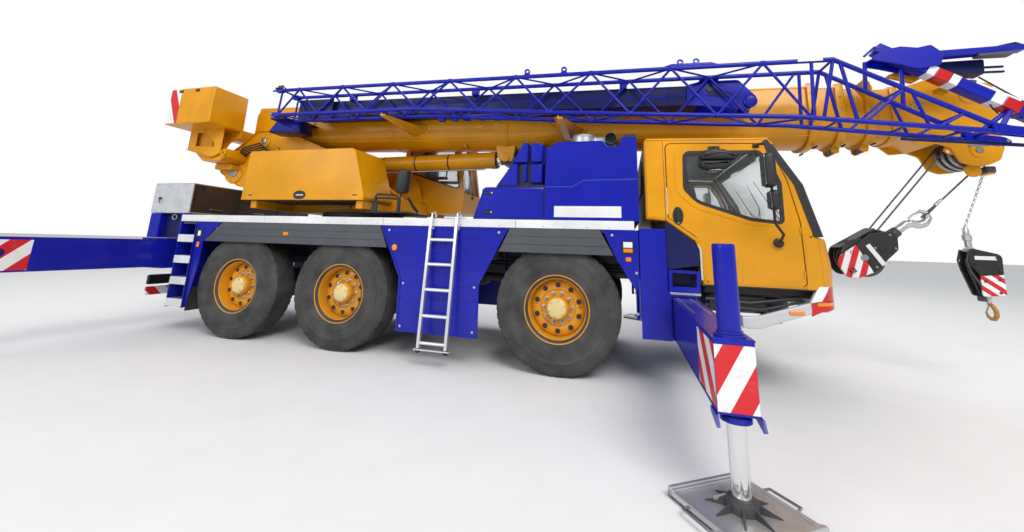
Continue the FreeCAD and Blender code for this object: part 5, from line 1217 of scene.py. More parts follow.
for hand, out in SIDES:
    door = Build("cab_door_%s_leaf" % hand, "cab_door_%s" % hand, ["cab_door_%s" % hand], "yellow_paint")
    shape = carriage(DOOR_EDGE)
    hole = carriage(rounded(WINDOW, [0.05, 0.04, 0.06, 0.05, 0.03, 0.2, 0.22, 0.08], 6))
    door.panel("xz", drawn_in(shape, 0.004), [hole], out * 1.2145, out * 1.2385, YELLOW)
    # a raised pressing round the window
    ring = carriage(rounded([(1.27, 2.42), (2.1, 2.392), (2.19, 2.25), (2.272, 2.03), (2.275, 1.6),
        (1.95, 1.61), (1.44, 1.775), (1.262, 1.95)], [0.06, 0.05, 0.05, 0.05, 0.04, 0.2, 0.25, 0.1], 6))
    door.panel("xz", ring, [drawn_in(hole, -0.01)], out * 1.236, out * 1.2435, YELLOW)
    # black rubber round the pane, and the pane
    door.panel("xz", drawn_in(hole, -0.022), [drawn_in(hole, 0.012)], out * 1.22, out * 1.2465, BLACK)
    door.panel("xz", drawn_in(hole, 0.004), [], out * 1.2245, out * 1.2285, GLASS)
    # trim on the inside
    door.panel("xz", drawn_in(shape, 0.04), [drawn_in(hole, -0.03)], out * 1.199, out * 1.2135, INSIDE)
    # oval handle recess, the pull and the lock
    soft_block(door, "xz", carriage(oval(1.271, 1.695, 0.052, 0.094, 24)), out * 1.236, out * 1.2475, BLACK,
        0.004, 2)
    soft_block(door, "xz", carriage(oval(1.271, 1.7, 0.022, 0.07, 20)), out * 1.247, out * 1.266, BLACK,
        0.008, 2)
    door.lathe((ax(1.271), out * 1.247, 1.622), (0, out, 0), [(0.011, 0), (0.011, 0.003), (0, 0.003)],
        STEEL, 12)
    # hinges on the leading edge
    for z in (1.13, 1.54):
        door.rod((ax(2.362), out * 1.2395, z), (ax(2.362), out * 1.2395, z + 0.06), 0.0095, YELLOW, 14)
    # mirror arm with its foot, and the main and wide angle heads
    arm_y = out * 1.427
    bar = [(2.165, 1.245, 1.443), (2.172, 1.275, 1.45), (2.18, 1.36, 1.52), (2.098, 1.427, 1.62),
        (2.098, 1.427, 2.3), (2.08, 1.42, 2.39), (2.06, 1.33, 2.415), (2.05, 1.242, 2.415)]
    door.tube([(ax(x), out * y, z) for x, y, z in bar], 0.013, BLACK, 12)
    door.lathe((ax(2.165), out * 1.24, 1.443), (0, out, 0), [(0.04, 0), (0.046, 0.012), (0.04, 0.034),
        (0.022, 0.044), (0, 0.046)], BLACK, 24)
    door.box((ax(2.02), ax(2.08)), (out * 1.24, out * 1.256), (2.395, 2.435), BLACK, 0.005)
    for x0, x1, z0, z1, deep in ((2.012, 2.118, 1.955, 2.283, 0.17), (2.045, 2.135, 1.742, 1.928, 0.15)):
        y0 = 1.392
        head = rounded([(y0, z0), (y0, z1), (y0 + deep, z1), (y0 + deep, z0)], 0.04, 5)
        soft_block(door, "yz", mirrored(out, head), ax(x0 + 0.01), ax(x1), BLACK, 0.035, 4)
        door.prism("yz", mirrored(out, drawn_in(head, 0.014)), ax(x0 + 0.008), ax(x0 + 0.0105), CHROME)
        door.box((ax(2.085), ax(2.111)), (arm_y - 0.02, arm_y + 0.02),
            ((z0 + z1) / 2 - 0.03, (z0 + z1) / 2 + 0.03), BLACK, 0.004)
    # the kerb mirror over the right door
    if out < 0:
        cap = [(1.495, 2.248), (1.487, 2.29), (1.52, 2.338), (1.6, 2.362), (1.715, 2.35), (1.815, 2.298),
            (1.832, 2.262), (1.8, 2.246)]
        soft_block(door, "xz", carriage(rounded(cap, 0.02, 3)), out * 1.285, out * 1.455, BLACK, 0.035, 4)
        bowl = [(1.478, 2.25), (1.482, 2.175), (1.56, 2.142), (1.7, 2.146), (1.765, 2.18), (1.785, 2.25)]
        soft_block(door, "xz", carriage(rounded(bowl, 0.03, 3)), out * 1.3, out * 1.44, BLACK, 0.045, 4)
        door.lathe((ax(1.63), out * 1.37, 2.1435), (0, 0, -1), [(0.075, 0), (0.07, 0.006), (0.04, 0.011),
            (0, 0.013)], CHROME, 28)
        door.tube([(ax(1.655), out * 1.242, 2.405), (ax(1.655), out * 1.28, 2.405),
            (ax(1.655), out * 1.33, 2.385), (ax(1.655), out * 1.345, 2.345)], 0.017, BLACK, 12)
        door.box((ax(1.6), ax(1.71)), (out * 1.238, out * 1.256), (2.375, 2.425), BLACK, 0.006)
    door.done()

room = Build("cab_interior", "carrier", ["cab_fittings"], "interior_plastic")
for y in (-0.64, 0.64):
    room.box((ax(1.64), ax(1.96)), (y - 0.15, y + 0.15), (1.035, 1.4), BLACK, 0.02)
    for k in range(4):
        room.box((ax(1.63), ax(1.97)), (y - 0.16, y + 0.16), (1.1 + 0.06 * k, 1.13 + 0.06 * k), INSIDE, 0.01)
    soft_block(room, "xz",
        carriage(rounded([(1.56, 1.41), (1.56, 1.5), (2.04, 1.52), (2.06, 1.44), (2.0, 1.41)], 0.03)),
        y - 0.24, y + 0.24, CLOTH, 0.04)
    soft_block(room, "xz",
        carriage(rounded([(1.5, 1.47), (1.61, 1.47), (1.5, 2.1), (1.43, 2.12), (1.4, 2.08)], 0.03)),
        y - 0.235, y + 0.235, CLOTH, 0.04)
    soft_block(room, "xz", carriage(rounded([(1.4, 2.13), (1.48, 2.13), (1.455, 2.27), (1.4, 2.28)],
        0.025)), y - 0.13, y + 0.13, CLOTH, 0.03)
    for dy in (-0.27, 0.27):
        soft_block(room, "xz", carriage(rounded([(1.55, 1.68), (1.55, 1.72), (1.86, 1.72), (1.86, 1.68)],
            0.018)), y + dy - 0.03, y + dy + 0.03, BLACK, 0.015)
    room.tube([(ax(1.42), y + 0.21, 2.05), (ax(1.55), y + 0.2, 1.9), (ax(1.62), y - 0.2, 1.55)], 0.01,
        BLACK, 6)
dash = rounded([(2.4, 1.035), (2.6, 1.035), (2.6, 1.425), (2.5, 1.455), (2.44, 1.53), (2.33, 1.53),
    (2.31, 1.48), (2.4, 1.3)], [0, 0, 0.02, 0.03, 0.03, 0.02, 0.02, 0.05])
soft_block(room, "xz", carriage(dash), -1.16, 1.16, INSIDE, 0.03)
soft_block(room, "xz", carriage(rounded([(2.32, 1.52), (2.4, 1.6), (2.47, 1.585), (2.47, 1.5)], 0.02)),
    0.42, 0.88, BLACK, 0.02)
room.box((ax(2.3155), ax(2.33)), (-0.12, 0.25), (1.36, 1.5), GLASS, 0.004)
# steering wheel: rim, hub, three spokes and the column
tilt = math.radians(25)
axis = Vector((-math.sin(tilt), 0, math.cos(tilt)))
hub = Vector((ax(2.19), 0.64, 1.65))
room.lathe(hub, axis, oval(0.215, 0, 0.014, 0.014, 12), BLACK, 48, closed=True)
room.lathe(hub - axis * 0.04, axis, [(0.055, 0), (0.06, 0.02), (0.05, 0.035), (0, 0.04)], BLACK, 24)
for a in (90, 210, 330):
    turn = math.radians(a)
    d = Vector((math.cos(tilt) * math.cos(turn), math.sin(turn), math.sin(tilt) * math.cos(turn)))
    room.tube([hub - axis * 0.02 + d * 0.04, hub + d * 0.21], 0.012, BLACK, 8)
room.tube([hub - axis * 0.03, hub - axis * 0.33], 0.035, BLACK, 14)
# floor mat, pedals, centre console and visors
room.box((ax(1.5), ax(2.58)), (-1.18, 1.18), (1.03, 1.04), RUBBER, 0.003)
for y in (0.5, 0.64, 0.8):
    room.box((ax(2.36), ax(2.385)), (y - 0.035, y + 0.035), (1.14, 1.22), BLACK, 0.006)
    room.tube([(ax(2.375), y, 1.2), (ax(2.42), y, 1.35)], 0.008, STEEL, 6)
soft_block(room, "xz", carriage(rounded([(1.6, 1.04), (1.6, 1.36), (2.2, 1.4), (2.33, 1.46), (2.36, 1.04)],
    0.03)), -0.2, 0.2, INSIDE, 0.03)
room.tube([(ax(2.05), 0.05, 1.39), (ax(2.05), 0.05, 1.5)], 0.01, BLACK, 8)
room.lathe((ax(2.05), 0.05, 1.5), (0, 0, 1), [(0.012, 0), (0.026, 0.012), (0.026, 0.035), (0, 0.05)], BLACK,
    16)
for y in (-0.55, 0.55):
    room.box((ax(2.1), ax(2.15)), (y - 0.33, y + 0.33), (2.33, 2.43), INSIDE, 0.012)
room.done()

# front bumper with its lamp corners and tow lug, and the guard at the tail
bumper = Build("bumper_front_rear", "carrier", ["bumpers"], "light_grey_paint")
blade = [(1.795, 0.636), (1.795, 0.742), (1.943, 0.757), (2.38, 0.903), (2.394, 0.904), (2.394, 0.804),
    (2.383, 0.806), (1.942, 0.642)]
for out in (-1, 1):
    shape = rounded(blade, [0.015, 0.015, 0.06, 0.01, 0.005, 0.005, 0.01, 0.06])
    soft_block(bumper, "xz", carriage(shape), out * 1.195, out * 1.246, BUMPER, 0.01)
    bumper.box((ax(1.795), ax(1.83)), (out * 0.55, out * 1.2), (0.65, 0.735), FRAME, 0.006)
    # the lamp corner: white above, red round the bend, amber lamp set in the red
    corner_patch(bumper, out, ((-0.75, 0.785), (1.0, 0.88), (1.0, 0.93), (-0.76, 0.902)), REDLENS, -0.01,
        0.007, (20, 4))
    corner_patch(bumper, out, ((0.04, 0.922), (1.0, 0.93), (1.0, 1.045), (0.3, 1.052)), REDLENS, -0.035,
        0.006, (14, 4))
    corner_patch(bumper, out, ((-0.78, 0.902), (0.04, 0.922), (0.3, 1.052), (0.03, 1.054)), CLEAR, -0.035,
        0.008, (10, 4))
    corner_patch(bumper, out, ((-0.2, 0.876), (0.45, 0.888), (0.45, 0.916), (-0.24, 0.904)), AMBER, 0.002,
        0.009, (12, 2))
    lamp_end = rounded([(2.195, 0.786), (2.19, 0.822), (2.318, 0.83), (2.322, 0.793)], 0.012)
    soft_block(bumper, "xz", carriage(lamp_end), out * 1.24, out * 1.2575, AMBER, 0.006, 2)
front = [(2.55, 0.79), (2.55, 1.003), (2.665, 1.003), (2.69, 0.9), (2.67, 0.78)]
soft_block(bumper, "xz", carriage(rounded(front, 0.02)), -0.875, 0.875, BUMPER, 0.01)
for out in (-1, 1):
    # twin headlamps in black bezels
    soft_block(bumper, "yz", mirrored(out, rounded([(0.46, 0.8), (0.46, 0.97), (0.86, 0.97), (0.86, 0.8)],
        0.03)), ax(2.64), ax(2.694), BLACK, 0.008)
    for y in (0.555, 0.765):
        lamp = (ax(2.686), out * y, 0.885)
        bumper.lathe(lamp, (1, 0, 0), [(0.076, 0), (0.076, 0.014), (0.069, 0.018)], GALV, 32)
        bumper.lathe(lamp, (1, 0, 0), [(0.069, 0.016), (0.06, 0.021), (0.03, 0.025), (0, 0.026)], CLEAR, 32)
    bumper.tube([(ax(2.12), out * 1.22, 0.72), (ax(2.12), out * 0.6, 0.72)], 0.022, FRAME, 10)
soft_block(bumper, "xz",
    carriage(rounded([(2.6, 0.79), (2.6, 0.93), (2.75, 0.93), (2.79, 0.89), (2.79, 0.83), (2.75, 0.79)],
    0.01)), -0.022, 0.022, BUMPER, 0.004, 2)
bumper.lathe((ax(2.735), -0.0225, 0.86), (0, 1, 0), [(0.028, 0), (0.0252, 0.0), (0.0252, 0.045),
    (0.028, 0.045)], SHADE_AND_SEAM_BLUE, 28)
# plate's plain holder, grille bars
bumper.box((ax(2.672), ax(2.684)), (-0.27, 0.27), (0.8, 0.85), BLACK, 0.003)
for k in range(4):
    z = 0.8 + 0.042 * k
    bumper.box((ax(2.668), ax(2.684)), (-0.4, 0.4), (z, z + 0.018), BLACK, 0.003)
# guard at the tail with its hangers, stripes and lamps
bumper.box((ax(-6.15), ax(-6.11)), (-1.15, 1.15), (0.45, 0.57), STRIPE_ACROSS, 0.006)
for out in (-1, 1):
    bumper.box((ax(-6.16), ax(-6.1)), (out * 0.67, out * 0.73), (0.56, 0.86), FRAME, 0.004)
    soft_block(bumper, "yz", mirrored(out, rounded([(0.8, 0.6), (0.8, 0.74), (1.14, 0.74), (1.14, 0.6)],
        0.02)), ax(-6.165), ax(-6.12), BLACK, 0.008)
    for y, lens in ((0.86, REDLENS), (0.97, AMBER), (1.07, CLEAR)):
        bumper.lathe((ax(-6.165), out * y, 0.67), (-1, 0, 0), [(0.045, 0), (0.045, 0.008), (0.03, 0.012),
            (0, 0.013)], lens, 24)
bumper.done()

# dark pieces under the cab, put there as painted shade: a black box, dark rails, hoses and a tank
under = Build("cab_underside_painted_shade", "carrier", [], "frame_paint")
under.box((ax(1.5), ax(2.5)), (-1.1, 1.1), (0.925, 1.003), BLACK, 0.01)
for out in (-1, 1):
    under.box((ax(1.48), ax(2.4)), (out * 0.52, out * 0.62), (0.7, 0.93), FRAME, 0.008)
    under.box((ax(1.52), ax(2.05)), (out * 0.72, out * 1.12), (0.78, 0.93), BLACK, 0.02)
    under.tube([(ax(1.5), out * 1.13, 0.88), (ax(1.9), out * 1.14, 0.86), (ax(2.35), out * 1.12, 0.93)],
        0.018, HOSE, 8)
    under.tube([(ax(1.5), out * 1.1, 0.82), (ax(2.0), out * 1.13, 0.8), (ax(2.38), out * 1.1, 0.9)], 0.014,
        HOSE, 8)
    under.lathe((ax(2.18), out * 0.95, 0.9), (0, 0, -1), [(0.1, 0), (0.1, 0.12), (0.07, 0.15), (0, 0.15)],
        FRAME, 24)
under.done()


# Carrier frame, outrigger boxes, beams and jacks

chassis = Build("chassis_frame", "carrier", ["frame"], "frame_paint")
x_tail, x_nose = ax(-5.732), ax(1.33)
for out in (-1, 1):
    chassis.box((x_tail, x_nose), (out * 0.384, out * 0.4), (0.98, 1.5), FRAME, 0.004)
    for x in (-5.2, -3.9, -3.35, -2.1, -1.5, -0.8, 0.75, 1.15):
        chassis.box((ax(x) - 0.008, ax(x) + 0.008), (out * 0.4, out * 0.47), (1.0, 1.49), FRAME, 0.002)
    # pipes and hoses along the frame's side, air tanks under the deck
    for k, (y, z) in enumerate(((0.425, 1.08), (0.425, 1.12), (0.43, 1.16))):
        chassis.tube([(ax(-5.0), out * y, z), (ax(-3.0), out * y, z + 0.02), (ax(-0.5), out * y, z),
            (ax(0.8), out * y, z - 0.03)], 0.012, HOSE, 8)
    for x in (-1.75, -1.05):
        chassis.lathe((ax(x) - 0.3, out * 0.8, 1.28), (1, 0, 0), [(0, 0), (0.09, 0.012), (0.118, 0.05),
            (0.12, 0.07), (0.12, 0.53), (0.118, 0.55), (0.09, 0.588), (0, 0.6)], BLACK, 28)
        for dx in (-0.18, 0.18):
            chassis.lathe((ax(x) + dx - 0.015, out * 0.8, 1.28), (1, 0, 0), [(0.1205, 0), (0.124, 0.002),
                (0.124, 0.028), (0.1205, 0.03)], GALV, 28)
            chassis.box((ax(x) + dx - 0.015, ax(x) + dx + 0.015), (out * 0.78, out * 0.82), (1.39, 1.505),
                FRAME)
chassis.box((x_tail, x_nose), (-0.39, 0.39), (1.484, 1.5), FRAME, 0.003)
chassis.box((x_tail, x_nose), (-0.39, 0.39), (0.98, 0.996), FRAME, 0.003)
chassis.lathe((ax(-3.35), 0, 1.498), (0, 0, 1), [(0.62, 0), (0.62, 0.142), (0.56, 0.142), (0.56, 0)], IRON,
    64, closed=True)
for k in range(36):
    a = 2 * math.pi * k / 36
    chassis.lathe((ax(-3.35) + 0.59 * math.cos(a), 0.59 * math.sin(a), 1.64), (0, 0, 1),
        [(0.014, -0.002), (0.014, 0.0005)], STEEL, 6, smooth=False)
# drive shafts and a transfer box between the axles
chassis.tube([(ax(-0.35), 0, 0.86), (ax(-1.2), 0, 0.9)], 0.055, IRON, 16)
chassis.box((ax(-1.6), ax(-1.2)), (-0.22, 0.22), (0.78, 1.0), IRON, 0.03)
chassis.tube([(ax(-1.6), 0, 0.88), (ax(-2.45), 0, 0.8)], 0.055, IRON, 16)
chassis.tube([(ax(-3.05), 0, 0.78), (ax(-4.12), 0, 0.78)], 0.05, IRON, 16)
chassis.done()


def plate_with_slots(b, x, z0, z1, slots, y0, y1, mat):
    outer = [(x[0], z0), (x[1], z0), (x[1], z1), (x[0], z1)]
    holes = [[(a, c), (d, c), (d, e), (a, e)] for a, d, c, e in slots]
    b.panel("xz", outer, holes, y0, y1, mat)


boxes = Build("outrigger_boxes_welded", "carrier", ["outrigger_boxes"], "blue_paint")
FRONT_R, FRONT_L = ax(1.278), ax(1.041)
REAR_R, REAR_L = ax(-5.865), ax(-6.102)
half_slot = 0.1025 + 0.008
for right_x, left_x, lift, colour in ((FRONT_R, FRONT_L, 0.0, BLUE), (REAR_R, REAR_L, 0.38, BLUE)):
    lo, hi = 0.476 + lift, 0.904 + lift
    s0, s1 = 0.492 + lift, 0.888 + lift
    xa, xb = left_x - half_slot - 0.016, right_x + half_slot + 0.016
    boxes.box((xa, xb), (-1.262, 1.262), (hi - 0.016, hi), colour, 0.003)
    boxes.box((xa, xb), (-1.262, 1.262), (lo, lo + 0.016), colour, 0.003)
    boxes.box((xa, xa + 0.016), (-1.262, 1.262), (s0, s1), colour, 0.002)
    boxes.box((xb - 0.016, xb), (-1.262, 1.262), (s0, s1), colour, 0.002)
    mid = (left_x + right_x) / 2
    boxes.box((mid - 0.007, mid + 0.007), (-1.262, 1.262), (s0, s1), colour)
    for out in (-1, 1):
        slots = [(left_x - half_slot, left_x + half_slot, s0, s1),
            (right_x - half_slot, right_x + half_slot, s0, s1)]
        plate_with_slots(boxes, (xa, xb), lo, hi, slots, out * 1.258, out * 1.27, colour)
        # collars round each mouth and welded gussets
        for c in (left_x, right_x):
            boxes.box((c - half_slot - 0.001, c + half_slot + 0.001), (out * 1.235, out * 1.262),
                (s1, s1 + 0.01), colour, 0.002)
        for k in range(3):
            y = 0.25 + 0.36 * k
            boxes.box((xa - 0.008, xa), (out * y, out * (y + 0.012)), (lo + 0.03, hi - 0.03), colour)
            boxes.box((xb, xb + 0.008), (out * y, out * (y + 0.012)), (lo + 0.03, hi - 0.03), colour)
# front uprights: blue covers from the box up to the deck, and the low rails forward
for out in (-1, 1):
    boxes.box((ax(0.872), ax(1.138)), (out * 0.945, out * 1.2685), (0.903, 1.556), BLUE, 0.012)
    boxes.box((ax(0.876), ax(1.134)), (out * 1.2675, out * 1.2715), (0.92, 1.545), BLUE, 0.003)
    for x, z in ((0.9, 0.95), (1.11, 0.95), (0.9, 1.51), (1.11, 1.51)):
        boxes.lathe((ax(x), out * 1.27, z), (0, out, 0), [(0.011, -0.002), (0.011, 0.001), (0, 0.0015)],
            GALV, 12)
    # dark fairing that follows the cab's rear lower edge, with the blue step box in it
    fair = [(1.142, 1.64), (1.41, 1.432), (1.446, 1.352), (1.452, 1.2), (1.142, 1.15)]
    boxes.prism("xz", carriage(fair), out * 1.1, out * 1.232, SHADE_AND_SEAM_BLUE)
    step = [(1.15, 1.148), (1.45, 1.14), (1.44, 0.93), (1.15, 0.93)]
    boxes.panel("xz", carriage(step),
        [carriage([(1.185, 1.12), (1.415, 1.115), (1.408, 0.985), (1.185, 0.985)])], out * 1.205,
        out * 1.245, BLUE)
    boxes.box((ax(1.15), ax(1.445)), (out * 1.03, out * 1.243), (0.905, 0.935), PLATE, 0.004)
    boxes.box((ax(1.15), ax(1.445)), (out * 1.02, out * 1.035), (0.93, 1.15), SHADE_AND_SEAM_BLUE)
    boxes.box((ax(1.423), ax(2.44)), (out * 0.28, out * 0.38), (0.822, 1.003), FRAME, 0.006)
boxes.box((FRONT_L - half_slot - 0.016, FRONT_R + half_slot + 0.016), (-0.4, 0.4), (0.903, 0.979), FRAME,
    0.004)
# plates that close the mouths which have no beam on their side
boxes.box((ax(0.876), ax(1.158)), (-1.276, -1.2698), (0.47, 0.925), BLUE, 0.003)
boxes.box((ax(1.164), ax(1.4)), (1.2698, 1.276), (0.47, 0.925), BLUE, 0.003)
# rear: blue box under the locker with a recess painted near-black blue as shade, its ring, and the tow jaw
for out in (-1, 1):
    boxes.box((ax(-6.262), ax(-6.055)), (out * 0.7, out * 1.205), (1.29, 1.652), BLUE, 0.008)
    boxes.box((ax(-6.055), ax(-5.6)), (out * 0.7, out * 1.12), (1.29, 1.65), SHADE_AND_SEAM_BLUE, 0.004)
    boxes.box((ax(-5.64), ax(-5.56)), (out * 0.9, out * 1.205), (1.29, 1.65), BLUE, 0.004)
    ring = [(0.036 + 0.008 * math.cos(t), 0.008 * math.sin(t)) for t in [2 * math.pi * k / 10
        for k in range(10)]]
    boxes.lathe((ax(-5.84), out * 1.15, 1.6), (0.2, out, 0), ring, STEEL, 24, closed=True)

end = REAR_L - half_slot - 0.016
soft_block(boxes, "xz", rounded([(end + 0.001, 0.976), (end - 0.07, 0.976), (end - 0.11, 1.01),
    (end - 0.11, 1.082), (end - 0.07, 1.116), (end + 0.001, 1.116)], 0.01), -0.025, 0.025, FRAME, 0.004, 2)
boxes.lathe((end - 0.06, -0.0255, 1.046), (0, 1, 0), [(0.029, 0), (0.0252, 0), (0.0252, 0.051),
    (0.029, 0.051)], STEEL, 24)
for y in (-0.75, -0.25, 0.25, 0.75):
    boxes.box((end - 0.006, end), (y - 0.16, y + 0.16), (0.93, 1.2), BLUE, 0.004)
boxes.done()

BEAMS = (("front", "right", -1, FRONT_R, 0.0), ("front", "left", 1, FRONT_L, 0.0),
    ("rear", "right", -1, REAR_R, 0.38), ("rear", "left", 1, REAR_L, 0.38))
for which, hand, out, x, lift in BEAMS:
    beam = Build("outrigger_beam_%s_%s_box" % (which, hand), "beam_%s_%s" % (which, hand),
        ["outrigger_beam_%s_%s" % (which, hand)], "blue_paint")
    lo, hi, hw = 0.5 + lift, 0.88 + lift, 0.1025
    y0, y1, ys = 0.85, 3.18, 2.66
    sec = rounded([(x - hw, lo), (x - hw, hi), (x + hw, hi), (x + hw, lo)], 0.014, 3)

    def run(a, c, mat, grow=0.0):
        line = drawn_in(sec, -grow) if grow else sec
        verts = beam.put([(u, out * a, v) for u, v in line] + [(u, out * c, v) for u, v in line])
        n = len(line)
        beam.faces(verts, [[i, (i + 1) % n, n + (i + 1) % n, n + i] for i in range(n)], mat, True)
        return verts, n
    run(y0, ys, BLUE)
    verts, n = run(ys, y1, BLUE)
    beam.faces(verts, [[n + i for i in range(n)]], BLUE)
    run(y0, y0 + 0.02, BLUE)
    verts, n = run(y0, y0 + 0.001, BLUE)
    beam.faces(verts, [list(range(n))], BLACK)
    # warning stripes on both side faces and across the end, as thin films
    for side in (-1, 1):
        beam.box((x + side * (hw - 0.002), x + side * (hw + 0.0012)), (out * ys, out * 3.165),
            (lo + 0.018, hi - 0.03), STRIPE_BEAM)
    beam.box((x - hw + 0.001, x + hw - 0.001), (out * 3.178, out * 3.1822), (lo + 0.012, hi - 0.032),
        STRIPE_END)
    # welded flanges: wider top plate and bottom plate
    beam.box((x - hw - 0.004, x + hw + 0.004), (out * (y0 + 0.3), out * 3.182), (hi - 0.012, hi + 0.001),
        BLUE, 0.002)
    beam.box((x - hw - 0.004, x + hw + 0.004), (out * (y0 + 0.3), out * 3.182), (lo - 0.001, lo + 0.012),
        BLUE, 0.002)
    # slide wear marks along the top
    for dx in (-0.06, 0.06):
        beam.box((x + dx - 0.012, x + dx + 0.012), (out * 1.0, out * 2.3), (hi + 0.0002, hi + 0.0016), STEEL)
    # jack tube: flange rings and cap
    jy = out * 3.1
    top = 1.39 + lift
    beam.lathe((x, jy, lo - 0.02), (0, 0, 1), [(0.05, 0), (0.062, 0.0), (0.062, 0.03),
        (0.062, top - lo - 0.02), (0.062, top - lo + 0.005), (0.058, top - lo + 0.018),
        (0.04, top - lo + 0.02), (0, top - lo + 0.02)], BLUE, 40)
    for z0, z1, r in ((lo - 0.045, lo - 0.016, 0.08), (hi + 0.001, hi + 0.016, 0.084),
            (hi + 0.016, hi + 0.032, 0.07)):
        ring = [(x + r * math.cos(a), jy + out * max(-0.0625, r * math.sin(a)))
            for a in [2 * math.pi * k / 40 for k in range(40)]]
        beam.prism("xy", ring, z0, z1, BLUE)
    # the lower keeper for the pad
    beam.prism("yz", [(out * 3.048, lo - 0.001), (out * 3.2, lo - 0.001), (out * 3.235, lo - 0.045),
        (out * 3.2, lo - 0.06), (out * 3.048, lo - 0.03)], x - 0.115, x - 0.103, BLUE)
    beam.prism("yz", [(out * 3.048, lo - 0.001), (out * 3.2, lo - 0.001), (out * 3.235, lo - 0.045),
        (out * 3.2, lo - 0.06), (out * 3.048, lo - 0.03)], x + 0.103, x + 0.115, BLUE)
    if which == "rear":
        # round opening in the side faces near the mouth, a black disc inside it as painted shade
        for side in (-1, 1):
            beam.lathe((x + side * (hw + 0.0012), out * 2.91, lo + 0.21), (side, 0, 0),
                [(0.044, 0), (0.044, 0.004), (0.036, 0.005), (0.034, 0.001)], BLUE, 24)
            beam.lathe((x + side * (hw + 0.0012), out * 2.91, lo + 0.21), (side, 0, 0),
                [(0.035, 0.0015), (0, 0.0015)], BLACK, 24)
    beam.done()

    jack = Build("jack_%s_%s_rod_pad" % (which, hand), "jack_%s_%s" % (which, hand),
        ["jack_%s_%s" % (which, hand)], "ram_chrome")
    jack.lathe((x, jy, 0.059), (0, 0, 1), [(0.048, 0), (0.048, 0.9 + lift), (0, 0.9 + lift)], CHROME, 36)
    turn = math.radians(35 * -out)

    def laid(px, py, pz):
        return (x + px * math.cos(turn) - py * math.sin(turn),
            jy + px * math.sin(turn) + py * math.cos(turn), pz)
    jack.shift = laid
    P = 0.26
    jack.box((-P, P), (-P, P), (0.002, 0.03), IRON, 0.006)
    jack.box((-P + 0.02, P - 0.02), (-P + 0.02, P - 0.02), (0.03, 0.036), PLATE, 0.002)
    for s in (-1, 1):
        jack.box((-P, P), (s * (P - 0.03), s * P), (0.0, 0.06), GALV, 0.006)
        jack.box((-P, P), (s * (P - 0.045), s * (P - 0.028)), (0.028, 0.052), GALV, 0.004)
        jack.box((s * (P - 0.022), s * P), (-P, P), (0.0, 0.048), GALV, 0.005)
    for a in range(8):
        t = 2 * math.pi * a / 8
        c, s = math.cos(t), math.sin(t)
        jack.hexa([(0.075 * c - 0.005 * s, 0.075 * s + 0.005 * c, 0.03),
            (0.075 * c + 0.005 * s, 0.075 * s - 0.005 * c, 0.03),
            (0.185 * c + 0.005 * s, 0.185 * s - 0.005 * c, 0.03),
            (0.185 * c - 0.005 * s, 0.185 * s + 0.005 * c, 0.03),
            (0.075 * c - 0.005 * s, 0.075 * s + 0.005 * c, 0.078),
            (0.075 * c + 0.005 * s, 0.075 * s - 0.005 * c, 0.078),
            (0.18 * c + 0.005 * s, 0.18 * s - 0.005 * c, 0.036),
            (0.18 * c - 0.005 * s, 0.18 * s + 0.005 * c, 0.036)], IRON)
    jack.shift = None
    jack.lathe((x, jy, 0.03), (0, 0, 1), [(0.08, 0), (0.08, 0.045), (0.074, 0.058), (0.056, 0.062),
        (0.05, 0.07), (0.048, 0.07)], IRON, 36)
    jack.shift = laid
    # carrying bow on the outer rail and a lock pin
    jack.tube([(P + 0.0, -0.1, 0.035), (P + 0.045, -0.09, 0.04), (P + 0.045, 0.09, 0.04),
        (P + 0.0, 0.1, 0.035)], 0.008, STEEL, 8)
    jack.tube([(-P - 0.0, -0.1, 0.035), (-P - 0.045, -0.09, 0.04), (-P - 0.045, 0.09, 0.04),
        (-P - 0.0, 0.1, 0.035)], 0.008, STEEL, 8)
    jack.tube([(-0.1, 0.085, 0.062), (0.1, 0.085, 0.062)], 0.01, GALV, 8)
    jack.tube([(0.1, 0.085, 0.062), (0.125, 0.085, 0.062), (0.125, 0.085, 0.095)], 0.006, STEEL, 8)
    jack.shift = None
    jack.done()


# Superstructure

UP = "superstructure"
CHEEK = [(-2.45, 1.76), (-2.45, 1.96), (-3.3, 2.52), (-4.7, 3.08), (-5.02, 3.12), (-5.33, 3.12),
    (-5.56, 2.93), (-6.0, 2.64), (-6.0, 2.43), (-5.56, 2.18), (-5.3, 2.15), (-4.4, 1.76)]

turn = Build("turntable_frame", UP, ["turntable"], "yellow_paint")
turn.lathe((ax(-3.35), 0, 1.64), (0, 0, 1), [(0.6, 0.003), (0.62, 0.003), (0.62, 0.105), (0.6, 0.105),
    (0.52, 0.105), (0.52, 0.003)], IRON, 72, closed=True)
turn.lathe((ax(-3.35), 0, 1.64), (0, 0, 1), [(0.6205, 0.03), (0.626, 0.032), (0.626, 0.052),
    (0.6205, 0.054)], BLACK, 72)
for k in range(40):
    a = 2 * math.pi * k / 40
    turn.lathe((ax(-3.35) + 0.57 * math.cos(a), 0.57 * math.sin(a), 1.8045), (0, 0, 1),
        [(0.015, 0), (0.015, 0.012), (0, 0.012)], STEEL, 6, smooth=False)
turn.box((ax(-4.4), ax(-2.45)), (-0.43, 0.43), (1.745, 1.805), YELLOW, 0.006)
outline = rounded(carriage(CHEEK), [0.02, 0.06, 0.3, 0.3, 0.1, 0.1, 0.2, 0.08, 0.08, 0.2, 0.12, 0.1], 5)
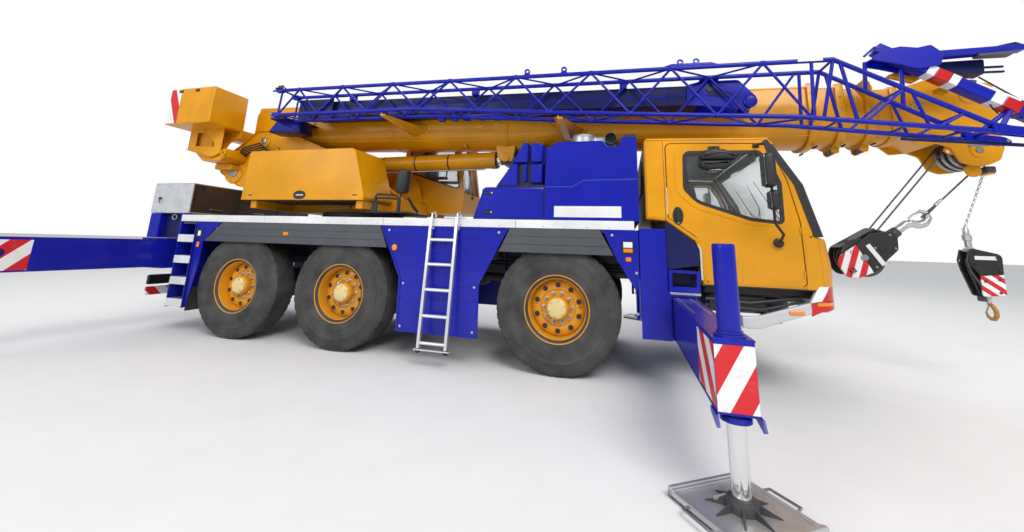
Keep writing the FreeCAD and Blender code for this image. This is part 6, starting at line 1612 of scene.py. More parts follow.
for out in (-1, 1):
    soft_block(turn, "xz", outline, out * 0.4, out * 0.428, YELLOW, 0.005, 2)
    # stiffening flange that follows the cheek's edge
    line = outline[4:-8]
    for one, two in zip(line, line[1:]):
        d = Vector((two[0] - one[0], two[1] - one[1])).normalized()
        nx, nz = d.y * 0.012, -d.x * 0.012
        lo, hi = sorted((out * 0.355, out * 0.452))
        turn.hexa([(one[0], lo, one[1]), (two[0], lo, two[1]), (two[0], hi, two[1]), (one[0], hi, one[1]),
            (one[0] + nx, lo, one[1] + nz), (two[0] + nx, lo, two[1] + nz), (two[0] + nx, hi, two[1] + nz),
            (one[0] + nx, hi, one[1] + nz)], YELLOW)
    # bosses of the boom pin, the cylinder's foot pin and the winch
    for px, pz, r in ((-5.15, 2.95, 0.12), (-3.9, 2.56, 0.11), (-5.7, 2.42, 0.19)):
        turn.lathe((ax(px), out * 0.427, pz), (0, out, 0), [(r + 0.012, 0), (r + 0.002, 0.012), (r, 0.024),
            (r * 0.55, 0.026), (r * 0.52, 0.02), (0, 0.02)], YELLOW, 40)
        turn.lathe((ax(px), out * 0.447, pz), (0, out, 0), [(r * 0.45, 0), (r * 0.45, 0.012),
            (r * 0.38, 0.018), (0, 0.018)], STEEL, 32)
        for k in range(6):
            a = 2 * math.pi * k / 6 + 0.3
            turn.lathe((ax(px) + 0.78 * r * math.cos(a), out * 0.452, pz + 0.78 * r * math.sin(a)),
                (0, out, 0), [(0.011, 0), (0.011, 0.009), (0, 0.01)], STEEL, 6, smooth=False)
    # stiffening ribs on the outside of the cheek
    for a, b in (((-4.1, 1.86), (-4.85, 2.83)), ((-3.3, 1.82), (-3.62, 2.38)), ((-5.42, 2.3), (-5.3, 2.8))):
        d = Vector((b[0] - a[0], b[1] - a[1])).normalized()
        nx, nz = -d.y * 0.006, d.x * 0.006
        lo, hi = sorted((out * 0.427, out * 0.462))
        turn.hexa([(ax(a[0] - nx), lo, a[1] - nz), (ax(b[0] - nx), lo, b[1] - nz),
            (ax(b[0] - nx), hi, b[1] - nz), (ax(a[0] - nx), hi, a[1] - nz), (ax(a[0] + nx), lo, a[1] + nz),
            (ax(b[0] + nx), lo, b[1] + nz), (ax(b[0] + nx), hi, b[1] + nz), (ax(a[0] + nx), hi, a[1] + nz)],
            YELLOW)
# cross plates between the cheeks
turn.box((ax(-5.3), ax(-4.3)), (-0.4, 0.4), (2.15, 2.18), YELLOW, 0.004)
turn.prism("xz", carriage([(-4.42, 1.8), (-4.36, 1.8), (-5.26, 2.18), (-5.32, 2.18)]), -0.4, 0.4, YELLOW)
turn.prism("xz", carriage([(-2.47, 1.8), (-2.45, 1.8), (-2.45, 1.95), (-2.47, 1.96)]), -0.4, 0.4, YELLOW)
turn.prism("xz", carriage([(-5.985, 2.43), (-5.96, 2.43), (-5.96, 2.655), (-5.985, 2.64)]), -0.4, 0.4, YELLOW)
turn.rod((ax(-5.15), -0.4, 2.95), (ax(-5.15), 0.4, 2.95), 0.06, STEEL, 32)
turn.rod((ax(-3.9), -0.4, 2.56), (ax(-3.9), 0.4, 2.56), 0.04, STEEL, 32)
# hoist winch: drum with its rope layers, flanges, gearbox and motor
turn.lathe((ax(-5.7), -0.27, 2.42), (0, 1, 0), [(0.15, 0), (0.15, 0.54)], STEEL, 40)
laps = []
for k in range(27):
    laps += [(0.163, 0.008 + 0.0195 * k), (0.172, 0.0178 + 0.0195 * k)]
turn.lathe((ax(-5.7), -0.268, 2.42), (0, 1, 0), laps, ROPE, 48)
for y in (-0.3, 0.27):
    turn.lathe((ax(-5.7), y, 2.42), (0, 1, 0), [(0.1, 0), (0.205, 0), (0.215, 0.006), (0.215, 0.024),
        (0.205, 0.03), (0.1, 0.03)], YELLOW, 56)
    for k in range(6):
        a = 2 * math.pi * k / 6
        turn.rod((ax(-5.7) + 0.19 * math.cos(a), y - 0.004, 2.42 + 0.19 * math.sin(a)),
            (ax(-5.7) + 0.19 * math.cos(a), y + 0.034, 2.42 + 0.19 * math.sin(a)), 0.009, STEEL, 8)
turn.lathe((ax(-5.7), -0.4, 2.42), (0, 1, 0), [(0.12, 0), (0.12, 0.098)], IRON, 32)
turn.lathe((ax(-5.7), 0.302, 2.42), (0, 1, 0), [(0.13, 0), (0.13, 0.06), (0.08, 0.098)], IRON, 32)
# bars that carry the housing on one side and the cab on the other
for x0, x1 in ((-4.45, -4.35), (-2.7, -2.6)):
    turn.box((ax(x0), ax(x1)), (-1.14, -0.429), (1.749, 1.86), YELLOW, 0.006)
for x0, x1 in ((-2.9, -2.8), (-2.56, -2.46)):
    turn.box((ax(x0), ax(x1)), (0.429, 1.14), (1.77, 1.82), YELLOW, 0.005)
# lugs for the counterweight, each with its eye
for out in (-1, 1):
    eye = rounded(carriage([(-5.96, 2.44), (-5.6, 2.44), (-5.6, 2.54), (-5.96, 2.54)]), 0.03, 4)
    soft_block(turn, "xz", eye, out * 0.429, out * 0.59, YELLOW, 0.008, 2)
# hoses in bends from the turntable to the winch, and a valve block
for k in range(4):
    y = -0.47 - 0.035 * k
    turn.tube([(ax(-4.6 + 0.02 * k), y, 2.3), (ax(-4.85), y - 0.01, 2.66 + 0.02 * k),
        (ax(-5.1), y, 2.8 + 0.025 * k), (ax(-5.42), y, 2.74 + 0.02 * k), (ax(-5.62), y + 0.01, 2.56)],
        0.014, HOSE, 8)
turn.box((ax(-4.72), ax(-4.5)), (-0.6, -0.452), (2.16, 2.32), IRON, 0.01)
for k in range(5):
    turn.lathe((ax(-4.7 + 0.045 * k), -0.602, 2.24), (0, -1, 0), [(0.014, 0), (0.014, 0.03), (0.008, 0.034),
        (0, 0.034)], STEEL, 10)
# inner bulkhead on the cab's side, platform on the near side with its bow rail and mirror
turn.prism("xz", carriage([(-3.36, 1.8), (-3.36, 2.5), (-2.84, 2.6), (-2.6, 2.3), (-2.46, 1.8)]), 0.352,
    0.362, YELLOW)
turn.box((ax(-2.53), ax(-1.96)), (-1.12, -0.44), (1.7, 1.722), BLACK, 0.004)
for low, high, back in ((1.722, 1.95, 0.0), (1.722, 1.905, 0.012)):
    turn.tube([(ax(-2.462), -1.06 + back, low), (ax(-2.462), -1.06 + back, high - 0.03),
        (ax(-2.44), -1.06 + back, high), (ax(-2.16), -1.06 + back, high - 0.012),
        (ax(-2.12), -1.06 + back, high - 0.045), (ax(-2.12), -1.06 + back, low)], 0.014, BLACK, 12)
turn.box((ax(-2.505), ax(-2.425)), (-1.075, -1.045), (1.722, 1.86), BLACK, 0.006)
turn.tube([(ax(-2.1), -1.05, 1.722), (ax(-2.1), -1.05, 1.9), (ax(-2.08), -1.055, 2.0),
    (ax(-2.08), -1.06, 2.2)], 0.013, BLACK, 10)
turn.lathe((ax(-2.078), -1.06, 1.962), (0.06, 0, 1), [(0, 0), (0.066, 0.004), (0.088, 0.03), (0.093, 0.09),
    (0.093, 0.24), (0.085, 0.292), (0.062, 0.312), (0, 0.314)], BLACK, 32)
turn.tube([(ax(-2.02), -0.98, 1.91), (ax(-1.97), -0.92, 1.8), (ax(-1.93), -0.86, 1.735)], 0.02, BLACK, 10)
# service lid on the floor
turn.lathe((ax(-2.78), -0.2, 1.8), (0, 0, 1), [(0.13, 0), (0.13, 0.16), (0.11, 0.2), (0.06, 0.21),
    (0.06, 0.3), (0, 0.3)], IRON, 28)
turn.done()

# engine housing: pressed sheet with large radii, louvres on the back and top, doors' seams and latches
house = Build("engine_housing_panels", UP, ["engine_housing"], "yellow_paint")
HOUSE = carriage([(-4.585, 1.86), (-4.554, 2.574), (-2.769, 2.572), (-2.537, 1.86)])
rim = rounded(HOUSE, [0.035, 0.05, 0.09, 0.05], 5)
soft_block(house, "xz", rim, -1.2, -0.48, YELLOW, 0.022, 4)


low_lip = carriage([(-4.575, 1.862), (-4.573, 1.88), (-2.552, 1.88), (-2.546, 1.862)])
house.prism("xz", low_lip, -1.1995, -1.19, YELLOW)
# slots at the lower corners, black as painted shade in the openings, each with a yellow bar across
for px in (-4.415, -2.69):
    house.box((ax(px - 0.03), ax(px + 0.03)), (-1.2006, -1.196), (1.915, 1.935), BLACK)
    house.box((ax(px - 0.004), ax(px + 0.004)), (-1.2012, -1.196), (1.915, 1.935), YELLOW)
# oval recess, its rim, a black oval inside as painted shade, and its bare floor
ring = oval(ax(-3.565), 1.925, 0.105, 0.062, 40)
house.panel("xz", drawn_in(ring, -0.009), [ring], -1.204, -1.199, YELLOW)
house.prism("xz", ring, -1.2009, -1.199, BLACK)
house.box((ax(-3.565) - 0.06, ax(-3.565) + 0.06), (-1.2022, -1.2), (1.918, 1.933), ALU, 0.002)
# louvres on the housing's rear face
for k in range(9):
    z = 2.02 + 0.05 * k
    t = (z - 1.86) / (2.574 - 1.86)
    x = HOUSE[0][0] + (HOUSE[1][0] - HOUSE[0][0]) * t
    house.hexa([(x - 0.001, -1.08, z - 0.014), (x + 0.02, -1.08, z - 0.014), (x + 0.02, -0.62, z - 0.014),
        (x - 0.001, -0.62, z - 0.014), (x - 0.016, -1.08, z + 0.01), (x + 0.02, -1.08, z + 0.014),
        (x + 0.02, -0.62, z + 0.014), (x - 0.016, -0.62, z + 0.01)], YELLOW)
# exhaust cover and top grille
house.box((ax(-4.3), ax(-3.7)), (-1.08, -0.62), (2.571, 2.579), BLACK, 0.002)
for k in range(14):
    x = ax(-4.28 + 0.0415 * k)
    house.box((x, x + 0.02), (-1.075, -0.625), (2.576, 2.584), YELLOW, 0.002)
for px, py in ((-3.45, -0.62), (-3.45, -1.06), (-2.9, -0.62), (-2.9, -1.06)):
    house.lathe((ax(px), py, 2.571), (0, 0, 1), [(0.018, 0), (0.018, 0.006), (0.01, 0.01), (0, 0.01)], GALV,
        12)
house.box((ax(-3.52), ax(-2.86)), (-1.11, -0.57), (2.5712, 2.5745), YELLOW, 0.003)
# shade gap and bearers under the housing
house.box((ax(-4.52), ax(-2.62)), (-1.15, -0.52), (1.852, 1.862), BLACK)
for px in (-4.4, -3.55, -2.7):
    house.lathe((ax(px), -1.12, 1.848), (0, 0, 1), [(0.028, 0), (0.028, 0.013)], BLACK, 16)
house.done()

# counterweight
ballast = Build("counterweight_blocks", UP, ["counterweight"], "yellow_paint")
for out in (-1, 1):
    block = rounded(carriage([(-6.39, 3.08), (-6.39, 3.67), (-5.47, 3.67), (-5.47, 3.08)]), 0.018, 3)
    soft_block(ballast, "xz", block, out * 0.59, out * 1.196, YELLOW, 0.014, 3)
    # bottom plate that stands a little proud
    ballast.box((ax(-6.39), ax(-5.47)), (out * 0.59, out * 1.2), (3.07, 3.082), YELLOW, 0.003)
    # lifting bars at the top edge in recesses painted black as shade, and black discs on the top as painted
    # shade in its holes
    for px in (-6.18, -5.83):
        ballast.box((ax(px - 0.045), ax(px + 0.045)), (out * 1.1945, out * 1.1975), (3.6, 3.645), BLACK)
        ballast.tube([(ax(px - 0.032), out * 1.198, 3.64), (ax(px - 0.032), out * 1.199, 3.612),
            (ax(px + 0.032), out * 1.199, 3.612), (ax(px + 0.032), out * 1.198, 3.64)], 0.0055, IRON, 6)
        ballast.lathe((ax(px), out * 1.02, 3.6695), (0, 0, 1), [(0.05, 0), (0.05, 0.0004), (0, 0.0004)],
            BLACK, 24)
    # warning stripes at the rear corner, on the side and the back
    ballast.box((ax(-6.384), ax(-6.165)), (out * 1.195, out * 1.1972), (3.088, 3.655), STRIPE_UPPER)
    ballast.box((ax(-6.39) - 0.0012, ax(-6.39) + 0.01), (out * 0.6, out * 1.185), (3.088, 3.655),
        STRIPE_ACROSS)
    # rear slab below, with the arched web that runs forward to the lug
    # outer web of the slab's side, with an arched opening in it
    web = carriage([(-6.27, 2.735), (-6.27, 3.071), (-5.56, 3.071), (-5.56, 2.64), (-5.7, 2.64),
        (-5.83, 2.735)])
    hole = [(ax(-6.115), 2.79), (ax(-6.115), 3.015)] + [(ax(-6.115 + 0.4 * math.sin(math.pi / 2 * k / 9)),
        2.765 + 0.25 * math.cos(math.pi / 2 * k / 9)) for k in range(10)]
    ballast.panel("xz", [web[0], web[1], (ax(-5.56), 3.071), (ax(-5.56), 2.66), (ax(-5.7), 2.6),
        (ax(-5.76), 2.6)], [hole], out * 0.846, out * 0.8595, YELLOW)
    ballast.box((ax(-6.262), ax(-5.838)), (out * 0.598, out * 0.8), (2.745, 3.071), YELLOW, 0.008)
    ballast.box((ax(-6.27), ax(-6.255)), (out * 0.598, out * 0.8595), (2.735, 3.071), YELLOW, 0.003)
    # lower flange, running down and forward
    a, c = (ax(-6.278), 2.738), (ax(-5.755), 2.602)
    ballast.hexa([(a[0], out * 0.6, a[1] - 0.012), (c[0], out * 0.6, c[1] - 0.012),
        (c[0], out * 0.88, c[1] - 0.012), (a[0], out * 0.88, a[1] - 0.012), (a[0], out * 0.6, a[1]),
        (c[0], out * 0.6, c[1]), (c[0], out * 0.88, c[1]), (a[0], out * 0.88, a[1])], YELLOW)
    foot = rounded(carriage([(-6.2, 2.74), (-5.48, 2.74), (-5.48, 2.6), (-5.6, 2.541), (-5.96, 2.541)]),
        [0.02, 0.02, 0.03, 0.03, 0.06], 4)
    soft_block(ballast, "xz", foot, out * 0.442, out * 0.82, YELLOW, 0.008, 2)
    # the forward curved gusset under the block
    gusset = [(-5.48, 3.071), (-5.48, 2.96)] + [(-5.48 - 0.3 * math.sin(math.pi / 2 * k / 7),
        2.69 + 0.27 * math.cos(math.pi / 2 * k / 7)) for k in range(1, 8)] + [(-5.83, 2.7), (-5.83, 3.071)]
    ballast.prism("xz", carriage(gusset), out * 0.6, out * 0.622, YELLOW)
    # eye at the front of the foot, with its ring
    ballast.lathe((ax(-5.5), out * 0.835, 2.655), (0, out, 0), [(0.026, 0), (0.046, 0.0), (0.05, 0.005),
        (0.05, 0.02), (0.046, 0.025), (0.026, 0.025)], YELLOW, 28, closed=True)
    # bolt heads that hold block and web together
    for px in (-6.33, -6.0, -5.86, -5.56):
        ballast.lathe((ax(px), out * 1.14, 3.0705), (0, 0, -1), [(0.016, 0), (0.016, 0.003), (0, 0.003)],
            STEEL, 6, smooth=False)
ballast.box((ax(-6.384), ax(-6.156)), (-0.591, 0.591), (3.075, 3.3), YELLOW, 0.012)
ballast.box((ax(-6.39) - 0.0005, ax(-6.385)), (-0.585, 0.585), (3.085, 3.29), STRIPE_ACROSS)
for y in (-0.48, 0.48):
    ballast.lathe((ax(-6.27), y, 3.298), (0, 0, 1), [(0.03, 0), (0.03, 0.014), (0.02, 0.03), (0, 0.03)],
        YELLOW, 20)
ballast.done()


# Crane operator's cab

ROOM = [(-2.95, 1.82), (-2.95, 3.18), (-2.85, 3.26), (-2.08, 3.26), (-1.96, 3.13), (-1.8, 2.15),
    (-1.86, 1.82)]
SIDE_PANE = [(-2.84, 2.53), (-2.84, 3.09), (-2.06, 3.09), (-1.9, 2.23)]
DOOR_PANE = [(-2.74, 2.3), (-2.74, 3.07), (-2.12, 3.07), (-2.04, 2.5), (-2.04, 2.3)]
DOORWAY = [(-2.78, 1.88), (-2.78, 3.11), (-2.09, 3.11), (-1.98, 2.4), (-1.98, 1.88)]

room = Build("crane_cab_walls", UP, ["crane_cab"], "yellow_paint")
body = rounded(carriage(ROOM), [0.04, 0.1, 0.1, 0.09, 0.1, 0.1, 0.05], 4)
inner = drawn_in(body, 0.035)
side_hole = rounded(carriage(SIDE_PANE), [0.03, 0.05, 0.07, 0.05], 4)
door_hole = rounded(carriage(DOORWAY), [0.03, 0.06, 0.08, 0.05, 0.03], 3)
room.panel("xz", drawn_in(body, 0.012), [side_hole], 0.462, 0.49, YELLOW)
band(room, "xz", drawn_in(body, 0.012), drawn_in(body, 0.003), 0.462, 0.453 + 0.018, YELLOW)
room.panel("xz", drawn_in(body, 0.01), [side_hole], 0.451, 0.464, YELLOW)
room.panel("xz", drawn_in(body, 0.012), [door_hole], 1.165, 1.19, YELLOW)
room.panel("xz", drawn_in(body, 0.008), [door_hole], 1.189, 1.1985, YELLOW)
# walls round the room, except the front opening
n = len(body)
front_low, front_high = 2.19, 3.08
for i in range(n):
    a, c = body[i], body[(i + 1) % n]
    ia, ic = inner[i], inner[(i + 1) % n]
    x_mid, z_mid = (a[0] + c[0]) / 2, (a[1] + c[1]) / 2
    if x_mid > ax(-2.03) and front_low < z_mid < front_high:
        for y0, y1 in ((0.453, 0.515), (1.135, 1.197)):
            room.hexa([(ia[0], y0, ia[1]), (a[0], y0, a[1]), (a[0], y1, a[1]), (ia[0], y1, ia[1]),
                (ic[0], y0, ic[1]), (c[0], y0, c[1]), (c[0], y1, c[1]), (ic[0], y1, ic[1])],
                BLACK if y0 < 1 else YELLOW)
    else:
        room.hexa([(ia[0], 0.453, ia[1]), (a[0], 0.453, a[1]), (a[0], 1.197, a[1]), (ia[0], 1.197, ia[1]),
            (ic[0], 0.453, ic[1]), (c[0], 0.453, c[1]), (c[0], 1.197, c[1]), (ic[0], 1.197, ic[1])], YELLOW)
# floor mat inside
room.box((ax(-2.9), ax(-1.87)), (0.5, 1.15), (1.856, 1.866), INSIDE)
# rubber round the side pane
room.panel("xz", drawn_in(side_hole, -0.016), [drawn_in(side_hole, 0.006)], 0.449, 0.462, SCREEN_BLACK)
# front pillars' grey seal and the sill lamp bar
for y0, y1 in ((0.452, 0.5), (1.15, 1.198)):
    upright_plate(room, (ax(-1.812), ax(-1.806), 2.2), (ax(-1.962), ax(-1.956), 3.075), y0, y1, GALV)
for y in (0.56, 1.09):
    room.lathe((ax(-2.02), y, 3.245), (0, 0, 1), [(0.02, 0), (0.02, 0.03)], BLACK, 12)
    soft_block(room, "xz", rounded([(ax(-2.06), 3.272), (ax(-2.06), 3.352), (ax(-1.99), 3.352),
        (ax(-1.97), 3.272)], 0.012, 3), y - 0.06, y + 0.06, BLACK, 0.012, 2)
    room.hexa([(ax(-1.972), y - 0.05, 3.28), (ax(-1.968), y - 0.05, 3.28), (ax(-1.968), y + 0.05, 3.28),
        (ax(-1.972), y + 0.05, 3.28), (ax(-1.99), y - 0.05, 3.345), (ax(-1.986), y - 0.05, 3.345),
        (ax(-1.986), y + 0.05, 3.345), (ax(-1.99), y + 0.05, 3.345)], CLEAR)
# roof hatch, gutter, wiper motor
room.box((ax(-2.72), ax(-2.22)), (0.58, 1.07), (3.258, 3.27), GREY_DARK, 0.004)
room.tube([(ax(-2.93), 0.455, 3.19), (ax(-2.84), 0.455, 3.255), (ax(-2.09), 0.455, 3.255),
    (ax(-1.955), 0.455, 3.135)], 0.008, BLACK, 8)
room.box((ax(-1.862), ax(-1.8)), (0.76, 0.9), (2.09, 2.16), BLACK, 0.012)
room.tube([(ax(-1.802), 0.83, 2.15), (ax(-1.835), 0.8, 2.45), (ax(-1.885), 0.74, 2.76)], 0.006, BLACK, 6)
room.tube([(ax(-1.83), 0.7, 2.52), (ax(-1.925), 0.78, 3.0)], 0.007, BLACK, 6)
# steps beside the door
room.box((ax(-2.75), ax(-2.05)), (1.12, 1.3), (1.77, 1.795), PLATE, 0.004)
for px in (-2.7, -2.1):
    room.box((ax(px - 0.012), ax(px + 0.012)), (1.1, 1.3), (1.744, 1.772), STEEL)
room.done()

panes = Build("crane_cab_panes", UP, ["crane_glass"], "window")
panes.prism("xz", side_hole, 0.463, 0.468, GLASS)
panes.hexa([(ax(-1.835), 0.5, 2.192), (ax(-1.829), 0.5, 2.192), (ax(-1.829), 1.15, 2.192),
    (ax(-1.835), 1.15, 2.192), (ax(-1.981), 0.5, 3.078), (ax(-1.975), 0.5, 3.078),
    (ax(-1.975), 1.15, 3.078), (ax(-1.981), 1.15, 3.078)], GLASS)
panes.done()

seat = Build("crane_chair_console", UP, ["crane_seat"], "interior_plastic")
seat.box((ax(-2.56), ax(-2.3)), (0.8, 1.0), (1.862, 2.205), INSIDE, 0.03)
soft_block(seat, "xz",
    rounded(carriage([(-2.64, 2.205), (-2.64, 2.29), (-2.4, 2.28), (-2.2, 2.305), (-2.16, 2.25),
    (-2.2, 2.205)]), 0.03, 3), 0.66, 1.14, CLOTH, 0.04, 4)
soft_block(seat, "xz",
    rounded(carriage([(-2.655, 2.25), (-2.74, 2.92), (-2.69, 2.94), (-2.63, 2.9), (-2.59, 2.5),
    (-2.6, 2.25)]), 0.025, 3), 0.68, 1.12, CLOTH, 0.04, 4)
soft_block(seat, "xz", rounded(carriage([(-2.745, 2.93), (-2.76, 3.08), (-2.7, 3.09), (-2.68, 2.94)]), 0.02,
    3), 0.79, 1.01, CLOTH, 0.03, 3)
for y in (0.62, 1.125):
    soft_block(seat, "xz", rounded(carriage([(-2.6, 2.42), (-2.6, 2.48), (-2.22, 2.47), (-2.19, 2.42)]),
        0.02, 3), y - 0.025, y + 0.025, INSIDE, 0.014, 3)
    seat.tube([(ax(-2.23), y, 2.465), (ax(-2.225), y, 2.56)], 0.012, BLACK, 10)
    seat.lathe((ax(-2.225), y, 2.555), (0, 0, 1), [(0.01, 0), (0.022, 0.01), (0.026, 0.03), (0.02, 0.05),
        (0, 0.056)], BLACK, 16)
seat.box((ax(-2.05), ax(-1.95)), (0.76, 1.04), (1.862, 2.14), INSIDE, 0.02)
seat.hexa([(ax(-2.06), 0.77, 2.14), (ax(-1.95), 0.77, 2.14), (ax(-1.95), 1.03, 2.14),
    (ax(-2.06), 1.03, 2.14), (ax(-2.02), 0.77, 2.27), (ax(-1.96), 0.77, 2.3), (ax(-1.96), 1.03, 2.3),
    (ax(-2.02), 1.03, 2.27)], BLACK)
seat.done()

leaf = Build("crane_door_leaf", "crane_door", ["crane_door"], "yellow_paint")
edge = rounded(drawn_in(carriage(DOORWAY), -0.018), [0.03, 0.06, 0.08, 0.05, 0.03], 3)
pane = rounded(carriage(DOOR_PANE), 0.045, 4)
leaf.panel("xz", edge, [pane], 1.2065, 1.228, YELLOW)
leaf.panel("xz", drawn_in(pane, -0.014), [drawn_in(pane, 0.004)], 1.227, 1.2295, SCREEN_BLACK)
leaf.prism("xz", drawn_in(pane, 0.001), 1.214, 1.219, GLASS)
leaf.tube([(ax(-2.68), 1.2295, 2.16), (ax(-2.68), 1.25, 2.16), (ax(-2.52), 1.25, 2.16),
    (ax(-2.52), 1.2295, 2.16)], 0.008, BLACK, 8)
leaf.box((ax(-2.79), ax(-2.03)), (1.2065, 1.222), (3.112, 3.126), BLACK, 0.003)
leaf.done()


# Boom: base box, three stages, head, lift cylinder

NOSE = 8.15 + 1.748
HALF, TOP, LOW = 0.33, 0.64, -0.09


def boom_section(inset):
    """The round-bellied section of a stage, half of it mirrored."""
    half, top, low = HALF - inset, TOP - inset, LOW + inset
    side = [(half, top - 0.05), (half, low + 0.21)]
    curve = []
    for k in range(1, 8):
        t = math.pi / 2 * k / 8
        curve.append((half * math.cos(t) ** 0.8, low + 0.21 - 0.21 * math.sin(t) ** 1.15))
    right = [(half - 0.035, top)] + [(half - 0.01, top - 0.012),
        (half, top - 0.035)] + side[1:] + curve + [(half * 0.16, low)]
    return right + [(-y, w) for y, w in reversed(right)]


def sleeve(b, inset, u0, u1, mat, wall=0.012):
    """A hollow length of the boom's section."""
    line = boom_section(inset)
    n = len(line)
    verts = b.put([(u0, y, w) for y, w in line] + [(u1, y, w) for y, w in line])
    b.faces(verts, [[i, (i + 1) % n, n + (i + 1) % n, n + i] for i in range(n)], mat, True)
    core = boom_section(inset + wall)
    inner = b.put([(u0, y, w) for y, w in core] + [(u1, y, w) for y, w in core])
    b.faces(inner, [[i, (i + 1) % n, n + (i + 1) % n, n + i] for i in range(n)], mat, True)
    for level in (0, n):
        b.faces(verts[level:level + n] + inner[level:level + n],
            [[i, (i + 1) % n, n + (i + 1) % n, n + i] for i in range(n)], mat)


def collar(b, inset, u0, u1, mat, proud=0.034, soft=0.006):
    levels = [(u0, proud * 0.25), (u0 + soft, proud - 0.001), (u0 + 2 * soft, proud),
        (u1 - 2 * soft, proud), (u1 - soft, proud - 0.001), (u1, proud * 0.75)]
    n = len(boom_section(0))
    rings = []
    for u, out_by in levels:
        rings.append(b.put([(u, y * (1 + out_by / (HALF - inset)),
            w + (out_by if w > 0.3 else -out_by * min(1, (0.12 + inset - w) / 0.21) if w < 0.12 + inset
            else 0)) for y, w in boom_section(inset)]))
    rings.append(b.put([(u1, y, w) for y, w in boom_section(inset + 0.012)]))
    rings.append(b.put([(u0, y, w) for y, w in boom_section(inset + 0.002)]))
    slot = b.index(mat)
    for one, two in zip(rings, rings[1:] + rings[:1]):
        for i in range(n):
            face = b.mesh.faces.new([one[i], one[(i + 1) % n], two[(i + 1) % n], two[i]])
            face.material_index = slot
            face.smooth = True


base = Build("boom_base_box", "boom", ["boom_base"], "yellow_paint")
base.shift = boom_point
sleeve(base, 0, -0.34, 8.15, YELLOW)
line = boom_section(0.003)
verts = base.put([(-0.334, y, w) for y, w in line])
base.faces(verts, [list(range(len(line)))], YELLOW)
collar(base, 0, 8.06, 8.15, YELLOW)
collar(base, 0, 5.3, 5.36, YELLOW, 0.01, 0.003)
collar(base, 0, 2.35, 2.4, YELLOW, 0.006, 0.002)
for out in (-1, 1):
    # rear foot plates round the pivot, a long weld seam, an edge band on top
    foot = rounded([(-0.35, -0.2), (-0.35, 0.56), (0.2, 0.6), (0.98, 0.56), (0.8, 0.1), (0.18, -0.1),
        (-0.12, -0.18)], [0.12, 0.1, 0.1, 0.12, 0.15, 0.1, 0.08], 4)
    base.prism("xz", [(u, w) for u, w in foot], out * 0.329, out * 0.352, YELLOW)
    base.lathe((0, out * 0.352, 0), (0, out, 0), [(0.13, 0), (0.122, 0.01), (0.068, 0.012), (0.066, 0.004),
        (0, 0.004)], YELLOW, 36)
    base.box((0.9, 8.06), (out * 0.3295, out * 0.3312), (0.0, 0.006), YELLOW)
    base.box((-0.3, 8.06), (out * 0.3, out * 0.3335), (0.604, 0.612), YELLOW, 0.002)
    # lugs of the lift cylinder, open below, with their boss
    lug = rounded([(4.07, -0.04), (4.37, -0.04), (4.33, -0.26), (4.286, -0.302), (4.27, -0.23),
        (4.262, -0.2), (4.22, -0.184), (4.178, -0.2), (4.17, -0.23), (4.154, -0.302), (4.11, -0.26)],
        [0, 0, 0.04, 0.01, 0.005, 0.01, 0.02, 0.01, 0.005, 0.01, 0.04], 2)
    base.prism("xz", lug, out * 0.152, out * 0.19, YELLOW)
    base.lathe((4.22, out * 0.1915, -0.23), (0, out, 0), [(0, 0), (0.066, 0), (0.07, 0.004), (0.07, 0.016),
        (0.058, 0.02), (0.032, 0.02), (0.03, 0.012), (0, 0.012)], YELLOW, 32)
    for px in (3.62, 4.8):
        base.box((px - 0.006, px + 0.006), (out * 0.1, out * 0.3), (-0.098, -0.06), YELLOW)
# the doubling band around the box over the lugs
collar(base, 0, 4.165, 4.275, YELLOW, 0.012)
# wear shoes and grease points along the mouth, and the pads' keeper bolts
for y in (-0.2, 0.2):
    base.box((8.148, 8.158), (y - 0.05, y + 0.05), (0.648, 0.672), BLACK, 0.003)
    base.box((8.148, 8.16), (y - 0.06, y + 0.06), (-0.125, -0.1), BLACK, 0.003)
for out in (-1, 1):
    for w in (0.18, 0.3, 0.42, 0.54):
        base.lathe((8.105, out * 0.3635, w), (0, out, 0), [(0.014, -0.002), (0.014, 0.008), (0, 0.009)],
            STEEL, 6, smooth=False)
for u in (8.08, 8.13):
    for y in (-0.24, -0.08, 0.08, 0.24):
        base.lathe((u, y, 0.673), (0, 0, 1), [(0.012, 0), (0.012, 0.008), (0, 0.009)], STEEL, 6, smooth=False)
# hose and cable tray on top
base.box((0.4, 7.9), (0.06, 0.16), (0.6405, 0.655), GALV, 0.003)
for k in range(3):
    base.tube([(0.3, 0.082 + 0.027 * k, 0.668), (8.0, 0.082 + 0.027 * k, 0.668)], 0.01, HOSE, 8)
for u in (1.2, 2.6, 4.0, 5.4, 6.8):
    base.box((u - 0.015, u + 0.015), (0.05, 0.17), (0.655, 0.683), BLACK, 0.003)
